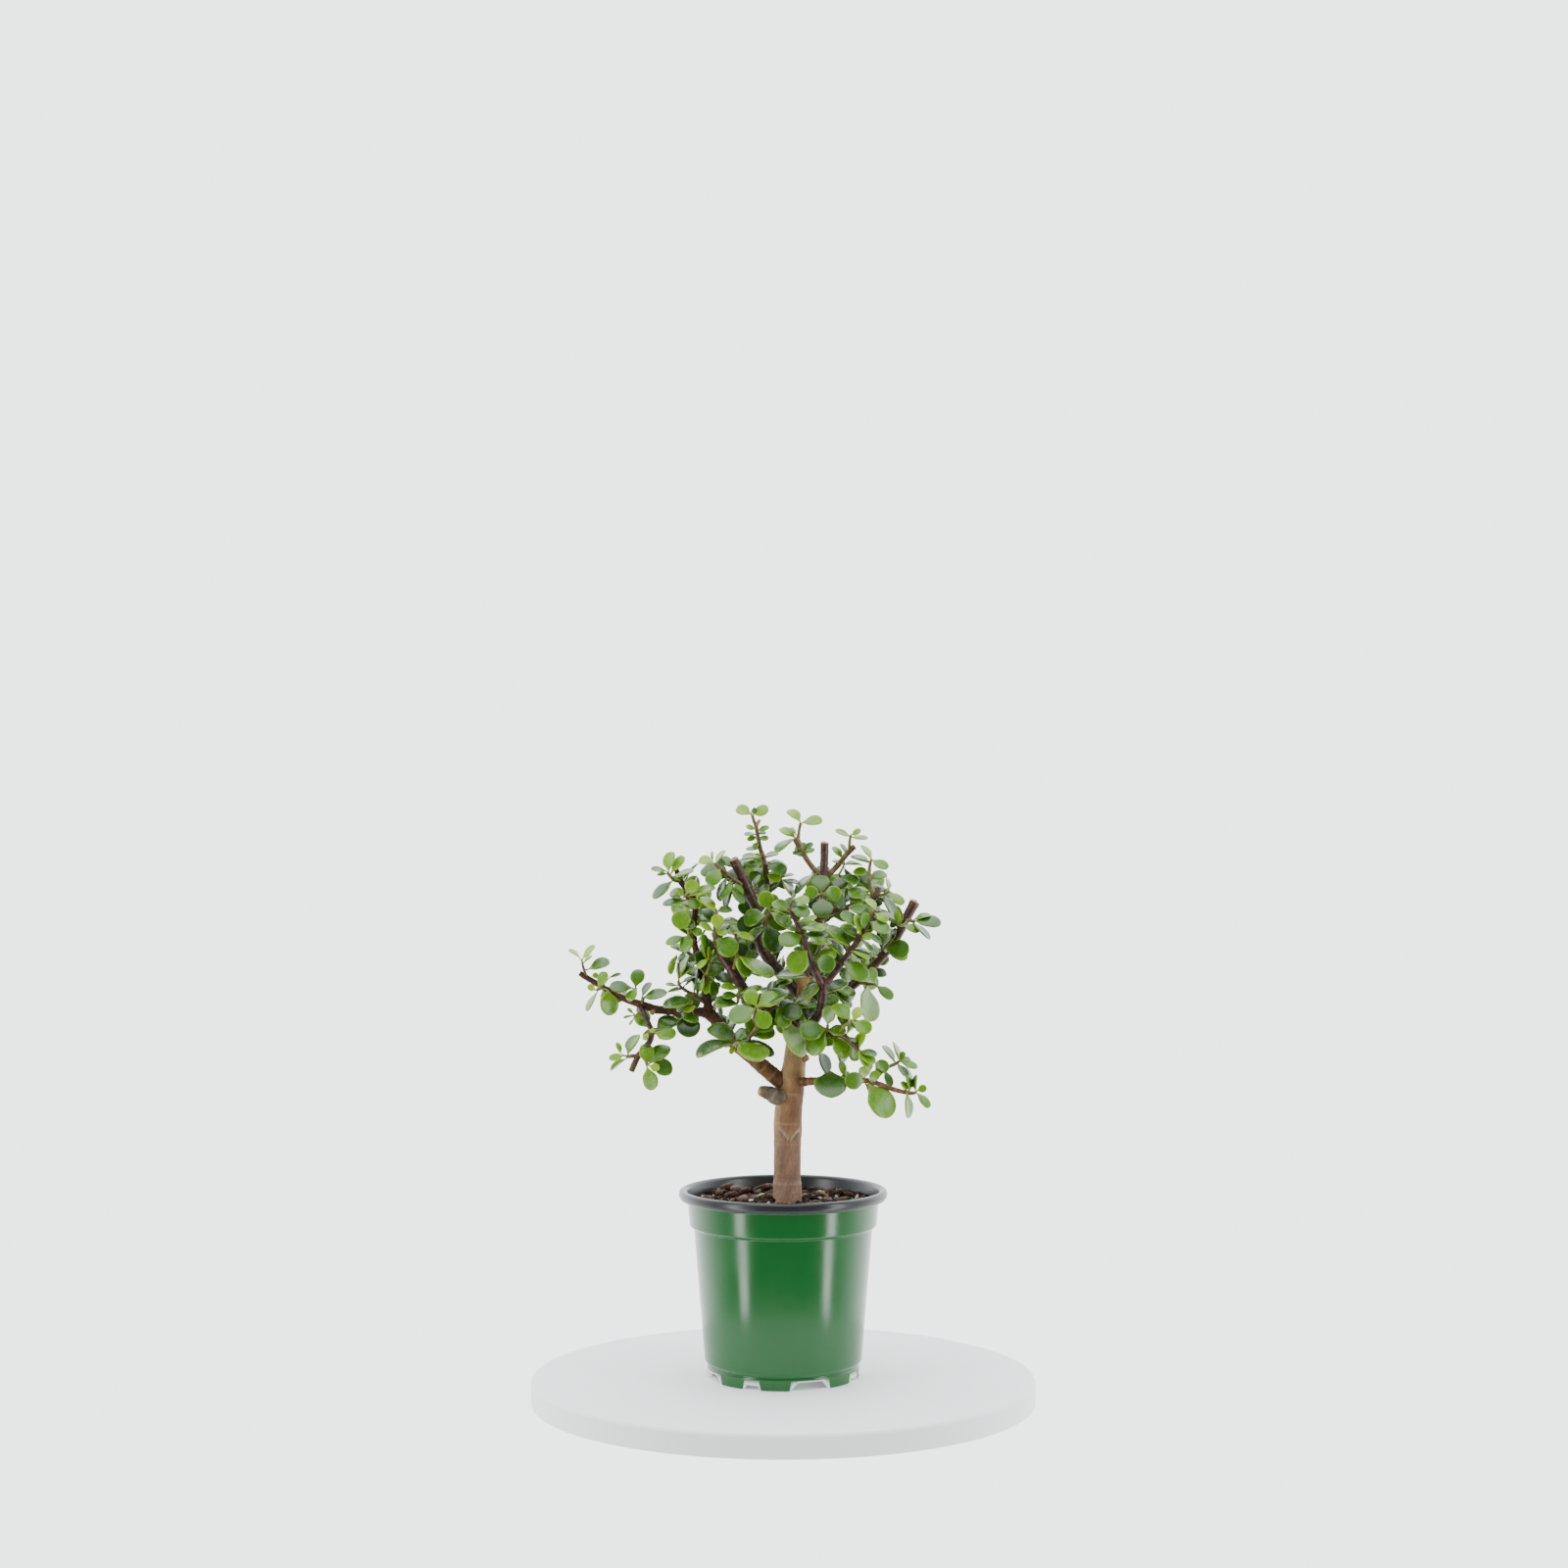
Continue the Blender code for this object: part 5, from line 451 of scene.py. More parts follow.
        (10.3, 271, 15.5, 275.2, 3, .25, "k"),
        (10.6, 270.3, 16.3, 271.8, 2.5, .4, ""),
        (17.5, 259.5, 6.8, 248.8, 3.2, .12, "a")],
    "shoot_arm_right": [
        (34.6, 278.6, 26.8, 281.5, 2.8, .55, ""),
        (35.1, 279.2, 40.2, 282, 3, .65, ""),
        (34.8, 278.2, 43.8, 277.4, 2, .4, ""),
        (30.5, 267.5, 25.3, 273.3, 3.4, .55, ""),
        (32.8, 269.5, 29.6, 275, 2.2, .2, "k"),
        (31.5, 264, 41, 264, 1.8, .4, "a"),
        (30.6, 264.5, 25, 266, 1.4, .1, ""),
        (29, 259.5, 24, 255.5, 3, .4, ""),
        (29, 258.6, 39, 254.5, 4.8, .15, "")],
    "shoot_c5": [
        (19.5, 247.5, 20.8, 236.5, 11, .2, "f"),
        (19, 248.5, 11.2, 250.8, 6.5, .5, ""),
        (20.5, 249.3, 30, 249, 8, .5, ""),
        (19.6, 249.5, 19.2, 258.5, 9, .2, ""),
        (21, 248.3, 32.5, 243.5, 8, .08, "k")],
    "branch_upper_right": [
        (45.8, 267, 40.4, 274.2, 3, .65, ""),
        (45.9, 266.5, 53.8, 261.7, 5, .45, ""),
        (45, 265, 35.3, 268.8, 3, .2, ""),
        (44.6, 258.8, 36.3, 260.8, 4.8, .5, ""),
        (44.9, 256.5, 53.3, 259.5, 5, .35, ""),
        (54.6, 250.6, 53.3, 257.5, 2.2, .6, ""),
        (55, 250.2, 61.8, 243.2, 5, .6, ""),
        (51.5, 248.4, 57.7, 236.5, 5, .25, ""),
        (45, 248.6, 33.5, 248.4, 5.8, .3, ""),
        (45, 250, 36, 251.3, 2.5, .55, "k"),
        (43, 245.2, 35.4, 246.4, 4, .55, "f"),
        (43.6, 244.8, 36.8, 242, 4, .5, "f")],
    "shoot_front_b": [
        (47.8, 240.3, 43, 246.5, 4, .75, ""),
        (47.2, 239, 54.3, 234.8, 4.2, .6, ""),
        (44.6, 234.5, 54.5, 229, 6.8, .35, ""),
        (46, 237.8, 34.5, 242.5, 5.5, .25, ""),
        (42.2, 230.8, 29.5, 238.5, 5.5, .3, ""),
        (40.2, 227.5, 37, 238, 4, .6, "f"),
        (39, 225.5, 30.4, 232.5, 5, .4, ""),
        (42, 230.5, 42, 239, 5, .3, "f"),
        (40.2, 227, 29, 227.3, 9, .4, ""),
        (40.5, 227.3, 46.3, 226.3, 4.2, .55, "f"),
        (40, 226, 46.5, 218.5, 2.4, .3, ""),
        (41.8, 229, 51, 223, 2.8, .3, "k"),
        (31.5, 215.3, 22, 226, 4.5, .35, ""),
        (35, 220.5, 22, 232.5, 6, .45, "k"),
        (31, 213.8, 43.5, 204.5, 9, .4, "s"),
        (34.5, 219.3, 41, 214.8, 2, .15, ""),
        (35.5, 220, 48.3, 217.3, 2, .15, "k"),
        (35, 219.5, 44.5, 215.4, 1.6, .5, ""),
        (29, 211, 34.5, 204.5, 4, .15, "k")],
    "shoot_right_end": [
        (60.8, 232.8, 59, 243, 2.2, .25, "B"),
        (59.3, 233.6, 59.5, 240.5, 3.5, .6, "f"),
        (58.5, 234, 49, 241, 2.5, .05, ""),
        (59.5, 233.2, 52.8, 236.6, 1.8, .3, ""),
        (68.2, 234.8, 81.2, 232.5, 5.5, .2, "a"),
        (67.6, 235.4, 76.4, 237.6, 2, .35, "a"),
        (62, 232.5, 70.5, 229.5, 4.2, .5, "f"),
        (67, 233.9, 75.5, 225.3, 2.6, .1, "")],
    "shoot_right_mid": [
        (53, 221.6, 65.2, 219.2, 9.8, .3, ""),
        (52.8, 220.5, 64.4, 215.8, 6.5, .5, "k"),
        (56.3, 224.7, 50.4, 228, 3, .5, ""),
        (56.6, 225.2, 58.4, 231.4, 1.8, .1, "")],
    "shoot_right_twig": [
        (47.5, 202.5, 45, 211, 5, .45, "f"),
        (48, 201.6, 56.6, 194.6, 5.4, .4, ""),
        (43, 201.8, 43.5, 183, 10.5, .4, "w")],
    "shoot_right_inner": [
        (26, 201.5, 36.8, 195.8, 4.5, .4, ""),
        (25.6, 200.5, 35, 192.6, 4, .3, "f"),
        (26.6, 198, 35, 189.8, 4, .4, "k"),
        (26.2, 197.8, 27, 190, 3, .3, "")],
    "branch_front_low": [
        (36, 183.5, 40.5, 190, 5.5, .8, ""),
        (34.8, 183.6, 26, 191.5, 7, .5, ""),
        (36, 182.6, 45.5, 177.8, 7.5, .45, ""),
        (23, 181, 24.6, 190.5, 7, .35, "p"),
        (22.5, 179.3, 8.5, 177.3, 10, .2, ""),
        (22, 178, 14.2, 165.4, 9.2, .45, ""),
        (22.5, 178.5, 32.5, 177.5, 5.5, .45, "f"),
        (25.5, 175, 33.6, 164.3, 9, .55, "f"),
        (27.5, 175.6, 31.5, 161.5, 7, .2, "k"),
        (33.5, 175, 37.6, 172, 2, .1, ""),
        (38.6, 168, 41.2, 177.5, 5, .65, ""),
        (38.6, 168, 44.6, 157.6, 5, .5, ""),
        (39, 167.3, 47, 160.8, 5, .55, ""),
        (39.2, 167.6, 48.5, 165.2, 3, .3, "")],
    "branch_low_right": [
        (22.5, 154, 20, 166.5, 6, .05, "k"),
        (24.3, 157.5, 24.5, 143.4, 17, .15, "fs"),
        (32.5, 154.5, 29, 162, 4, .6, ""),
        (42.5, 152.2, 31.8, 152.5, 9.2, .3, "f"),
        (42.5, 153.2, 40.2, 159.5, 4.75, .75, ""),
        (44, 152, 50, 156.4, 5, .5, "f"),
        (44, 150.8, 55.4, 133.4, 13, .45, "f"),
        (47.5, 157, 54, 162, 7.5, .45, ""),
        (52.5, 157.8, 55.5, 149, 4.2, .15, ""),
        (58, 161.5, 51.5, 170.5, 2.8, .35, ""),
        (60, 162.8, 57, 172.4, 2.4, .55, ""),
        (60.3, 162.8, 63, 167, 3, .5, "f"),
        (60.3, 162.5, 66, 163.4, 2.4, .15, "k"),
        (60.5, 162.2, 69.6, 159, 3.4, .45, ""),
        (59, 161.2, 63.7, 154, 3.6, .15, ""),
        (65.2, 146.5, 64.4, 159, 4, .45, ""),
        (64, 146.4, 61.4, 152, 3, .7, ""),
        (64, 146, 64.2, 132.7, 4.2, .5, ""),
        (68.6, 146.8, 68.7, 155.4, 2, .55, ""),
        (69.2, 147, 74.2, 149, 4, .5, "f"),
        (69, 146, 75.7, 138.3, 4.2, .4, "")],
    "shoot_center": [
        (-13.8, 190.8, -18.5, 199.4, 8, .55, ""),
        (-13.4, 190.6, -2.5, 196.5, 8, .5, ""),
        (-12.9, 190.3, 1.5, 199, 7, .2, "k"),
        (-13.5, 189.5, -8, 179.5, 8.6, .45, "f"),
        (-14.2, 189.7, -27.5, 183.5, 9.5, .35, ""),
        (-17, 175.5, -4.5, 178.5, 8, .55, ""),
        (-17.2, 175.5, -17.6, 185.2, 6, .45, "k")],
    "shoot_low_left": [
        (-24.8, 171.3, -38, 180.5, 8.5, .3, ""),
        (-25.6, 171.5, -44.9, 164.3, 5, .15, "a"),
        (-24.6, 172, -19.8, 179.4, 5, .2, ""),
        (-25, 170.5, -27.4, 166, 2.8, .8, "f"),
        (-23.8, 172.2, -9.8, 163.2, 9.5, .5, "f"),
        (-23.6, 172.4, -4.6, 165.5, 6, .1, "k")],
    "shoot_c2": [
        (-3.5, 189, 2.4, 179.8, 8, .4, "f"),
        (-3.3, 189.3, 9.5, 186.5, 9, .05, ""),
        (-3, 189.6, 5, 193.4, 4, .15, ""),
        (1.5, 184, 8.6, 164.5, 10, .4, "w")],
    "shoot_c3": [
        (6, 191.8, 18.5, 201, 4.6, .3, "p"),
        (6.6, 191.6, 17.5, 191.3, 3.4, .5, "")],
    "shoot_c6": [
        (-3.8, 201.6, 2.8, 207.2, 2.6, .4, ""),
        (-3.2, 201.5, 4.4, 205, 4.2, .55, "")],
}

# shoots that fill the crown's far side: (piece, stem it grows from, start
# x z y, end x z y, seed).  Their leaves come from the rule in back_leaves().
BACK = [
    ("shoot_back_1", "branch_left", (-58, 188.3, -3.5), (-56, 196, 24), 3),
    ("shoot_back_2", "branch_left", (-86, 196.3, -3), (-84, 199, 18), 5),
    ("shoot_back_3", "branch_left", (-27, 174, -3.5), (-33, 176, 26), 8),
    ("shoot_back_4", "branch_left_up", (-43, 211, -4), (-43, 216, 22), 13),
    ("shoot_back_5", "branch_left_up", (-46, 238, -4), (-50, 246, 17), 21),
    ("shoot_back_6", "branch_topleft", (-12.5, 224.5, 6), (-18, 233, 34), 36),
    ("shoot_back_7", "branch_topleft", (-17, 248, -5), (-15, 260, 16), 55),
    ("shoot_back_8", "leader", (17, 220, 8), (26, 230, 36), 89),
    ("shoot_back_9", "leader", (19.8, 247, 3.5), (26, 254, 26), 144),
    ("shoot_back_10", "trunk", (9.2, 183, 1.2), (-2, 190, 40), 233),
    ("shoot_back_11", "branch_right", (38.5, 203.5, 4), (33, 224, 26), 377),
    ("shoot_back_12", "trunk", (6, 164, .3), (22, 172, 36), 610),
    ("shoot_back_13", "branch_upper_right", (38, 243.4, 1.2), (42, 250, 22), 987),
    ("shoot_back_14", "trunk", (10.2, 188, 1.5), (4, 204, 36), 1597),
]


def true_point(x, y, z):
    """A point of the perspective elevation at its real place, in mm."""
    k = (EYE_D + y) / EYE_D
    return Vector((x * k, y, EYE_H + (z - EYE_H) * k))


def drawn_point(p):
    """The reverse: where a real point falls on the elevation."""
    k = EYE_D / (EYE_D + p.y)
    return p.x * k, EYE_H + (p.z - EYE_H) * k


def stem_points(name):
    return [(true_point(x, y * DEPTH, z), r)
            for x, z, y, r in STEM_ROWS[name]]


def closest_on_stem(name, x, z):
    """Nearest centre-line place to (x, z) on the elevation: how far off it
    is there, the real point and the radius."""
    best = None
    pts = clear_start(name)
    for (a, ra), (b, rb) in zip(pts, pts[1:]):
        ax, az = drawn_point(a)
        bx, bz = drawn_point(b)
        dx, dz = bx - ax, bz - az
        t = ((x - ax) * dx + (z - az) * dz) / max(dx * dx + dz * dz, 1e-9)
        # a leaf never joins right at a stem's very end
        far = 1 - (0.8 / (b - a).length if b is pts[-1][0] else 0.0)
        near = 0.6 / (b - a).length if a is pts[0][0] else 0.0
        t = min(max(far, near), max(near, t))
        d = math.hypot(ax + dx * t - x, az + dz * t - z)
        if best is None or d < best[0]:
            best = (d, a.lerp(b, t), ra + (rb - ra) * t)
    return best


def gap_to_stem(p, pts):
    """Distance from a real point to a stem's surface, and its direction."""
    best = None
    for (a, ra), (b, rb) in zip(pts, pts[1:]):
        ab = b - a
        t = min(1.0, max(0.0, (p - a).dot(ab) / max(ab.length_squared, 1e-9)))
        d = (p - (a + ab * t)).length - (ra + (rb - ra) * t)
        if best is None or d < best[0]:
            best = (d, ab.normalized())
    return best


class Leaf:
    """One leaf: where it joins, where its blade starts and ends, its width
    and its upper side's direction."""

    def __init__(self, piece, stem, root, base, tip, width, tone, flags):
        self.piece, self.stem = piece, stem
        self.root, self.base, self.tip = root, base, tip
        self.width, self.tone, self.flags = width, tone, flags
        self.normal = Vector((0, 0, 1))
        self.row = None
        self.made = False

    @property
    def length(self):
        return (self.tip - self.base).length


LEAF_RATIO = 0.80      # a leaf's width against its length


def place(leaf):
    """Stands a drawn leaf up in space from its row, depth and lean."""
    bx, bz, tx, tz, w, tone, flags = leaf.row
    leaf.base = true_point(bx, leaf.y, bz)
    leaf.tip = true_point(tx, leaf.y + leaf.lean, tz)
    e = (leaf.tip - leaf.base)
    ln = e.length
    e.normalize()
    full = max(w, min(LEAF_RATIO, 0.74 + 0.004 * ln) * ln * leaf.slim)
    leaf.width = full
    view = Vector((0, -1, 0))
    side = (view - e * view.dot(e)).normalized()
    up = e.cross(side)
    if up.z < 0 or (abs(up.z) < 0.05 and up.x < 0):
        up = -up
    roll = math.acos(min(1.0, w / full))
    if "B" in flags:
        leaf.normal = side * -math.cos(roll) + up * math.sin(roll)
    else:
        leaf.normal = side * math.cos(roll) + up * math.sin(roll)


def drawn_leaves():
    out = []
    for piece, rows in LEAVES.items():
        stems = [n for n in STEMS if STEMS[n][0] == piece]
        for i, row in enumerate(rows):
            bx, bz, tx, tz, w, tone, flags = row
            near = min((closest_on_stem(n, bx, bz) + (n,) for n in stems),
                       key=lambda q: q[0])
            d, at, at_r, stem = near
            leaf = Leaf(piece, stem, at, None, None, w, tone, flags)
            leaf.row = row
            leaf.stem_r = at_r
            flat = math.hypot(tx - bx, tz - bz)
            want = w / LEAF_RATIO
            # a leaf seen shorter than it is leans; one seen in full keeps a
            # small lean of its own
            h = math.sin(i * 12.9898 + len(piece) * 4.1 + bx * .37) * 43758.5453
            h -= math.floor(h)
            lean = math.sqrt(max(0.0, want * want - flat * flat))
            lean = max(lean, flat * (0.12 + 0.38 * h))
            if "k" in flags:
                sign = 1
            elif "f" in flags or tz < bz:
                sign = -1
            else:
                sign = 1 if h > 0.45 else -1
            leaf.lean = sign * lean
            leaf.slim = 0.86 + 0.2 * h if w < 0.6 * flat else 1.0
            front = -0.6 if sign < 0 else 0.6
            leaf.y = at.y + front * at_r
            place(leaf)
            leaf.root = at + (leaf.base - at).normalized() * (0.3 * at_r)
            out.append(leaf)
    return out


def outline(v):
    """Half-width of a leaf along its length, 0 to 1: round at the tip and
    wedge-shaped at the base, widest past the middle."""
    if v <= 0 or v >= 1:
        return 0.0
    f = 2 * math.sqrt(v * (1 - v)) * (1 + 0.42 * (v - 0.5))
    s = min(1.0, v / 0.42)
    s = s * s * (3 - 2 * s)
    return f * (0.30 + 0.70 * s) / 1.035


def thickness(leaf):
    return min(2.1, max(0.9, 0.17 * leaf.width))


RINGS = (0.10, 0.50, 0.82)
RINGS_SMALL = (0.14, 0.62)
RINGS_TINY = (0.55,)
SMALL_LEAF = 13.0
TINY_LEAF = 8.5


def leaf_solid(leaf, grow=0.0):
    """The plain closed leaf: a point inside the stem, one to three
    four-cornered rings and a point at the tip."""
    rings = (RINGS if leaf.length > SMALL_LEAF else
             RINGS_SMALL if leaf.length > TINY_LEAF else RINGS_TINY)
    e = (leaf.tip - leaf.base).normalized()
    n = leaf.normal
    s = e.cross(n).normalized()
    ln = leaf.length
    th = thickness(leaf) / 2
    verts = [leaf.root.copy()]
    arch = 0.10 * ln if "a" in leaf.flags else 0.03 * ln
    stalk = leaf.base - leaf.root
    bent = (stalk.length > 1.0 and stalk.normalized().dot(e) < 0.5
            or stalk.length > 3.0)
    if bent:
        # a stalk that turns before the blade starts
        d = stalk.normalized()
        for at, m, r in ((leaf.root + d * 0.12, d, 0.30 + grow),
                         (leaf.base, (d + e * 1.2).normalized(),
                          0.38 + grow)):
            s1 = (s - m * s.dot(m))
            s1 = s1.normalized() if s1.length > 0.1 else n.cross(m)
            n1 = s1.cross(m)
            verts += [at + q * r for q in (s1, n1, -s1, -n1)]
    for v in rings:
        hw = max(0.42, outline(v) * leaf.width / 2) + grow
        ht = max(0.34, th * math.sqrt(max(0.0, 4 * v * (1 - v)))) + grow
        c = leaf.base + e * (v * ln) + n * (arch * 4 * v * (1 - v))
        verts += [c + s * hw, c + n * ht, c - s * hw, c - n * ht]
    verts.append(leaf.tip + e * grow)
    faces = []
    for k in range(4):
        faces.append((0, 1 + (k + 1) % 4, 1 + k))
    for r in range(len(rings) - 1 + 2 * bent):
        for k in range(4):
            a, b = 1 + r * 4 + k, 1 + r * 4 + (k + 1) % 4
            faces.append((a, b, b + 4, a + 4))
    t = len(verts) - 1
    for k in range(4):
        faces.append((t, t - 4 + k, t - 4 + (k + 1) % 4))
    return verts, faces


def tris(faces):
    for f in faces:
        yield (f[0], f[1], f[2])
        if len(f) == 4:
            yield (f[0], f[2], f[3])


def ring_frames(pts):
    """Centre, side, up and radius at each point of a tube, with no twist."""
    out = []
    side = None
    for i, (p, r) in enumerate(pts):
        a = pts[max(0, i - 1)][0]
        b = pts[min(len(pts) - 1, i + 1)][0]
        t = (b - a).normalized()
        if side is None:
            ref = Vector((0, 1, 0)) if abs(t.y) < 0.8 else Vector((1, 0, 0))
            side = ref.cross(t).normalized()
        side = (side - t * side.dot(t)).normalized()
        out.append((p, side, t.cross(side).normalized(), r, t))
    return out


def tube_solid(pts, sides, grow=0.0, phase=0.0):
    """A closed tube through the points, with a slightly domed cap each end."""
    verts, faces = [], []
    fr = ring_frames(pts)
    for p, s, u, r, t in fr:
        for k in range(sides):
            a = 2 * math.pi * k / sides + phase
            verts.append(p + (s * math.cos(a) + u * math.sin(a)) * (r + grow))
    for i in range(len(fr) - 1):
        for k in range(sides):
            a, b = i * sides + k, i * sides + (k + 1) % sides
            faces.append((a, b, b + sides, a + sides))
    n = len(verts)
    verts.append(fr[0][0] - fr[0][4] * (0.12 * fr[0][3] + grow))
    verts.append(fr[-1][0] + fr[-1][4] * (0.12 * fr[-1][3] + grow))
    last = (len(fr) - 1) * sides
    for k in range(sides):
        faces.append((n, (k + 1) % sides, k))
        faces.append((n + 1, last + k, last + (k + 1) % sides))
    return verts, faces


def clear_start(name):
    """A side stem's points, from where it is clear of the piece it leaves."""
    if name not in _CLEAR:
        _CLEAR[name] = find_clear_start(name)
    return _CLEAR[name]


_CLEAR = {}
# thick branches keep their whole length, starting inside what they leave
FITTED = ("branch_left", "branch_left_up", "branch_left_mid",
          "branch_topleft", "leader", "branch_front", "branch_right",
          "branch_low_right", "branch_front_low", "branch_left_down")


def find_clear_start(name):
    piece, parent, kind, rows = STEMS[name]
    pts = stem_points(name)
    if parent is None or STEMS[parent][0] == piece or name in FITTED:
        return pts
    host = stem_points(parent)
    steps = []
    for (a, ra), (b, rb) in zip(pts, pts[1:]):
        for k in range(24):
            t = k / 24
            steps.append((a.lerp(b, t), ra + (rb - ra) * t,
                          (b - a).normalized(), pts.index((b, rb))))
    for p, r, d, nxt in steps:
        g, along = gap_to_stem(p, host)
        if g >= GAP + 0.15 + 0.12 * r + r * abs(d.dot(along)):
            keep = [(p, r)] + [q for q in pts[nxt:]
                               if (q[0] - p).length > 0.8]
            return keep if len(keep) > 1 else [(p, r), pts[-1]]
    raise ValueError(name + " never leaves " + parent)


def seen(x, z, boxes):
    """True where (x, z) on the elevation lies behind a leaf or a stem."""
    for bx, bz, ex, ez, flat, w in boxes:
        dx, dz = x - bx, z - bz
        v = (dx * ex + dz * ez) / flat
        if 0.02 < v < 0.97:
            if abs(dx * ez - dz * ex) < 0.5 * w * outline(v) * 0.97:
                return True
    return False


def cover_boxes(leaves):
    out = []
    for lf in leaves:
        bx, bz, tx, tz, w, tone, flags = lf.row
        flat = math.hypot(tx - bx, tz - bz)
        if flat > 2.5 and w > 2.0:
            out.append((bx, bz, (tx - bx) / flat, (tz - bz) / flat, flat, w))
    for name, (piece, parent, kind, rows) in STEMS.items():
        for a, b in zip(rows, rows[1:]):
            flat = math.hypot(b[0] - a[0], b[1] - a[1])
            if flat > 1 and name in STEM_ROWS_DRAWN:
                out.append((a[0] - (b[0] - a[0]) * .3, a[1] - (b[1] - a[1]) * .3,
                            (b[0] - a[0]) / flat, (b[1] - a[1]) / flat,
                            flat * 1.6, a[3] * 2))
    return out


def back_leaves(leaves):
    """Leaves for the shoots of the far side: opposite pairs set crosswise
    along each shoot, kept only where the front of the crown hides them."""
    boxes = cover_boxes(leaves)
    out = []
    for piece, parent, start, end, seed in BACK:
        rnd = random.Random(seed)
        pts = stem_points(piece)
        lens = [0.0]
        for (a, _), (b, _) in zip(pts, pts[1:]):
            lens.append(lens[-1] + (b - a).length)
        total = lens[-1]
        s = 9.0
        turn = rnd.uniform(0, 60)
        while s < total + 1.0:
            i = max(k for k in range(len(lens) - 1)
                    if lens[k] <= min(s, total - .01))
            t = min(1.0, (s - lens[i]) / (lens[i + 1] - lens[i]))
            p = pts[i][0].lerp(pts[i + 1][0], t)
            r = pts[i][1] + (pts[i + 1][1] - pts[i][1]) * t
            d = (pts[i + 1][0] - pts[i][0]).normalized()
            ref = Vector((0, 0, 1)).cross(d).normalized()
            ref2 = d.cross(ref)
            got = 0
            for k in range(12):
                ang = math.radians(turn + 30 * k + rnd.uniform(-8, 8))
                rad = ref * math.cos(ang) + ref2 * math.sin(ang)
                lift = rnd.uniform(0.45, 0.95)
                e = (rad + d * lift).normalized()
                ln = rnd.uniform(8.5, 14.0)
                ratio = rnd.uniform(0.74, 0.84)
                tone = rnd.choice((.1, .2, .3, .35, .45, .5, .6))
                if got >= 2:
                    continue
                base = p + rad * (r + 0.4) + e * 0.3
                leaf = Leaf(piece, piece, p + rad * (0.3 * r), base,
                            base + e * ln,
                            ln * ratio, tone, "")
                leaf.normal = (d - e * d.dot(e)).normalized()
                leaf.stem_r = r
                leaf.made = True
                side = e.cross(leaf.normal)
                test = [base.lerp(leaf.tip, .96), base.lerp(leaf.tip, .5),
                        base.lerp(leaf.tip, .7) + side * leaf.width * .46,
                        base.lerp(leaf.tip, .7) - side * leaf.width * .46,
                        base.lerp(leaf.tip, .4) + side * leaf.width * .38,
                        base.lerp(leaf.tip, .4) - side * leaf.width * .38]
                miss = sum(not seen(*drawn_point(q), boxes) for q in test)
                if miss == 0:
                    out.append(leaf)
                    got += 1
            turn += 47
            s += 5.5
    return out


def tree_of(solid):
    verts, faces = solid
    return BVHTree.FromPolygons(verts, list(tris(faces)))


def box_of(verts):
    return ([min(v[i] for v in verts) for i in range(3)],
            [max(v[i] for v in verts) for i in range(3)])


def boxes_meet(a, b):
    return all(a[0][i] <= b[1][i] and b[0][i] <= a[1][i] for i in range(3))


def blade(leaf):
    """The outer part of a leaf, for testing it against its own piece."""
    cut = Leaf(leaf.piece, leaf.stem, leaf.base.lerp(leaf.tip, 0.32),
               leaf.base.lerp(leaf.tip, 0.32), leaf.tip, leaf.width * .95,
               leaf.tone, leaf.flags)
    cut.normal = leaf.normal
    return cut


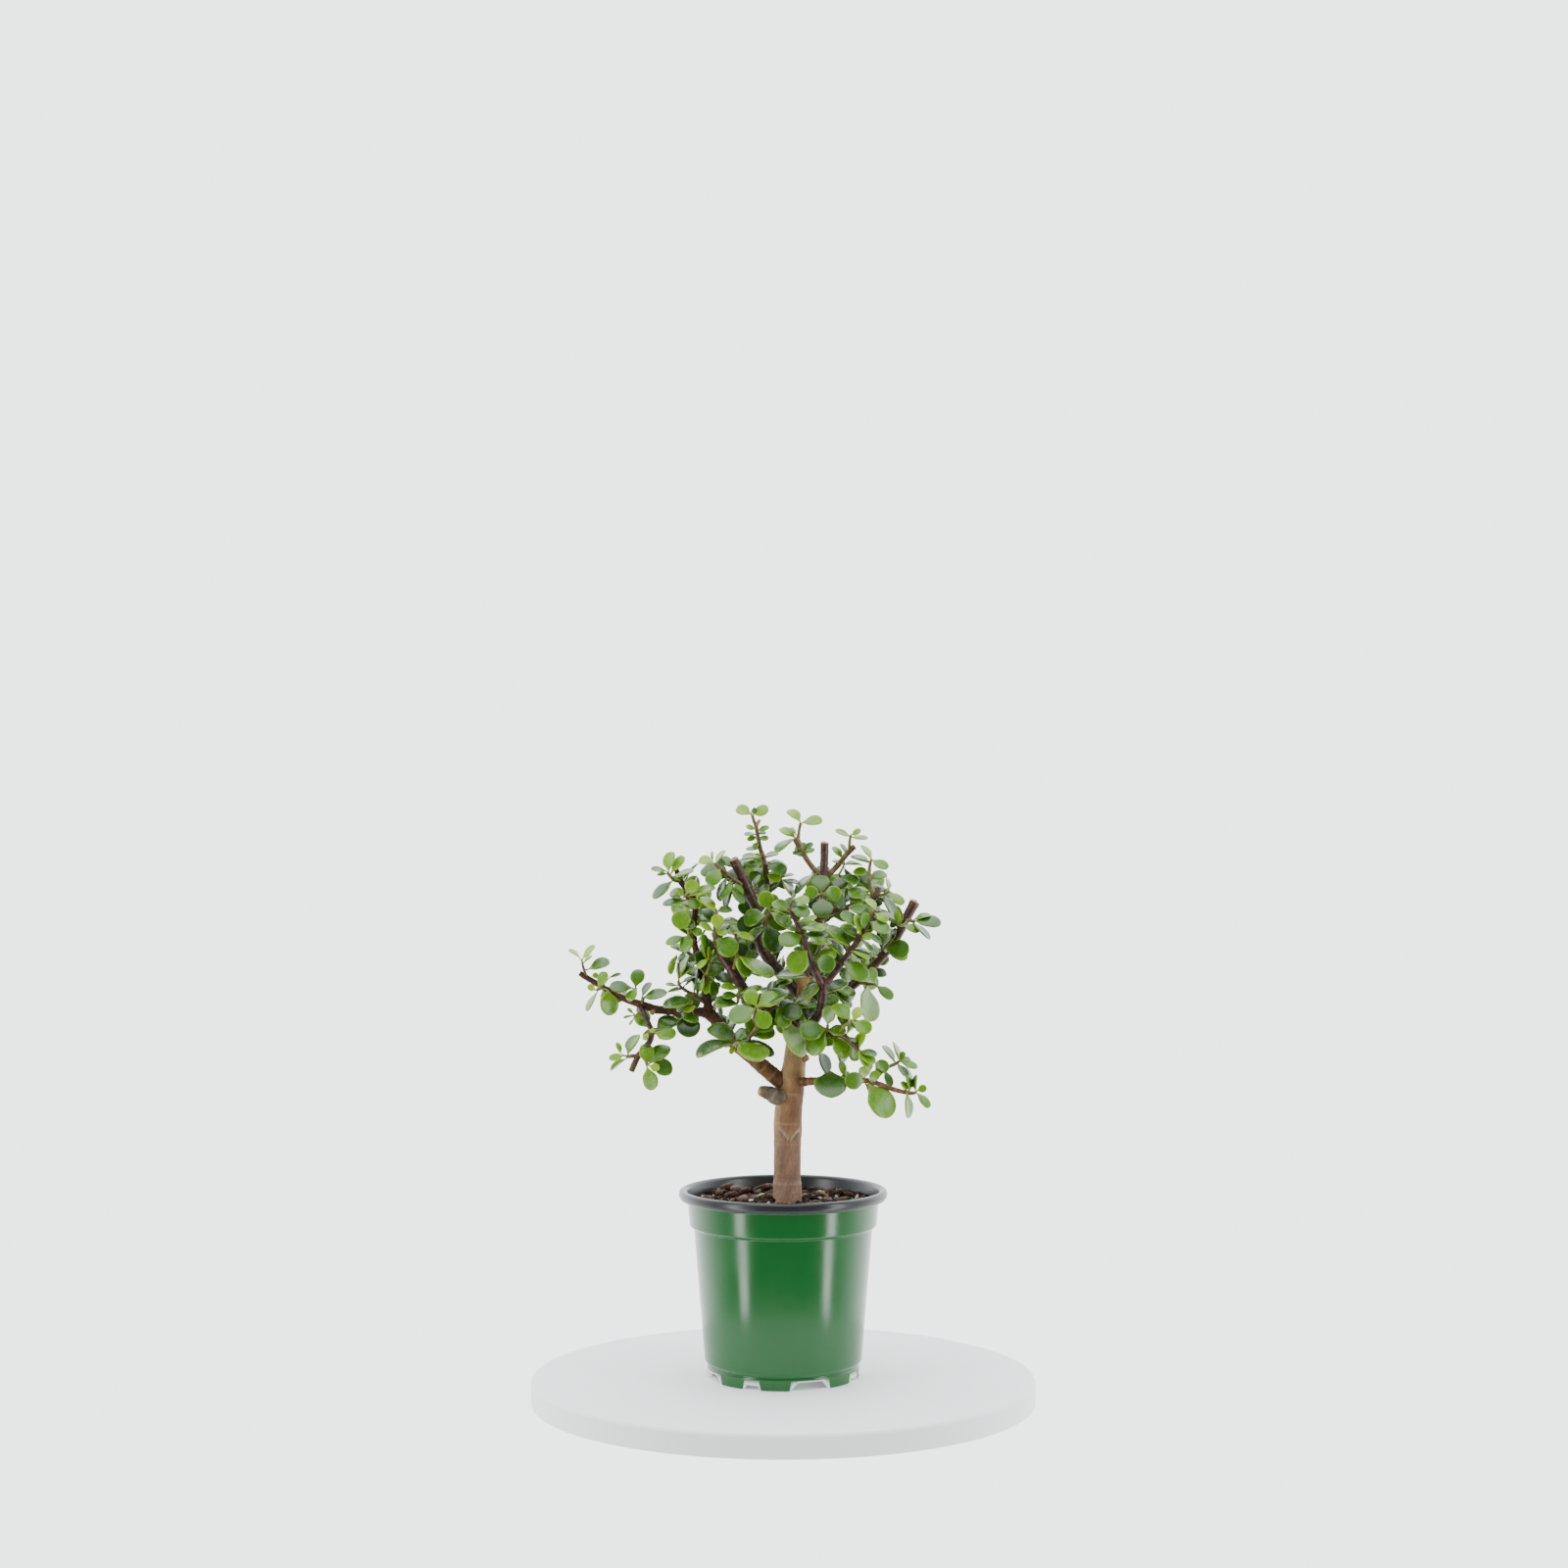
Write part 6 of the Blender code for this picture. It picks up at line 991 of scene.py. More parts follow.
def settle(leaves, rounds=60):
    """Moves leaves in depth, and never on the elevation, until none of them
    runs through another piece's leaf or stem; a far-side leaf that cannot
    clear is dropped."""
    stems = []
    for name, (piece, parent, kind, rows) in STEMS.items():
        solid = tube_solid(clear_start(name), 8, GAP * 0.8)
        stems.append((piece, solid[0], tree_of(solid), box_of(solid[0])))
    grow = GAP / 2 + 0.02
    shape = {}

    def shapes(lf):
        full = leaf_solid(lf, grow)
        part = leaf_solid(blade(lf), 0.05)
        return (tree_of(full), box_of(full[0]), tree_of(part),
                box_of(part[0]), lf.base.lerp(lf.tip, 0.55))

    for lf in leaves:
        shape[id(lf)] = shapes(lf)
    report = []
    for step in range(rounds):
        hits = []
        moved = set()
        for i, a in enumerate(leaves):
            sa = shape[id(a)]
            for piece, verts, tree, box in stems:
                if piece == a.piece or not boxes_meet(sa[1], box):
                    continue
                pairs = sa[0].overlap(tree)
                if pairs:
                    mid = sum((v.y for v in verts), 0.0) / len(verts)
                    near = min(verts, key=lambda v: (v - sa[4]).length)
                    hits.append((a, None, sa[4].y - near.y))
            for b in leaves[i + 1:]:
                sb = shape[id(b)]
                if not boxes_meet(sa[1], sb[1]):
                    continue
                if a.piece == b.piece:
                    if sa[2].overlap(sb[2]):
                        hits.append((a, b, sa[4].y - sb[4].y))
                elif sa[0].overlap(sb[0]):
                    hits.append((a, b, sa[4].y - sb[4].y))
        if not hits:
            break
        push = {}
        for a, b, dy in hits:
            s = 1 if dy > 0 else -1
            if b is None:
                push[id(a)] = push.get(id(a), 0) + 2 * s
            else:
                push[id(a)] = push.get(id(a), 0) + s
                push[id(b)] = push.get(id(b), 0) - s
        drop = set()
        for lf in leaves:
            k = push.get(id(lf), 0)
            if id(lf) not in push:
                continue
            if lf.made:
                if step >= 8 or any(a is lf or b is lf for a, b, _ in hits
                                    if b is None or not (a.made and b.made)):
                    drop.add(id(lf))
                else:
                    other = [b if a is lf else a for a, b, _ in hits
                             if a is lf or b is lf]
                    if leaves.index(lf) > max(leaves.index(o) for o in other):
                        drop.add(id(lf))
                continue
            amt = 0.9 if step < 25 else 1.3
            k = max(-2, min(2, k))
            lf.lean += amt * k
            lim = 1.25 * max(4.0, math.hypot(lf.row[2] - lf.row[0],
                                             lf.row[3] - lf.row[1]), lf.row[4])
            lf.lean = max(-lim, min(lim, lf.lean))
            shift = 0.30 * k
            if abs(lf.y + shift - lf.root.y) < 2.6:
                lf.y += shift
            place(lf)
            shape[id(lf)] = shapes(lf)
        leaves = [lf for lf in leaves if id(lf) not in drop]
        report = hits
    return leaves, (hits if step == rounds - 1 else [])


STEM_ROWS_DRAWN = {n: v[3] for n, v in STEMS.items()}
STEM_ROWS = dict(STEM_ROWS_DRAWN)
for _piece, _parent, _start, _end, _seed in BACK:
    _rows = []
    for _k in range(5):
        _t = _k / 4
        # a far-side shoot leaves sideways and then turns up
        _sway = 3.5 * math.sin(math.pi * _t) * (1 if _seed % 2 else -1)
        _x = _start[0] + (_end[0] - _start[0]) * _t + _sway
        _z = _start[1] + (_end[1] - _start[1]) * _t ** 1.6
        _y = _start[2] + (_end[2] - _start[2]) * _t ** 0.85
        _rows.append((_x, _z, _y, 1.15 - 0.45 * _t))
    STEM_ROWS[_piece] = _rows
    STEMS[_piece] = (_piece, _parent, "olive", _rows)


# ------------------------------------------------------------ mesh building
class Build:
    """Vertices in mm from the pot's axis, faces, material numbers and a tint
    per vertex."""

    def __init__(self):
        self.v, self.f, self.m, self.c = [], [], [], []

    def add(self, verts, faces, mat, tints):
        n = len(self.v)
        self.v += [tuple(p) for p in verts]
        self.f += [tuple(i + n for i in q) for q in faces]
        self.m += [mat] * len(faces)
        self.c += tints


def mesh_of(name, build, mats):
    me = bpy.data.meshes.new(name)
    me.from_pydata([(x * MM + AXIS[0], y * MM + AXIS[1], z * MM)
                    for x, y, z in build.v], [], build.f)
    for m in mats:
        me.materials.append(m)
    me.polygons.foreach_set("material_index", build.m)
    att = me.color_attributes.new("tint", "FLOAT_COLOR", "POINT")
    flat = []
    for c in build.c:
        flat += (c[0], c[1], c[2], 1.0)
    att.data.foreach_set("color", flat)
    bm = bmesh.new()
    bm.from_mesh(me)
    bmesh.ops.recalc_face_normals(bm, faces=bm.faces)
    bm.to_mesh(me)
    bm.free()
    me.shade_smooth()
    return me


def place_piece(name, build, mats, node):
    ob = bpy.data.objects.new(name, mesh_of(name, build, mats))
    bpy.context.scene.collection.objects.link(ob)
    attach(ob, "root")
    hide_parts(node)
    return ob


def mix(a, b, t):
    t = min(1.0, max(0.0, t))
    return tuple(p + (q - p) * t for p, q in zip(a, b))


def smooth(lo, hi, v):
    """0 at lo and 1 at hi, whichever is larger, with soft ends."""
    t = min(1.0, max(0.0, (v - lo) / (hi - lo)))
    return t * t * (3 - 2 * t)


# --------------------------------------------------------------- materials
def nodes_of(name):
    mat = bpy.data.materials.new(name)
    mat.use_nodes = True
    nt = mat.node_tree
    return mat, nt, nt.nodes["Principled BSDF"]


def add_node(nt, kind, **sockets):
    nd = nt.nodes.new(kind)
    for key, value in sockets.items():
        nd.inputs[key.replace("_", " ")].default_value = value
    return nd


def tinted(name, fine, coarse, spread, rough, rough_spread, bump, spec=0.5,
           coat=0.0, speck=None, sheen=0.0, stretch=(1, 1, 1), sss=0.0):
    """A material that takes its colour from the tint and breaks it up with
    two scales of noise."""
    mat, nt, b = nodes_of(name)
    tint = nt.nodes.new("ShaderNodeAttribute")
    tint.attribute_name = "tint"
    co = nt.nodes.new("ShaderNodeTexCoord")
    mp = nt.nodes.new("ShaderNodeMapping")
    mp.inputs["Scale"].default_value = stretch
    nt.links.new(co.outputs["Object"], mp.inputs["Vector"])
    n1 = add_node(nt, "ShaderNodeTexNoise", Scale=coarse, Detail=4.0,
                  Roughness=0.6)
    n2 = add_node(nt, "ShaderNodeTexNoise", Scale=fine, Detail=5.0,
                  Roughness=0.65)
    nt.links.new(mp.outputs[0], n1.inputs["Vector"])
    nt.links.new(mp.outputs[0], n2.inputs["Vector"])
    r1 = nt.nodes.new("ShaderNodeMapRange")
    for key, value in (("From Min", .3), ("From Max", .7),
                       ("To Min", 1 - spread), ("To Max", 1 + spread)):
        r1.inputs[key].default_value = value
    nt.links.new(n1.outputs["Fac"], r1.inputs["Value"])
    r2 = nt.nodes.new("ShaderNodeMapRange")
    for key, value in (("From Min", .3), ("From Max", .7),
                       ("To Min", 1 - spread * .7), ("To Max", 1 + spread * .7)):
        r2.inputs[key].default_value = value
    nt.links.new(n2.outputs["Fac"], r2.inputs["Value"])
    mul = nt.nodes.new("ShaderNodeMath")
    mul.operation = "MULTIPLY"
    nt.links.new(r1.outputs[0], mul.inputs[0])
    nt.links.new(r2.outputs[0], mul.inputs[1])
    vm = nt.nodes.new("ShaderNodeVectorMath")
    vm.operation = "SCALE"
    nt.links.new(tint.outputs["Color"], vm.inputs[0])
    nt.links.new(mul.outputs[0], vm.inputs["Scale"])
    colour = vm.outputs[0]
    if speck:
        scale, size, shade = speck
        vo = add_node(nt, "ShaderNodeTexVoronoi", Scale=scale)
        nt.links.new(co.outputs["Object"], vo.inputs["Vector"])
        sr = nt.nodes.new("ShaderNodeMapRange")
        for key, value in (("From Min", size), ("From Max", size * .5),
                           ("To Min", 0.0), ("To Max", 0.75)):
            sr.inputs[key].default_value = value
        nt.links.new(vo.outputs["Distance"], sr.inputs["Value"])
        mx = nt.nodes.new("ShaderNodeMix")
        mx.data_type = "RGBA"
        mx.inputs[7].default_value = (*shade, 1)
        nt.links.new(sr.outputs[0], mx.inputs[0])
        nt.links.new(colour, mx.inputs[6])
        colour = mx.outputs[2]
    nt.links.new(colour, b.inputs["Base Color"])
    rr = nt.nodes.new("ShaderNodeMapRange")
    for key, value in (("From Min", .3), ("From Max", .7),
                       ("To Min", rough - rough_spread),
                       ("To Max", rough + rough_spread)):
        rr.inputs[key].default_value = value
    nt.links.new(n1.outputs["Fac"], rr.inputs["Value"])
    nt.links.new(rr.outputs[0], b.inputs["Roughness"])
    bp = nt.nodes.new("ShaderNodeBump")
    bp.inputs["Strength"].default_value = bump
    bp.inputs["Distance"].default_value = 0.0004
    nt.links.new(n2.outputs["Fac"], bp.inputs["Height"])
    nt.links.new(bp.outputs[0], b.inputs["Normal"])
    b.inputs["Specular IOR Level"].default_value = spec
    b.inputs["Coat Weight"].default_value = coat
    b.inputs["Coat Roughness"].default_value = 0.2
    if sss:
        b.inputs["Subsurface Weight"].default_value = sss
        b.inputs["Subsurface Radius"].default_value = (0.6, 1.0, 0.2)
        b.inputs["Subsurface Scale"].default_value = 0.002
    return mat


LEAF = tinted("leaf", 2600, 330, 0.14, 0.28, 0.08, 0.08, coat=0.12,
              speck=(900, 0.09, (0.30, 0.42, 0.12)))
WOOD = tinted("bark", 1500, 260, 0.24, 0.74, 0.10, 0.55, spec=0.3,
              speck=(700, 0.16, (0.10, 0.06, 0.04)), stretch=(1, 1, .45))
SKIN = tinted("young_bark", 1800, 300, 0.22, 0.42, 0.10, 0.35,
              stretch=(1, 1, .6))
MIX = tinted("potting_mix", 1900, 420, 0.34, 0.92, 0.06, 0.9, spec=0.25)
GREEN = tinted("pot_green", 900, 60, 0.03, 0.20, 0.03, 0.015)
BLACK = tinted("pot_black", 900, 90, 0.10, 0.30, 0.05, 0.03)


# ------------------------------------------------------------------ leaves
TONES = (
    (0.00, (0.014, 0.052, 0.001)), (0.25, (0.042, 0.135, 0.002)),
    (0.50, (0.110, 0.270, 0.003)), (0.75, (0.230, 0.420, 0.006)),
    (1.00, (0.420, 0.580, 0.020)))


def tone_colour(t):
    t = min(1.0, max(0.0, t))
    for (a, ca), (b, cb) in zip(TONES, TONES[1:]):
        if t <= b:
            return mix(ca, cb, (t - a) / (b - a))
    return TONES[-1][1]


BLADE = (0.02, 0.07, 0.13, 0.21, 0.30, 0.40, 0.50, 0.60, 0.70, 0.79, 0.87,
         0.93, 0.972, 0.993)
ROUND = 16


def fine_leaf(leaf, rnd):
    e = (leaf.tip - leaf.base).normalized()
    n = leaf.normal
    s = e.cross(n).normalized()
    ln = leaf.length
    th = thickness(leaf) / 2
    arch = 0.10 * ln if "a" in leaf.flags else 0.03 * ln
    cup = rnd.uniform(0.02, 0.11) * leaf.width
    wave = rnd.uniform(-0.03, 0.03) * leaf.width
    tone = leaf.tone + rnd.uniform(-0.05, 0.05)
    top = tone_colour(tone)
    low = mix(tone_colour(tone + 0.18), (0.15, 0.24, 0.05), 0.40)
    edge = mix(tone_colour(tone + 0.40), (0.36, 0.44, 0.05), 0.30)
    foot = mix(tone_colour(tone + 0.25), (0.30, 0.24, 0.06), 0.35)
    if "w" in leaf.flags:
        top = mix(top, (0.50, 0.60, 0.34), 0.20)
    if "p" in leaf.flags:
        top = mix(top, (0.42, 0.50, 0.14), 0.18)
    verts, tints, rings = [], [], 0

    def ring(c, s1, n1, hw, ht, v):
        nonlocal rings
        rings += 1
        for k in range(ROUND):
            a = 2 * math.pi * (k + .5 * 0) / ROUND
            ca, sa = math.cos(a), math.sin(a)
            x = hw * (abs(ca) ** 0.92) * (1 if ca >= 0 else -1)
            z = ht * (abs(sa) ** 0.80) * (1 if sa >= 0 else -1)
            q = abs(ca)
            lift = cup * q ** 2 * outline(max(0.0, min(1.0, v))) \
                + wave * ca * math.sin(v * 5)
            verts.append(c + s1 * x + n1 * (z + lift))
            base = top if sa > 0.02 else low if sa < -0.02 else \
                mix(top, edge, 0.8)
            if abs(sa) <= 0.45 and sa > 0.02:
                base = mix(base, edge, 0.22)
            base = mix(base, foot, 0.75 * (1 - smooth(0.0, 0.30, v)))
            base = mix(base, edge, 0.35 * smooth(0.9, 1.0, v))
            tints.append(base)

    stalk = leaf.base - leaf.root
    if stalk.length > 0.3:
        d = stalk.normalized()
        s0 = (s - d * s.dot(d))
        s0 = s0.normalized() if s0.length > 0.1 else n.cross(d).normalized()
        ring(leaf.root, s0, s0.cross(d), 0.5, 0.42, 0.0)
        ring(leaf.root.lerp(leaf.base, 0.6), s0, s0.cross(d), 0.48, 0.40, 0.0)
    small = min(1.0, leaf.width / 4.0)
    for v in BLADE:
        hw = max(0.42 * small if v > .5 else 0.42, outline(v) * leaf.width / 2)
        if v > 0.9:
            hw = outline(v) * leaf.width / 2
        ht = max(0.30 if v < .5 else 0.05,
                 th * (4 * v * (1 - v)) ** 0.42)
        c = leaf.base + e * (v * ln) + n * (arch * 4 * v * (1 - v))
        ring(c, s, n, hw, min(ht, hw * 1.1), v)
    faces = []
    for r in range(rings - 1):
        for k in range(ROUND):
            a, b = r * ROUND + k, r * ROUND + (k + 1) % ROUND
            faces.append((a, b, b + ROUND, a + ROUND))
    t0, t1 = len(verts), len(verts) + 1
    verts += [leaf.root - stalk * 0.05, leaf.tip]
    tints += [foot, edge]
    last = (rings - 1) * ROUND
    for k in range(ROUND):
        faces.append((t0, (k + 1) % ROUND, k))
        faces.append((t1, last + k, last + (k + 1) % ROUND))
    return verts, faces, tints


# ------------------------------------------------------------------- stems
KINDS = {
    # main shade, other shade, ring shade
    "bark": ((0.330, 0.180, 0.085), (0.190, 0.095, 0.048), (0.44, 0.26, 0.13)),
    "dead": ((0.210, 0.160, 0.115), (0.105, 0.075, 0.052), (0.42, 0.36, 0.26)),
    "old": ((0.210, 0.100, 0.040), (0.080, 0.032, 0.015), (0.32, 0.18, 0.08)),
    "dark": ((0.058, 0.020, 0.011), (0.022, 0.007, 0.005), (0.13, 0.06, 0.032)),
    "maroon": ((0.072, 0.019, 0.011), (0.028, 0.007, 0.006),
               (0.15, 0.07, 0.032)),
    "olive": ((0.150, 0.105, 0.028), (0.085, 0.034, 0.018),
              (0.24, 0.20, 0.07)),
    "green": ((0.170, 0.190, 0.030), (0.110, 0.060, 0.022),
              (0.27, 0.28, 0.07)),
    "cut": ((0.560, 0.340, 0.170), (0.300, 0.170, 0.085), (0.6, 0.4, 0.2)),
}


def curve_points(pts, step):
    """The stem's points on a smooth curve, about step apart."""
    out = []
    n = len(pts)
    for i in range(n - 1):
        p0 = pts[max(0, i - 1)][0]
        p1, p2 = pts[i][0], pts[i + 1][0]
        p3 = pts[min(n - 1, i + 2)][0]
        r1, r2 = pts[i][1], pts[i + 1][1]
        m = max(2, int((p2 - p1).length / step))
        for k in range(m):
            t = k / m
            q = (p1 * 2 + (p2 - p0) * t
                 + (p0 * 2 - p1 * 5 + p2 * 4 - p3) * t * t
                 + (p1 * 3 - p0 - p2 * 3 + p3) * t ** 3) * 0.5
            s = t * t * (3 - 2 * t)
            out.append((q, r1 + (r2 - r1) * s))
    out.append((pts[-1][0], pts[-1][1]))
    return out


def fine_stem(name, rnd):
    piece, parent, kind, rows = STEMS[name]
    base = stem_points(name)
    thick = max(r for _, r in base)
    step = 0.9 if thick > 4 else 0.7 if thick > 1.8 else 0.55
    sides = 48 if thick > 5 else 24 if thick > 1.8 else 14
    pts = curve_points(base, step)
    frames = ring_frames(pts)
    main, other, pale = KINDS[kind]
    at, rings = rnd.uniform(2, 5), []
    total = sum((b[0] - a[0]).length for a, b in zip(pts, pts[1:]))
    while at < total:
        rings.append(at)
        at += rnd.uniform(4.0, 7.5) if thick < 4.5 else rnd.uniform(9, 16)
    off = Vector((rnd.uniform(0, 90), rnd.uniform(0, 90), rnd.uniform(0, 90)))
    verts, tints, faces = [], [], []
    s_at = 0.0
    trunk = name == "trunk"
    for i, (p, sd, up, r, t) in enumerate(frames):
        if i:
            s_at += (p - frames[i - 1][0]).length
        near = min((abs(s_at - q) for q in rings), default=9)
        bulge = math.exp(-(near / 0.55) ** 2)
        for k in range(sides):
            a = 2 * math.pi * k / sides
            d = sd * math.cos(a) + up * math.sin(a)
            q = p + d * r
            n1 = noise.noise(Vector((q.x * .16, q.y * .16, q.z * .05)) + off)
            n2 = noise.noise(Vector((q.x * .7, q.y * .7, q.z * .22)) + off)
            n3 = noise.noise(q * 1.6 + off)
            rr = r * (1 + 0.05 * n1 + 0.03 * n2)
            if trunk:
                rr += 0.12 * n3 + 0.10 * bulge
            elif kind in ("dead", "cut"):
                rr += 0.22 * n3 + 0.2 * n2
            else:
                rr += (0.045 * r + 0.10) * bulge + 0.03 * n3
            c = mix(main, other, 0.42 + 0.75 * n1 + 0.5 * n2)
            c = mix(c, pale, 0.55 * bulge + max(0.0, 0.6 * n3 - .18))
            # the upper side of a slanting stem is darker
            if kind in ("old", "maroon", "dark") and parent:
                c = mix(c, other, 0.5 * smooth(0.1, 0.8, d.z))
            if name in ("branch_left", "branch_left_up"):
                c = mix(c, KINDS["dark"][0 if n2 > 0 else 1],
                        0.75 * smooth(-22, -40, q.x))
            if trunk:
                x, z = drawn_point(q)
                c = trunk_shade(c, x, z, d, n1, n2, n3)
            if kind in ("maroon", "dark", "old") and total > 20:
                c = mix(c, KINDS["olive"][0],
                        0.5 * smooth(0.75, 1.0, s_at / total)
                        if kind == "maroon" and thick < 2.1 else 0)
            verts.append(p + d * rr)
            tints.append(c)
    m = len(frames)
    for i in range(m - 1):
        for k in range(sides):
            a, b = i * sides + k, i * sides + (k + 1) % sides
            faces.append((a, b, b + sides, a + sides))
    cut = KINDS["cut"]
    ragged = name in ("trunk", "leader", "branch_topleft", "branch_right",
                      "branch_left_mid", "branch_front", "dead_stub",
                      "scar_left", "knob", "branch_left_up")
    for end, (p, sd, up, r, t) in ((0, frames[0]), (1, frames[-1])):
        sign = 1 if end else -1
        start = (m - 1) * sides if end else 0
        centre = len(verts)
        inner = centre + 1
        verts.append(p + t * sign * (0.35 if ragged and end else 0.15) * r)
        col = mix(cut[0], cut[1], .3) if ragged and end else other
        tints.append(mix(cut[1], (0.12, 0.06, .03), .3)
                     if ragged and end else other)
        for k in range(sides):
            a = 2 * math.pi * k / sides
            d = sd * math.cos(a) + up * math.sin(a)
            jag = rnd.uniform(-0.16, 0.30) * r if ragged and end else 0.10 * r
            verts.append(p + d * r * 0.62 + t * sign * jag)
            tints.append(mix(col, cut[1], rnd.random() * .7)
                         if ragged and end else other)
        for k in range(sides):
            k2 = (k + 1) % sides
            if end:
                faces.append((start + k, start + k2, inner + k2, inner + k))
                faces.append((inner + k, inner + k2, centre))
            else:
                faces.append((start + k2, start + k, inner + k, inner + k2))
                faces.append((inner + k2, inner + k, centre))
    if ragged:
        for k in range(sides):
            i = (m - 1) * sides + k
            tints[i] = mix(cut[0], cut[1], rnd.random() * .6)
            if m > 2:
                tints[i - sides] = mix(tints[i - sides], cut[1], .5)
    return verts, faces, tints


def line_gap(x, z, x0, z0, x1, z1):
    dx, dz = x1 - x0, z1 - z0
    t = max(0.0, min(1.0, ((x - x0) * dx + (z - z0) * dz)
                     / (dx * dx + dz * dz)))
    return math.hypot(x - x0 - dx * t, z - z0 - dz * t)


def trunk_shade(c, x, z, d, n1, n2, n3):
    """Where the trunk's bark is lighter, darker or scarred, with painted light on
    its left side, a band of painted shade on its right side and a painted shadow
    under the scar.
    """
    # painted light: the side of the trunk that faces left is made lighter
    c = mix(c, (0.40, 0.235, 0.125), 0.45 * smooth(0.35, 0.95, -d.x))
    # painted shade: the side of the trunk that faces right is darker between z 122
    # and 160
    dark = smooth(0.1, 0.9, d.x) * smooth(122, 134, z) * (1 - smooth(152, 160, z))
    c = mix(c, (0.085, 0.045, 0.03), 0.55 * dark)
    c = mix(c, (0.265, 0.165, 0.135), 0.45 * (1 - smooth(118, 132, z)))
    c = mix(c, (0.42, 0.285, 0.14), 0.35 * smooth(147, 156, z)
            * (1 - smooth(180, 194, z)))
    c = mix(c, (0.40, 0.31, 0.25), 0.45 * (1 - smooth(99, 103, z))
            * max(0.0, .5 + n3))
    if d.y < 0.2:
        arm = min(line_gap(x, z, -2, 127.5, 2.5, 122),
                  line_gap(x, z, 8, 126.5, 4.5, 122))
        c = mix(c, (0.55, 0.40, 0.27), 0.75 * (1 - smooth(0.3, 0.9, arm)))
        # painted shadow: a dark line 1 mm below the pale scar lines
        scar_shadow = min(line_gap(x, z + 1.0, -2, 127.5, 2.5, 122),
                    line_gap(x, z + 1.0, 8, 126.5, 4.5, 122))
        c = mix(c, (0.035, 0.018, 0.012), 0.7 * (1 - smooth(0.15, 0.6, scar_shadow)))
    c = mix(c, (0.50, 0.27, 0.12), 0.6 * smooth(199, 204, z))
    return c


# --------------------------------------------------------------------- pot
def inner_r(z):
    if z >= BAND_LOW_Z:
        return (BAND_LOW_R - WALL + (BAND_TOP_R - BAND_LOW_R)
                * (z - BAND_LOW_Z) / (91.0 - BAND_LOW_Z))
    t = (z - BODY_LOW_Z) / (STEP_Z - BODY_LOW_Z)
    return BODY_LOW_R - WALL + (STEP_R - BODY_LOW_R) * t


def corner(out, a, b, c, r, n=4):
    """Rounds the corner b between a and c."""
    def toward(p, q, d):
        ln = math.hypot(q[0] - p[0], q[1] - p[1])
        d = min(d, ln * .45)
        return (p[0] + (q[0] - p[0]) * d / ln, p[1] + (q[1] - p[1]) * d / ln)
    s, e = toward(b, a, r), toward(b, c, r)
    for k in range(n + 1):
        t = k / n
        out.append(tuple(s[i] * (1 - t) ** 2 + 2 * b[i] * t * (1 - t)
                         + e[i] * t * t for i in (0, 1)))


POT_GREEN = (0.004, 0.098, 0.014)
POT_BLACK = (0.012, 0.013, 0.016)


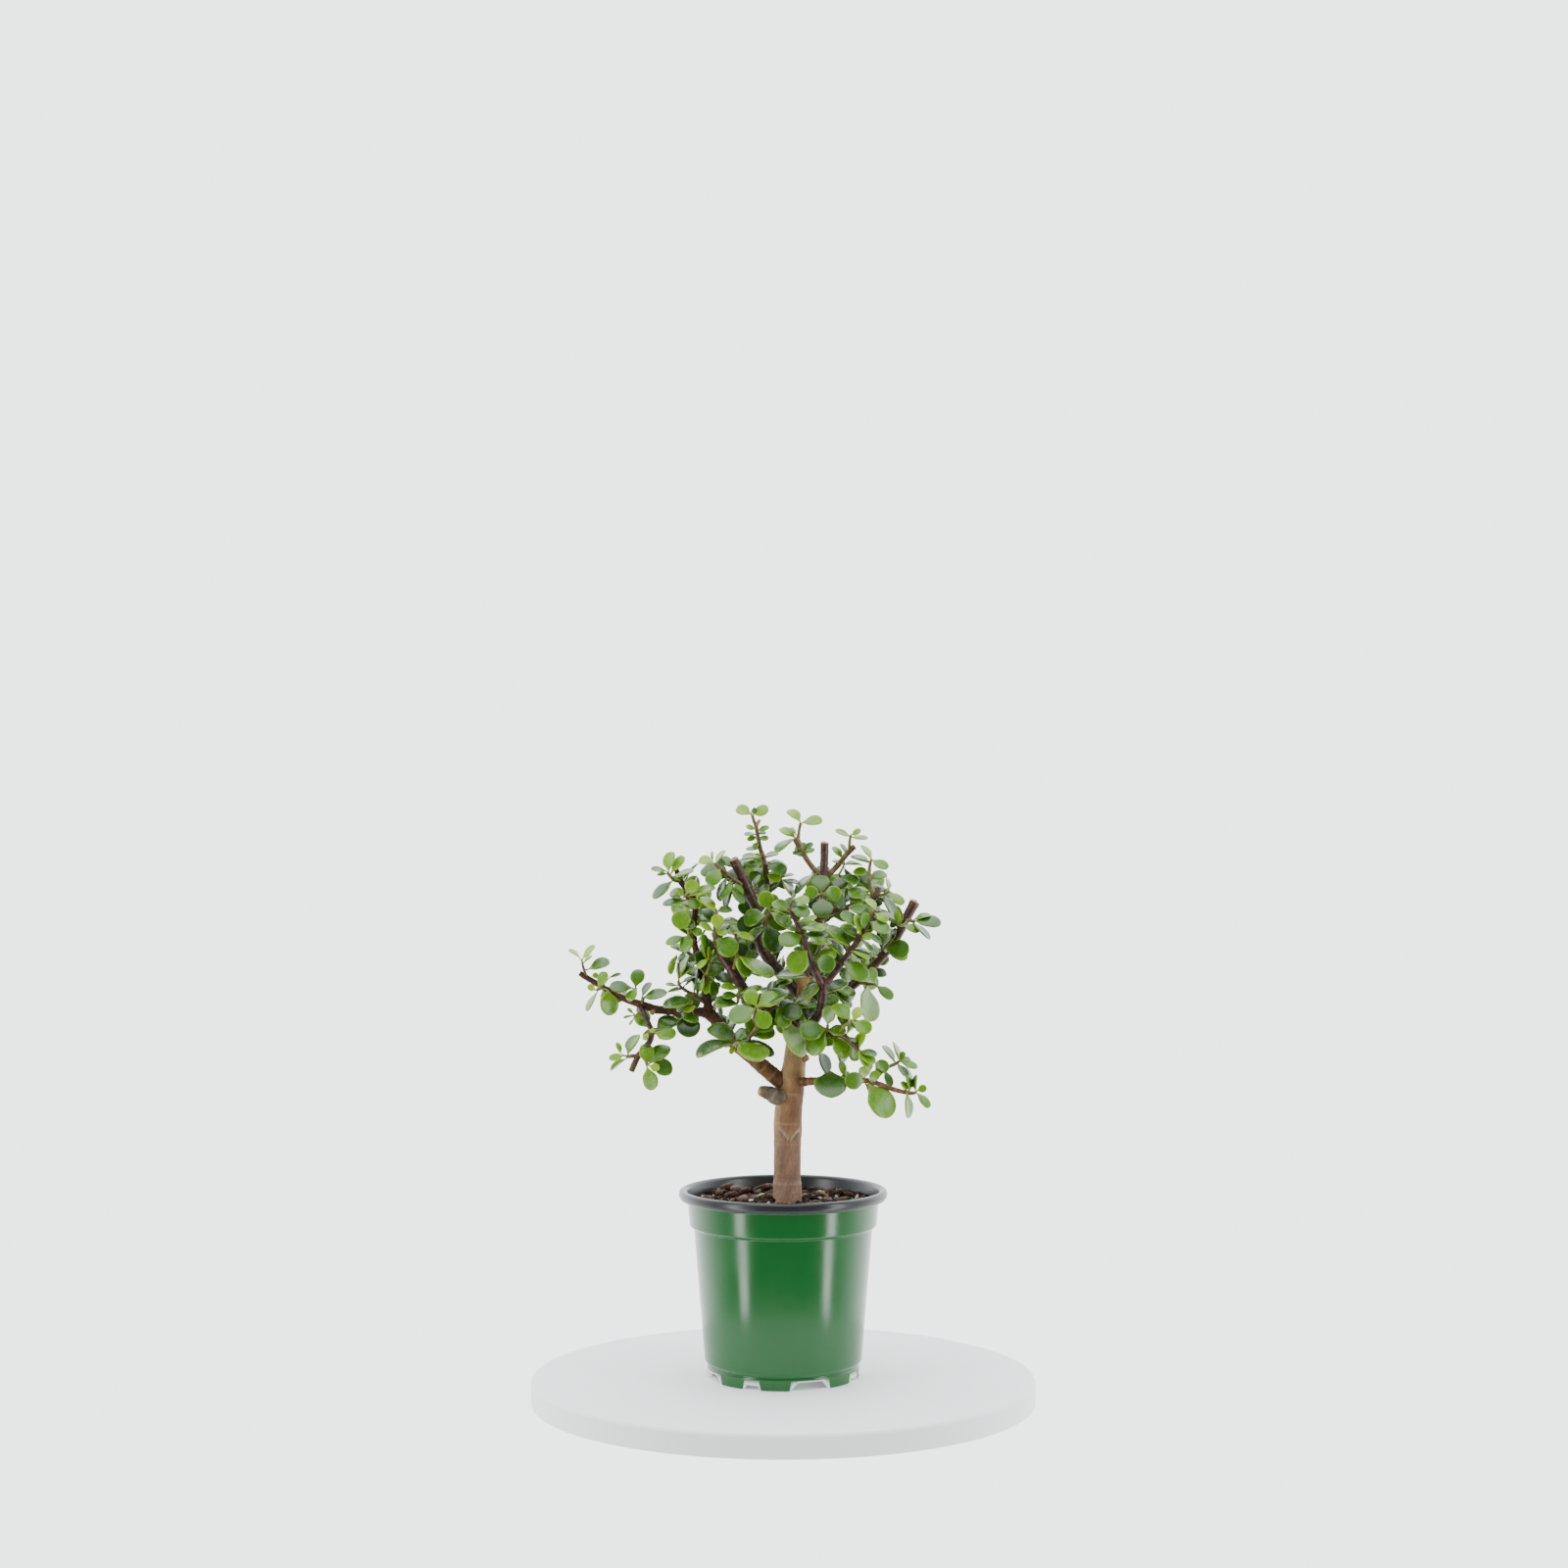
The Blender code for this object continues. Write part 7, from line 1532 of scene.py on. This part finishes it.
def build_pot():
    floor_in = FLOOR_Z + WALL
    # (r, z, rounding, colour of the stretch that starts here)
    prof = [(0, FLOOR_Z, 0, 0), (FOOT_R - FOOT_WIDE - .3, FLOOR_Z, .3, 0),
            (FOOT_R - FOOT_WIDE, 0, .4, 0),
            (FOOT_R, 0, .5, 0), (FOOT_R + .1, 5.6, .4, 0),
            (FOOT_R - 0.45, GROOVE_Z, .3, 0),
            (BODY_LOW_R, BODY_LOW_Z + 1.2, .7, 0), (STEP_R, STEP_Z, .5, 0),
            (BAND_LOW_R, BAND_LOW_Z, .8, 0), (BAND_TOP_R, 90.7, .6, 0),
            (RIM_R - 1.0, 91.3, .9, 1), (RIM_R, 93.4, 1.0, 1),
            (RIM_R - .3, 95.7, 1.0, 1), (RIM_R - 2.2, POT_HEIGHT, 1.0, 1),
            (RIM_R - 4.2, 95.6, 1.0, 1),
            (inner_r(90.0), 90.0, .8, 1), (inner_r(BAND_LOW_Z), BAND_LOW_Z, .4, 1),
            (inner_r(STEP_Z - 1.2), STEP_Z - 1.2, .4, 1),
            (inner_r(14.0), 14.0, .4, 1), (inner_r(9.0) - 1.2, floor_in, .8, 1),
            (0, floor_in, 0, 1)]
    pts, cols = [], []
    for i, (r, z, rad, col) in enumerate(prof):
        if rad and 0 < i < len(prof) - 1:
            out = []
            corner(out, prof[i - 1][:2], (r, z), prof[i + 1][:2], rad)
        else:
            out = [(r, z)]
        for q in out:
            pts.append(q)
            cols.append(col)
    sides = 240
    verts, faces, mats, tints = [], [], [], []
    n = len(pts)
    verts.append((0, 0, pts[0][1]))
    verts.append((0, 0, pts[-1][1]))
    tints += [POT_GREEN, POT_BLACK]
    body = range(1, n - 1)
    for k in range(sides):
        a = 2 * math.pi * k / sides
        for i in body:
            r, z = pts[i]
            verts.append((r * math.sin(a), -r * math.cos(a), z))
            tints.append(POT_BLACK if cols[i] else POT_GREEN)
    w = n - 2
    for k in range(sides):
        k2 = (k + 1) % sides
        for j in range(w - 1):
            faces.append((2 + k * w + j, 2 + k * w + j + 1,
                          2 + k2 * w + j + 1, 2 + k2 * w + j))
            mats.append(1 if cols[j + 2] else 0)
        faces.append((0, 2 + k * w, 2 + k2 * w))
        mats.append(0)
        faces.append((1, 2 + k2 * w + w - 1, 2 + k * w + w - 1))
        mats.append(1)
    pot = Build()
    pot.v, pot.f, pot.m, pot.c = verts, faces, mats, tints
    me = mesh_of("pot_shell", pot, [GREEN, BLACK])
    ob = bpy.data.objects.new("pot_shell", me)
    bpy.context.scene.collection.objects.link(ob)
    cuts = Build()
    for quarter in range(4):
        for at, (low_deg, top_deg, up) in ((NOTCH_WIDE_AT, NOTCH_WIDE),
                                           (NOTCH_SMALL_AT, NOTCH_SMALL)):
            v, f = notch_solid(at + 90 * quarter, low_deg, top_deg, up)
            cuts.add(v, f, 0, [POT_GREEN] * len(v))
        a = math.radians(NOTCH_WIDE_AT + 90 * quarter)
        v, f = drill(DRAIN_AT * math.sin(a), -DRAIN_AT * math.cos(a),
                     FLOOR_Z - 1, floor_in + 1, DRAIN_R)
        cuts.add(v, f, 0, [POT_GREEN] * len(v))
    cutter = bpy.data.objects.new("pot_cut", mesh_of("pot_cut", cuts, [GREEN]))
    bpy.context.scene.collection.objects.link(cutter)
    mod = ob.modifiers.new("cut", "BOOLEAN")
    mod.operation = "DIFFERENCE"
    mod.solver = "EXACT"
    mod.object = cutter
    dg = bpy.context.evaluated_depsgraph_get()
    done = bpy.data.meshes.new_from_object(ob.evaluated_get(dg),
                                           preserve_all_data_layers=True,
                                           depsgraph=dg)
    bpy.data.objects.remove(ob)
    bpy.data.objects.remove(cutter)
    done.name = "pot_look"
    done.shade_smooth()
    done.set_sharp_from_angle(angle=math.radians(38))
    pot_ob = bpy.data.objects.new("pot_look", done)
    bpy.context.scene.collection.objects.link(pot_ob)
    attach(pot_ob, "root")
    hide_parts("pot")


def notch_solid(at, low_deg, top_deg, up):
    verts = []
    n = 12
    for z, half in ((-1.0, low_deg / 2 + (low_deg - top_deg) / 2 / up),
                    (up, top_deg / 2)):
        for r in (FOOT_R - FOOT_WIDE - 1.5, FOOT_R + 1.0):
            for s in range(n + 1):
                a = math.radians(at + (2 * s / n - 1) * half)
                verts.append((r * math.sin(a), -r * math.cos(a), z))
    m = n + 1
    faces = []
    for s in range(n):
        faces += [(s, s + 1, s + 1 + m, s + m),
                  (2 * m + s, 3 * m + s, 3 * m + s + 1, 2 * m + s + 1),
                  (s, 2 * m + s, 2 * m + s + 1, s + 1),
                  (m + s, m + s + 1, 3 * m + s + 1, 3 * m + s)]
    faces += [(0, m, 3 * m, 2 * m), (n, 2 * m + n, 3 * m + n, m + n)]
    return verts, faces


def drill(x, y, z0, z1, r, sides=32):
    verts = [(x + r * math.cos(2 * math.pi * k / sides),
              y + r * math.sin(2 * math.pi * k / sides), z)
             for z in (z0, z1) for k in range(sides)]
    faces = [(k, (k + 1) % sides, sides + (k + 1) % sides, sides + k)
             for k in range(sides)]
    faces += [tuple(reversed(range(sides))), tuple(range(sides, 2 * sides))]
    return verts, faces


# -------------------------------------------------------------------- soil
def soil_height(x, y):
    z = SOIL_Z
    z += 0.55 * math.sin(0.21 * x + 1.3) * math.cos(0.17 * y + 0.4)
    z += 0.45 * math.sin(0.37 * x - 0.6 + 0.29 * y)
    z += SOIL_LUMP * math.exp(-((x + 27) ** 2 + (y - 20) ** 2) / 260.0)
    return z


def crumb(centre, size, flat, rnd, tint):
    """A broken bit of bark or grit."""
    bm = bmesh.new()
    bmesh.ops.create_icosphere(bm, subdivisions=2 if max(size) > 1.5 else 1,
                               radius=1.0)
    off = Vector((rnd.uniform(0, 99), rnd.uniform(0, 99), rnd.uniform(0, 99)))
    rot = (Vector((rnd.uniform(-flat, flat), rnd.uniform(-flat, flat), 1))
           .to_track_quat("Z", "Y"))
    spin = rnd.uniform(0, 6.283)
    verts = []
    for v in bm.verts:
        p = v.co * (1 + 0.45 * noise.noise(v.co * 1.6 + off))
        p = Vector((math.copysign(abs(p.x) ** .7, p.x) * size[0],
                    math.copysign(abs(p.y) ** .7, p.y) * size[1],
                    math.copysign(abs(p.z) ** .7, p.z) * size[2]))
        p = Vector((p.x * math.cos(spin) - p.y * math.sin(spin),
                    p.x * math.sin(spin) + p.y * math.cos(spin), p.z))
        p.rotate(rot)
        verts.append(p + centre)
    bm.verts.ensure_lookup_table()
    faces = [tuple(v.index for v in f.verts) for f in bm.faces]
    bm.free()
    tints = []
    for p in verts:
        k = 0.8 + 0.5 * noise.noise(p * 1.3 + off)
        tints.append(tuple(min(1.0, q * k) for q in tint))
    return verts, faces, tints


CRUMBS = (
    ((0.020, 0.011, 0.007), 26), ((0.045, 0.024, 0.015), 24),
    ((0.085, 0.045, 0.028), 18), ((0.150, 0.085, 0.060), 12),
    ((0.230, 0.145, 0.115), 9), ((0.320, 0.220, 0.150), 5),
    ((0.008, 0.006, 0.005), 10), ((0.620, 0.600, 0.560), 3))

# larger bits: drawn x and z, depth, size and tint
BITS = (
    (-29, 98.6, 30, 4.2, (0.150, 0.080, 0.055)),
    (-24, 98.0, 22, 3.6, (0.240, 0.150, 0.125)),
    (-20, 97.0, 14, 3.2, (0.110, 0.055, 0.038)),
    (-33, 95.5, 14, 3.4, (0.200, 0.125, 0.100)),
    (-27, 94.2, 4, 3.6, (0.090, 0.045, 0.030)),
    (-21, 93.0, -4, 3.0, (0.260, 0.170, 0.140)),
    (-16.5, 92.2, -10, 1.5, (0.70, 0.68, 0.64)),
    (-7.5, 91.3, -16, 1.3, (0.70, 0.68, 0.64)),
    (-7.2, 97.5, 4, 3.4, (0.120, 0.065, 0.042)),
    (19.5, 95.8, 16, 2.6, (0.420, 0.300, 0.200)),
    (23, 92, -6, 2.3, (0.330, 0.220, 0.190)),
    (28, 96, 22, 2.8, (0.120, 0.070, 0.050)),
    (34, 94, 8, 2.6, (0.090, 0.050, 0.035)),
    (31, 91.6, -10, 2.4, (0.180, 0.110, 0.080)),
    (-38, 92.6, 0, 2.6, (0.130, 0.075, 0.055)),
    (38, 92.0, -2, 1.2, (0.66, 0.64, 0.60)),
    (5, 100.0, 34, 2.8, (0.140, 0.080, 0.060)),
    (14, 99.0, 30, 2.4, (0.070, 0.035, 0.024)),
    (-8, 100.5, 38, 3.2, (0.200, 0.130, 0.105)),
)


def build_soil():
    rnd = random.Random(41)
    out = Build()
    rings, sides = 44, 132
    limit = inner_r(SOIL_Z) - 0.5
    verts, faces, tints = [], [], []
    for i in range(rings + 1):
        r = 5.0 + (limit - 5.0) * i / rings
        for k in range(sides):
            a = 2 * math.pi * k / sides
            x, y = r * math.cos(a) + 2.1 * (1 - i / rings), r * math.sin(a)
            n1 = noise.noise(Vector((x * .33, y * .33, 4)))
            n2 = noise.noise(Vector((x * .9, y * .9, 9)))
            verts.append((x, y, soil_height(x, y) + 0.9 * n1 + 0.6 * n2 - .5))
            t = mix((0.016, 0.010, 0.007), (0.075, 0.040, 0.026),
                    .4 + n1 + .8 * n2)
            tints.append(t)
    for i in range(rings):
        for k in range(sides):
            a, b = i * sides + k, i * sides + (k + 1) % sides
            faces.append((a, a + sides, b + sides, b))
    # the block's outer wall, its underside and the hollow round the trunk
    levels = ((limit - .3, 84.0), (inner_r(STEP_Z - 1.4) - .6, STEP_Z - 1.4),
              (inner_r(14.2) - .6, 14.2), (inner_r(9.0) - 1.9, 6.4),
              (5.0, 6.4), (5.0, 60.0))
    for r, z in levels:
        for k in range(sides):
            a = 2 * math.pi * k / sides
            mid = 2.1 if r == 5.0 else 0
            verts.append((r * math.cos(a) + mid, r * math.sin(a), z))
            tints.append((0.02, 0.012, 0.008))
    rows = [rings * sides + i * sides for i in range(len(levels) + 1)]
    for a0, b0 in zip(rows, rows[1:]):
        for k in range(sides):
            k2 = (k + 1) % sides
            faces.append((a0 + k, b0 + k, b0 + k2, a0 + k2))
    for k in range(sides):
        k2 = (k + 1) % sides
        faces.append((rows[-1] + k, k, k2, rows[-1] + k2))
    out.add(verts, faces, 0, tints)
    shades = [c for c, w in CRUMBS for _ in range(w)]
    for i in range(1500):
        a, r = rnd.uniform(0, 6.2832), math.sqrt(rnd.random()) * (limit - 1.6)
        x, y = r * math.cos(a), r * math.sin(a)
        if math.hypot(x - 2.1, y) < 8.2:
            continue
        big = rnd.random() ** 3
        s = 0.45 + 1.9 * big
        z = soil_height(x, y) + rnd.uniform(-.4, .35)
        c = Vector((x, y, z))
        out.add(*_crumb(c, s, rnd, rnd.choice(shades)))
    for x, z, y, s, tint in BITS:
        p = true_point(x, y, z)
        top = soil_height(p.x, p.y)
        p.z = min(max(p.z, top - .2), top + 2.4)
        v, f, t = crumb(p, (s, s * rnd.uniform(.55, .9), s * .42), .35, rnd,
                        tint)
        out.add(v, f, 0, t)
    # a fallen leaf and a bit of twig
    leaf = Leaf("soil", "soil", true_point(-14, -8, 92.4),
                true_point(-13.6, -8, 92.5), true_point(-10.3, -9, 93.6),
                2.2, 0.55, "")
    leaf.root = leaf.base - Vector((.4, 0, 0))
    leaf.normal = Vector((0, -.35, .94)).normalized()
    v, f, t = fine_leaf(leaf, rnd)
    out.add(v, f, 1, t)
    p0, p1 = true_point(-15.5, 6, 96.0), true_point(-8.6, 5, 98.4)
    v, f = tube_solid([(p0, .5), (p0.lerp(p1, .5) + Vector((0, 0, .5)), .55),
                       (p1, .4)], 10)
    out.add(v, f, 0, [(0.16, 0.09, 0.05)] * len(v))
    place_piece("soil_look", out, [MIX, LEAF], "soil")


def _crumb(c, s, rnd, tint):
    size = (s, s * rnd.uniform(.5, 1), s * rnd.uniform(.3, .8))
    v, f, t = crumb(c, size, .8, rnd, tint)
    return v, f, 0, t


# ------------------------------------------------------------------- plant
SMOOTH_KINDS = ("maroon", "dark", "olive", "green")

# where the crown is so full that nothing shows through it (drawn x, z)
CORE = ((-58, 262), (-44, 268), (-20, 270), (8, 262), (26, 258), (46, 264),
        (58, 248), (64, 226), (52, 205), (46, 188), (50, 168), (30, 158),
        (8, 170), (-14, 176), (-34, 182), (-46, 196), (-56, 208), (-58, 230))


def in_core(x, z):
    inside = False
    for (x0, z0), (x1, z1) in zip(CORE, CORE[1:] + CORE[:1]):
        if (z0 > z) != (z1 > z) and x < x0 + (z - z0) * (x1 - x0) / (z1 - z0):
            inside = not inside
    return inside


def inner_leaves(leaves):
    """Shaded leaves inside the crown, on its own stems."""
    boxes = cover_boxes([lf for lf in leaves if not lf.made])
    solid = []
    for lf in leaves:
        shape = leaf_solid(lf, 0.10)
        solid.append((tree_of(shape), box_of(shape[0])))
    for name in STEMS:
        shape = tube_solid(stem_points(name), 8, 0.1)
        solid.append((tree_of(shape), box_of(shape[0]), name))
    out = []
    for name, (piece, parent, kind, rows) in STEMS.items():
        if kind in ("bark", "dead", "cut") or name in ("scar_left",):
            continue
        rnd = random.Random("inner " + name)
        pts = clear_start(name)
        for (a, ra), (b, rb) in zip(pts, pts[1:]):
            ln = (b - a).length
            d = (b - a).normalized()
            ref = Vector((0, 1, 0)) - d * d.y
            if ref.length < 0.2:
                ref = Vector((1, 0, 0)) - d * d.x
            ref.normalize()
            ref2 = d.cross(ref)
            at = rnd.uniform(0, 2.5)
            while at < ln:
                t = at / ln
                at += rnd.uniform(2.2, 4.0)
                p, r = a.lerp(b, t), ra + (rb - ra) * t
                for _ in range(3):
                    ang = math.radians(rnd.uniform(-115, 115))
                    rad = ref * math.cos(ang) + ref2 * math.sin(ang)
                    e = (rad + d * rnd.uniform(.2, .9)
                         + Vector((0, 0, .25))).normalized()
                    size = rnd.uniform(7.5, 14.0)
                    base = p + rad * (r + .5)
                    leaf = Leaf(piece, name, p + rad * (.4 * r), base,
                                base + e * size, size * rnd.uniform(.72, .84),
                                rnd.choice((.05, .12, .2, .3, .4)), "")
                    nrm = d - e * d.dot(e)
                    if nrm.length < .1:
                        continue
                    leaf.normal = nrm.normalized()
                    if leaf.normal.z < -.2:
                        leaf.normal = -leaf.normal
                    leaf.stem_r, leaf.made = r, True
                    side = e.cross(leaf.normal) * leaf.width * .45
                    test = [base.lerp(leaf.tip, .97), base.lerp(leaf.tip, .4),
                            base.lerp(leaf.tip, .65) + side,
                            base.lerp(leaf.tip, .65) - side]
                    if not all(in_core(*drawn_point(q))
                               or seen(*drawn_point(q), boxes)
                               for q in test):
                        continue
                    if leaf.tip.y < p.y + 1.0:
                        continue
                    shape = leaf_solid(leaf, 0.15)
                    tree, box = tree_of(shape), box_of(shape[0])
                    if any(len(o) == 2 or o[2] != name
                           for o in solid if boxes_meet(box, o[1])
                           and tree.overlap(o[0]) and
                           (len(o) == 2 or o[2] != name)):
                        continue
                    solid.append((tree, box))
                    out.append(leaf)
                    break
    return out


def build_plant():
    leaves = drawn_leaves()
    leaves, _ = settle(leaves + back_leaves(leaves))
    extra = inner_leaves(leaves)
    print("inner leaves:", len(extra))
    leaves += extra
    for piece in dict.fromkeys(v[0] for v in STEMS.values()):
        out = Build()
        for name in [n for n in STEMS if STEMS[n][0] == piece]:
            rnd = random.Random("stem " + name)
            v, f, t = fine_stem(name, rnd)
            out.add(v, f, 1 if STEMS[name][2] in SMOOTH_KINDS else 0, t)
        rnd = random.Random("leaves " + piece)
        for lf in leaves:
            if lf.piece == piece:
                v, f, t = fine_leaf(lf, rnd)
                out.add(v, f, 2, t)
        place_piece(piece + "_look", out, [WOOD, SKIN, LEAF], piece)


# ------------------------------------------------------- floor and lighting
def emitter(name, size, at, look, power, colour=(1, 1, 1)):
    li = bpy.data.lights.new(name, "AREA")
    li.shape = "RECTANGLE"
    li.size, li.size_y = size
    li.energy = power
    li.color = colour
    ob = bpy.data.objects.new(name, li)
    ob.location = at
    ob.rotation_euler = (Vector(look) - Vector(at)).to_track_quat(
        "-Z", "Y").to_euler()
    bpy.context.scene.collection.objects.link(ob)
    return ob


def polar(deg, dist, z):
    """A place at this many degrees from the front, towards +X."""
    a = math.radians(deg)
    return (AXIS[0] + dist * math.sin(a), AXIS[1] - dist * math.cos(a), z)


def build_stage():
    # a low round table, so that the lights beside it reach the pot's sides
    prof = ((0.0, 0.0), (0.128, 0.0), (0.1293, -0.0004), (0.130, -0.0015),
            (0.130, -0.012), (0.0, -0.012))
    sides = 128
    verts, faces = [], []
    for r, z in prof[1:-1]:
        for k in range(sides):
            a = 2 * math.pi * k / sides
            verts.append((AXIS[0] + r * math.cos(a),
                          AXIS[1] + r * math.sin(a), z - .00005))
    for i in range(len(prof) - 3):
        for k in range(sides):
            p, q = i * sides + k, i * sides + (k + 1) % sides
            faces.append((p, p + sides, q + sides, q))
    faces.append(tuple(range(sides)))
    faces.append(tuple(reversed(range(3 * sides, 4 * sides))))
    me = bpy.data.meshes.new("floor")
    me.from_pydata(verts, [], faces)
    mat, nt, b = nodes_of("floor")
    b.inputs["Base Color"].default_value = (0.90, 0.91, 0.92, 1)
    b.inputs["Roughness"].default_value = 0.7
    b.inputs["Specular IOR Level"].default_value = 0.2
    b.inputs["Emission Color"].default_value = (0.95, 0.975, 1.0, 1)
    b.inputs["Emission Strength"].default_value = FLOOR_GLOW
    me.materials.append(mat)
    ob = bpy.data.objects.new("floor", me)
    bpy.context.scene.collection.objects.link(ob)
    world = bpy.data.worlds.new("studio")
    world.use_nodes = True
    nt = world.node_tree
    bg = nt.nodes["Background"]
    bg.inputs["Color"].default_value = (0.95, 0.975, 1.0, 1)
    co = nt.nodes.new("ShaderNodeTexCoord")
    part = nt.nodes.new("ShaderNodeSeparateXYZ")
    span = nt.nodes.new("ShaderNodeMapRange")
    span.interpolation_type = "SMOOTHSTEP"
    for key, value in (("From Min", -0.55), ("From Max", 0.75),
                       ("To Min", WORLD_FRONT), ("To Max", WORLD_BACK)):
        span.inputs[key].default_value = value
    nt.links.new(co.outputs["Generated"], part.inputs[0])
    nt.links.new(part.outputs["Y"], span.inputs["Value"])
    nt.links.new(span.outputs[0], bg.inputs["Strength"])
    bpy.context.scene.world = world
    mid = (AXIS[0], AXIS[1], 0.12)
    emitter("strip_left", (0.26, 2.2), polar(-55, 1.35, 0.0), mid, STRIP)
    emitter("strip_right", (0.22, 2.2), polar(62, 1.35, 0.0), mid, STRIP)
    emitter("overhead", (1.6, 1.2), (AXIS[0] - .1, AXIS[1] - .35, 1.7),
            (AXIS[0], AXIS[1], 0.15), TOP)
    cam = bpy.data.cameras.new("camera")
    cam.lens = 63.27
    cam.sensor_width = 36.0
    cam.clip_end = 50
    ob = bpy.data.objects.new("camera", cam)
    ob.location = (AXIS[0] + 0.0004, AXIS[1] - EYE_D * MM, EYE_H * MM)
    ob.rotation_euler = (math.pi / 2, 0, 0)
    bpy.context.scene.collection.objects.link(ob)
    bpy.context.scene.camera = ob


FLOOR_GLOW = 0.28
WORLD_FRONT = 0.32
WORLD_BACK = 3.4
STRIP = 20.0
TOP = 20.0

build_pot()
build_soil()
build_plant()
build_stage()
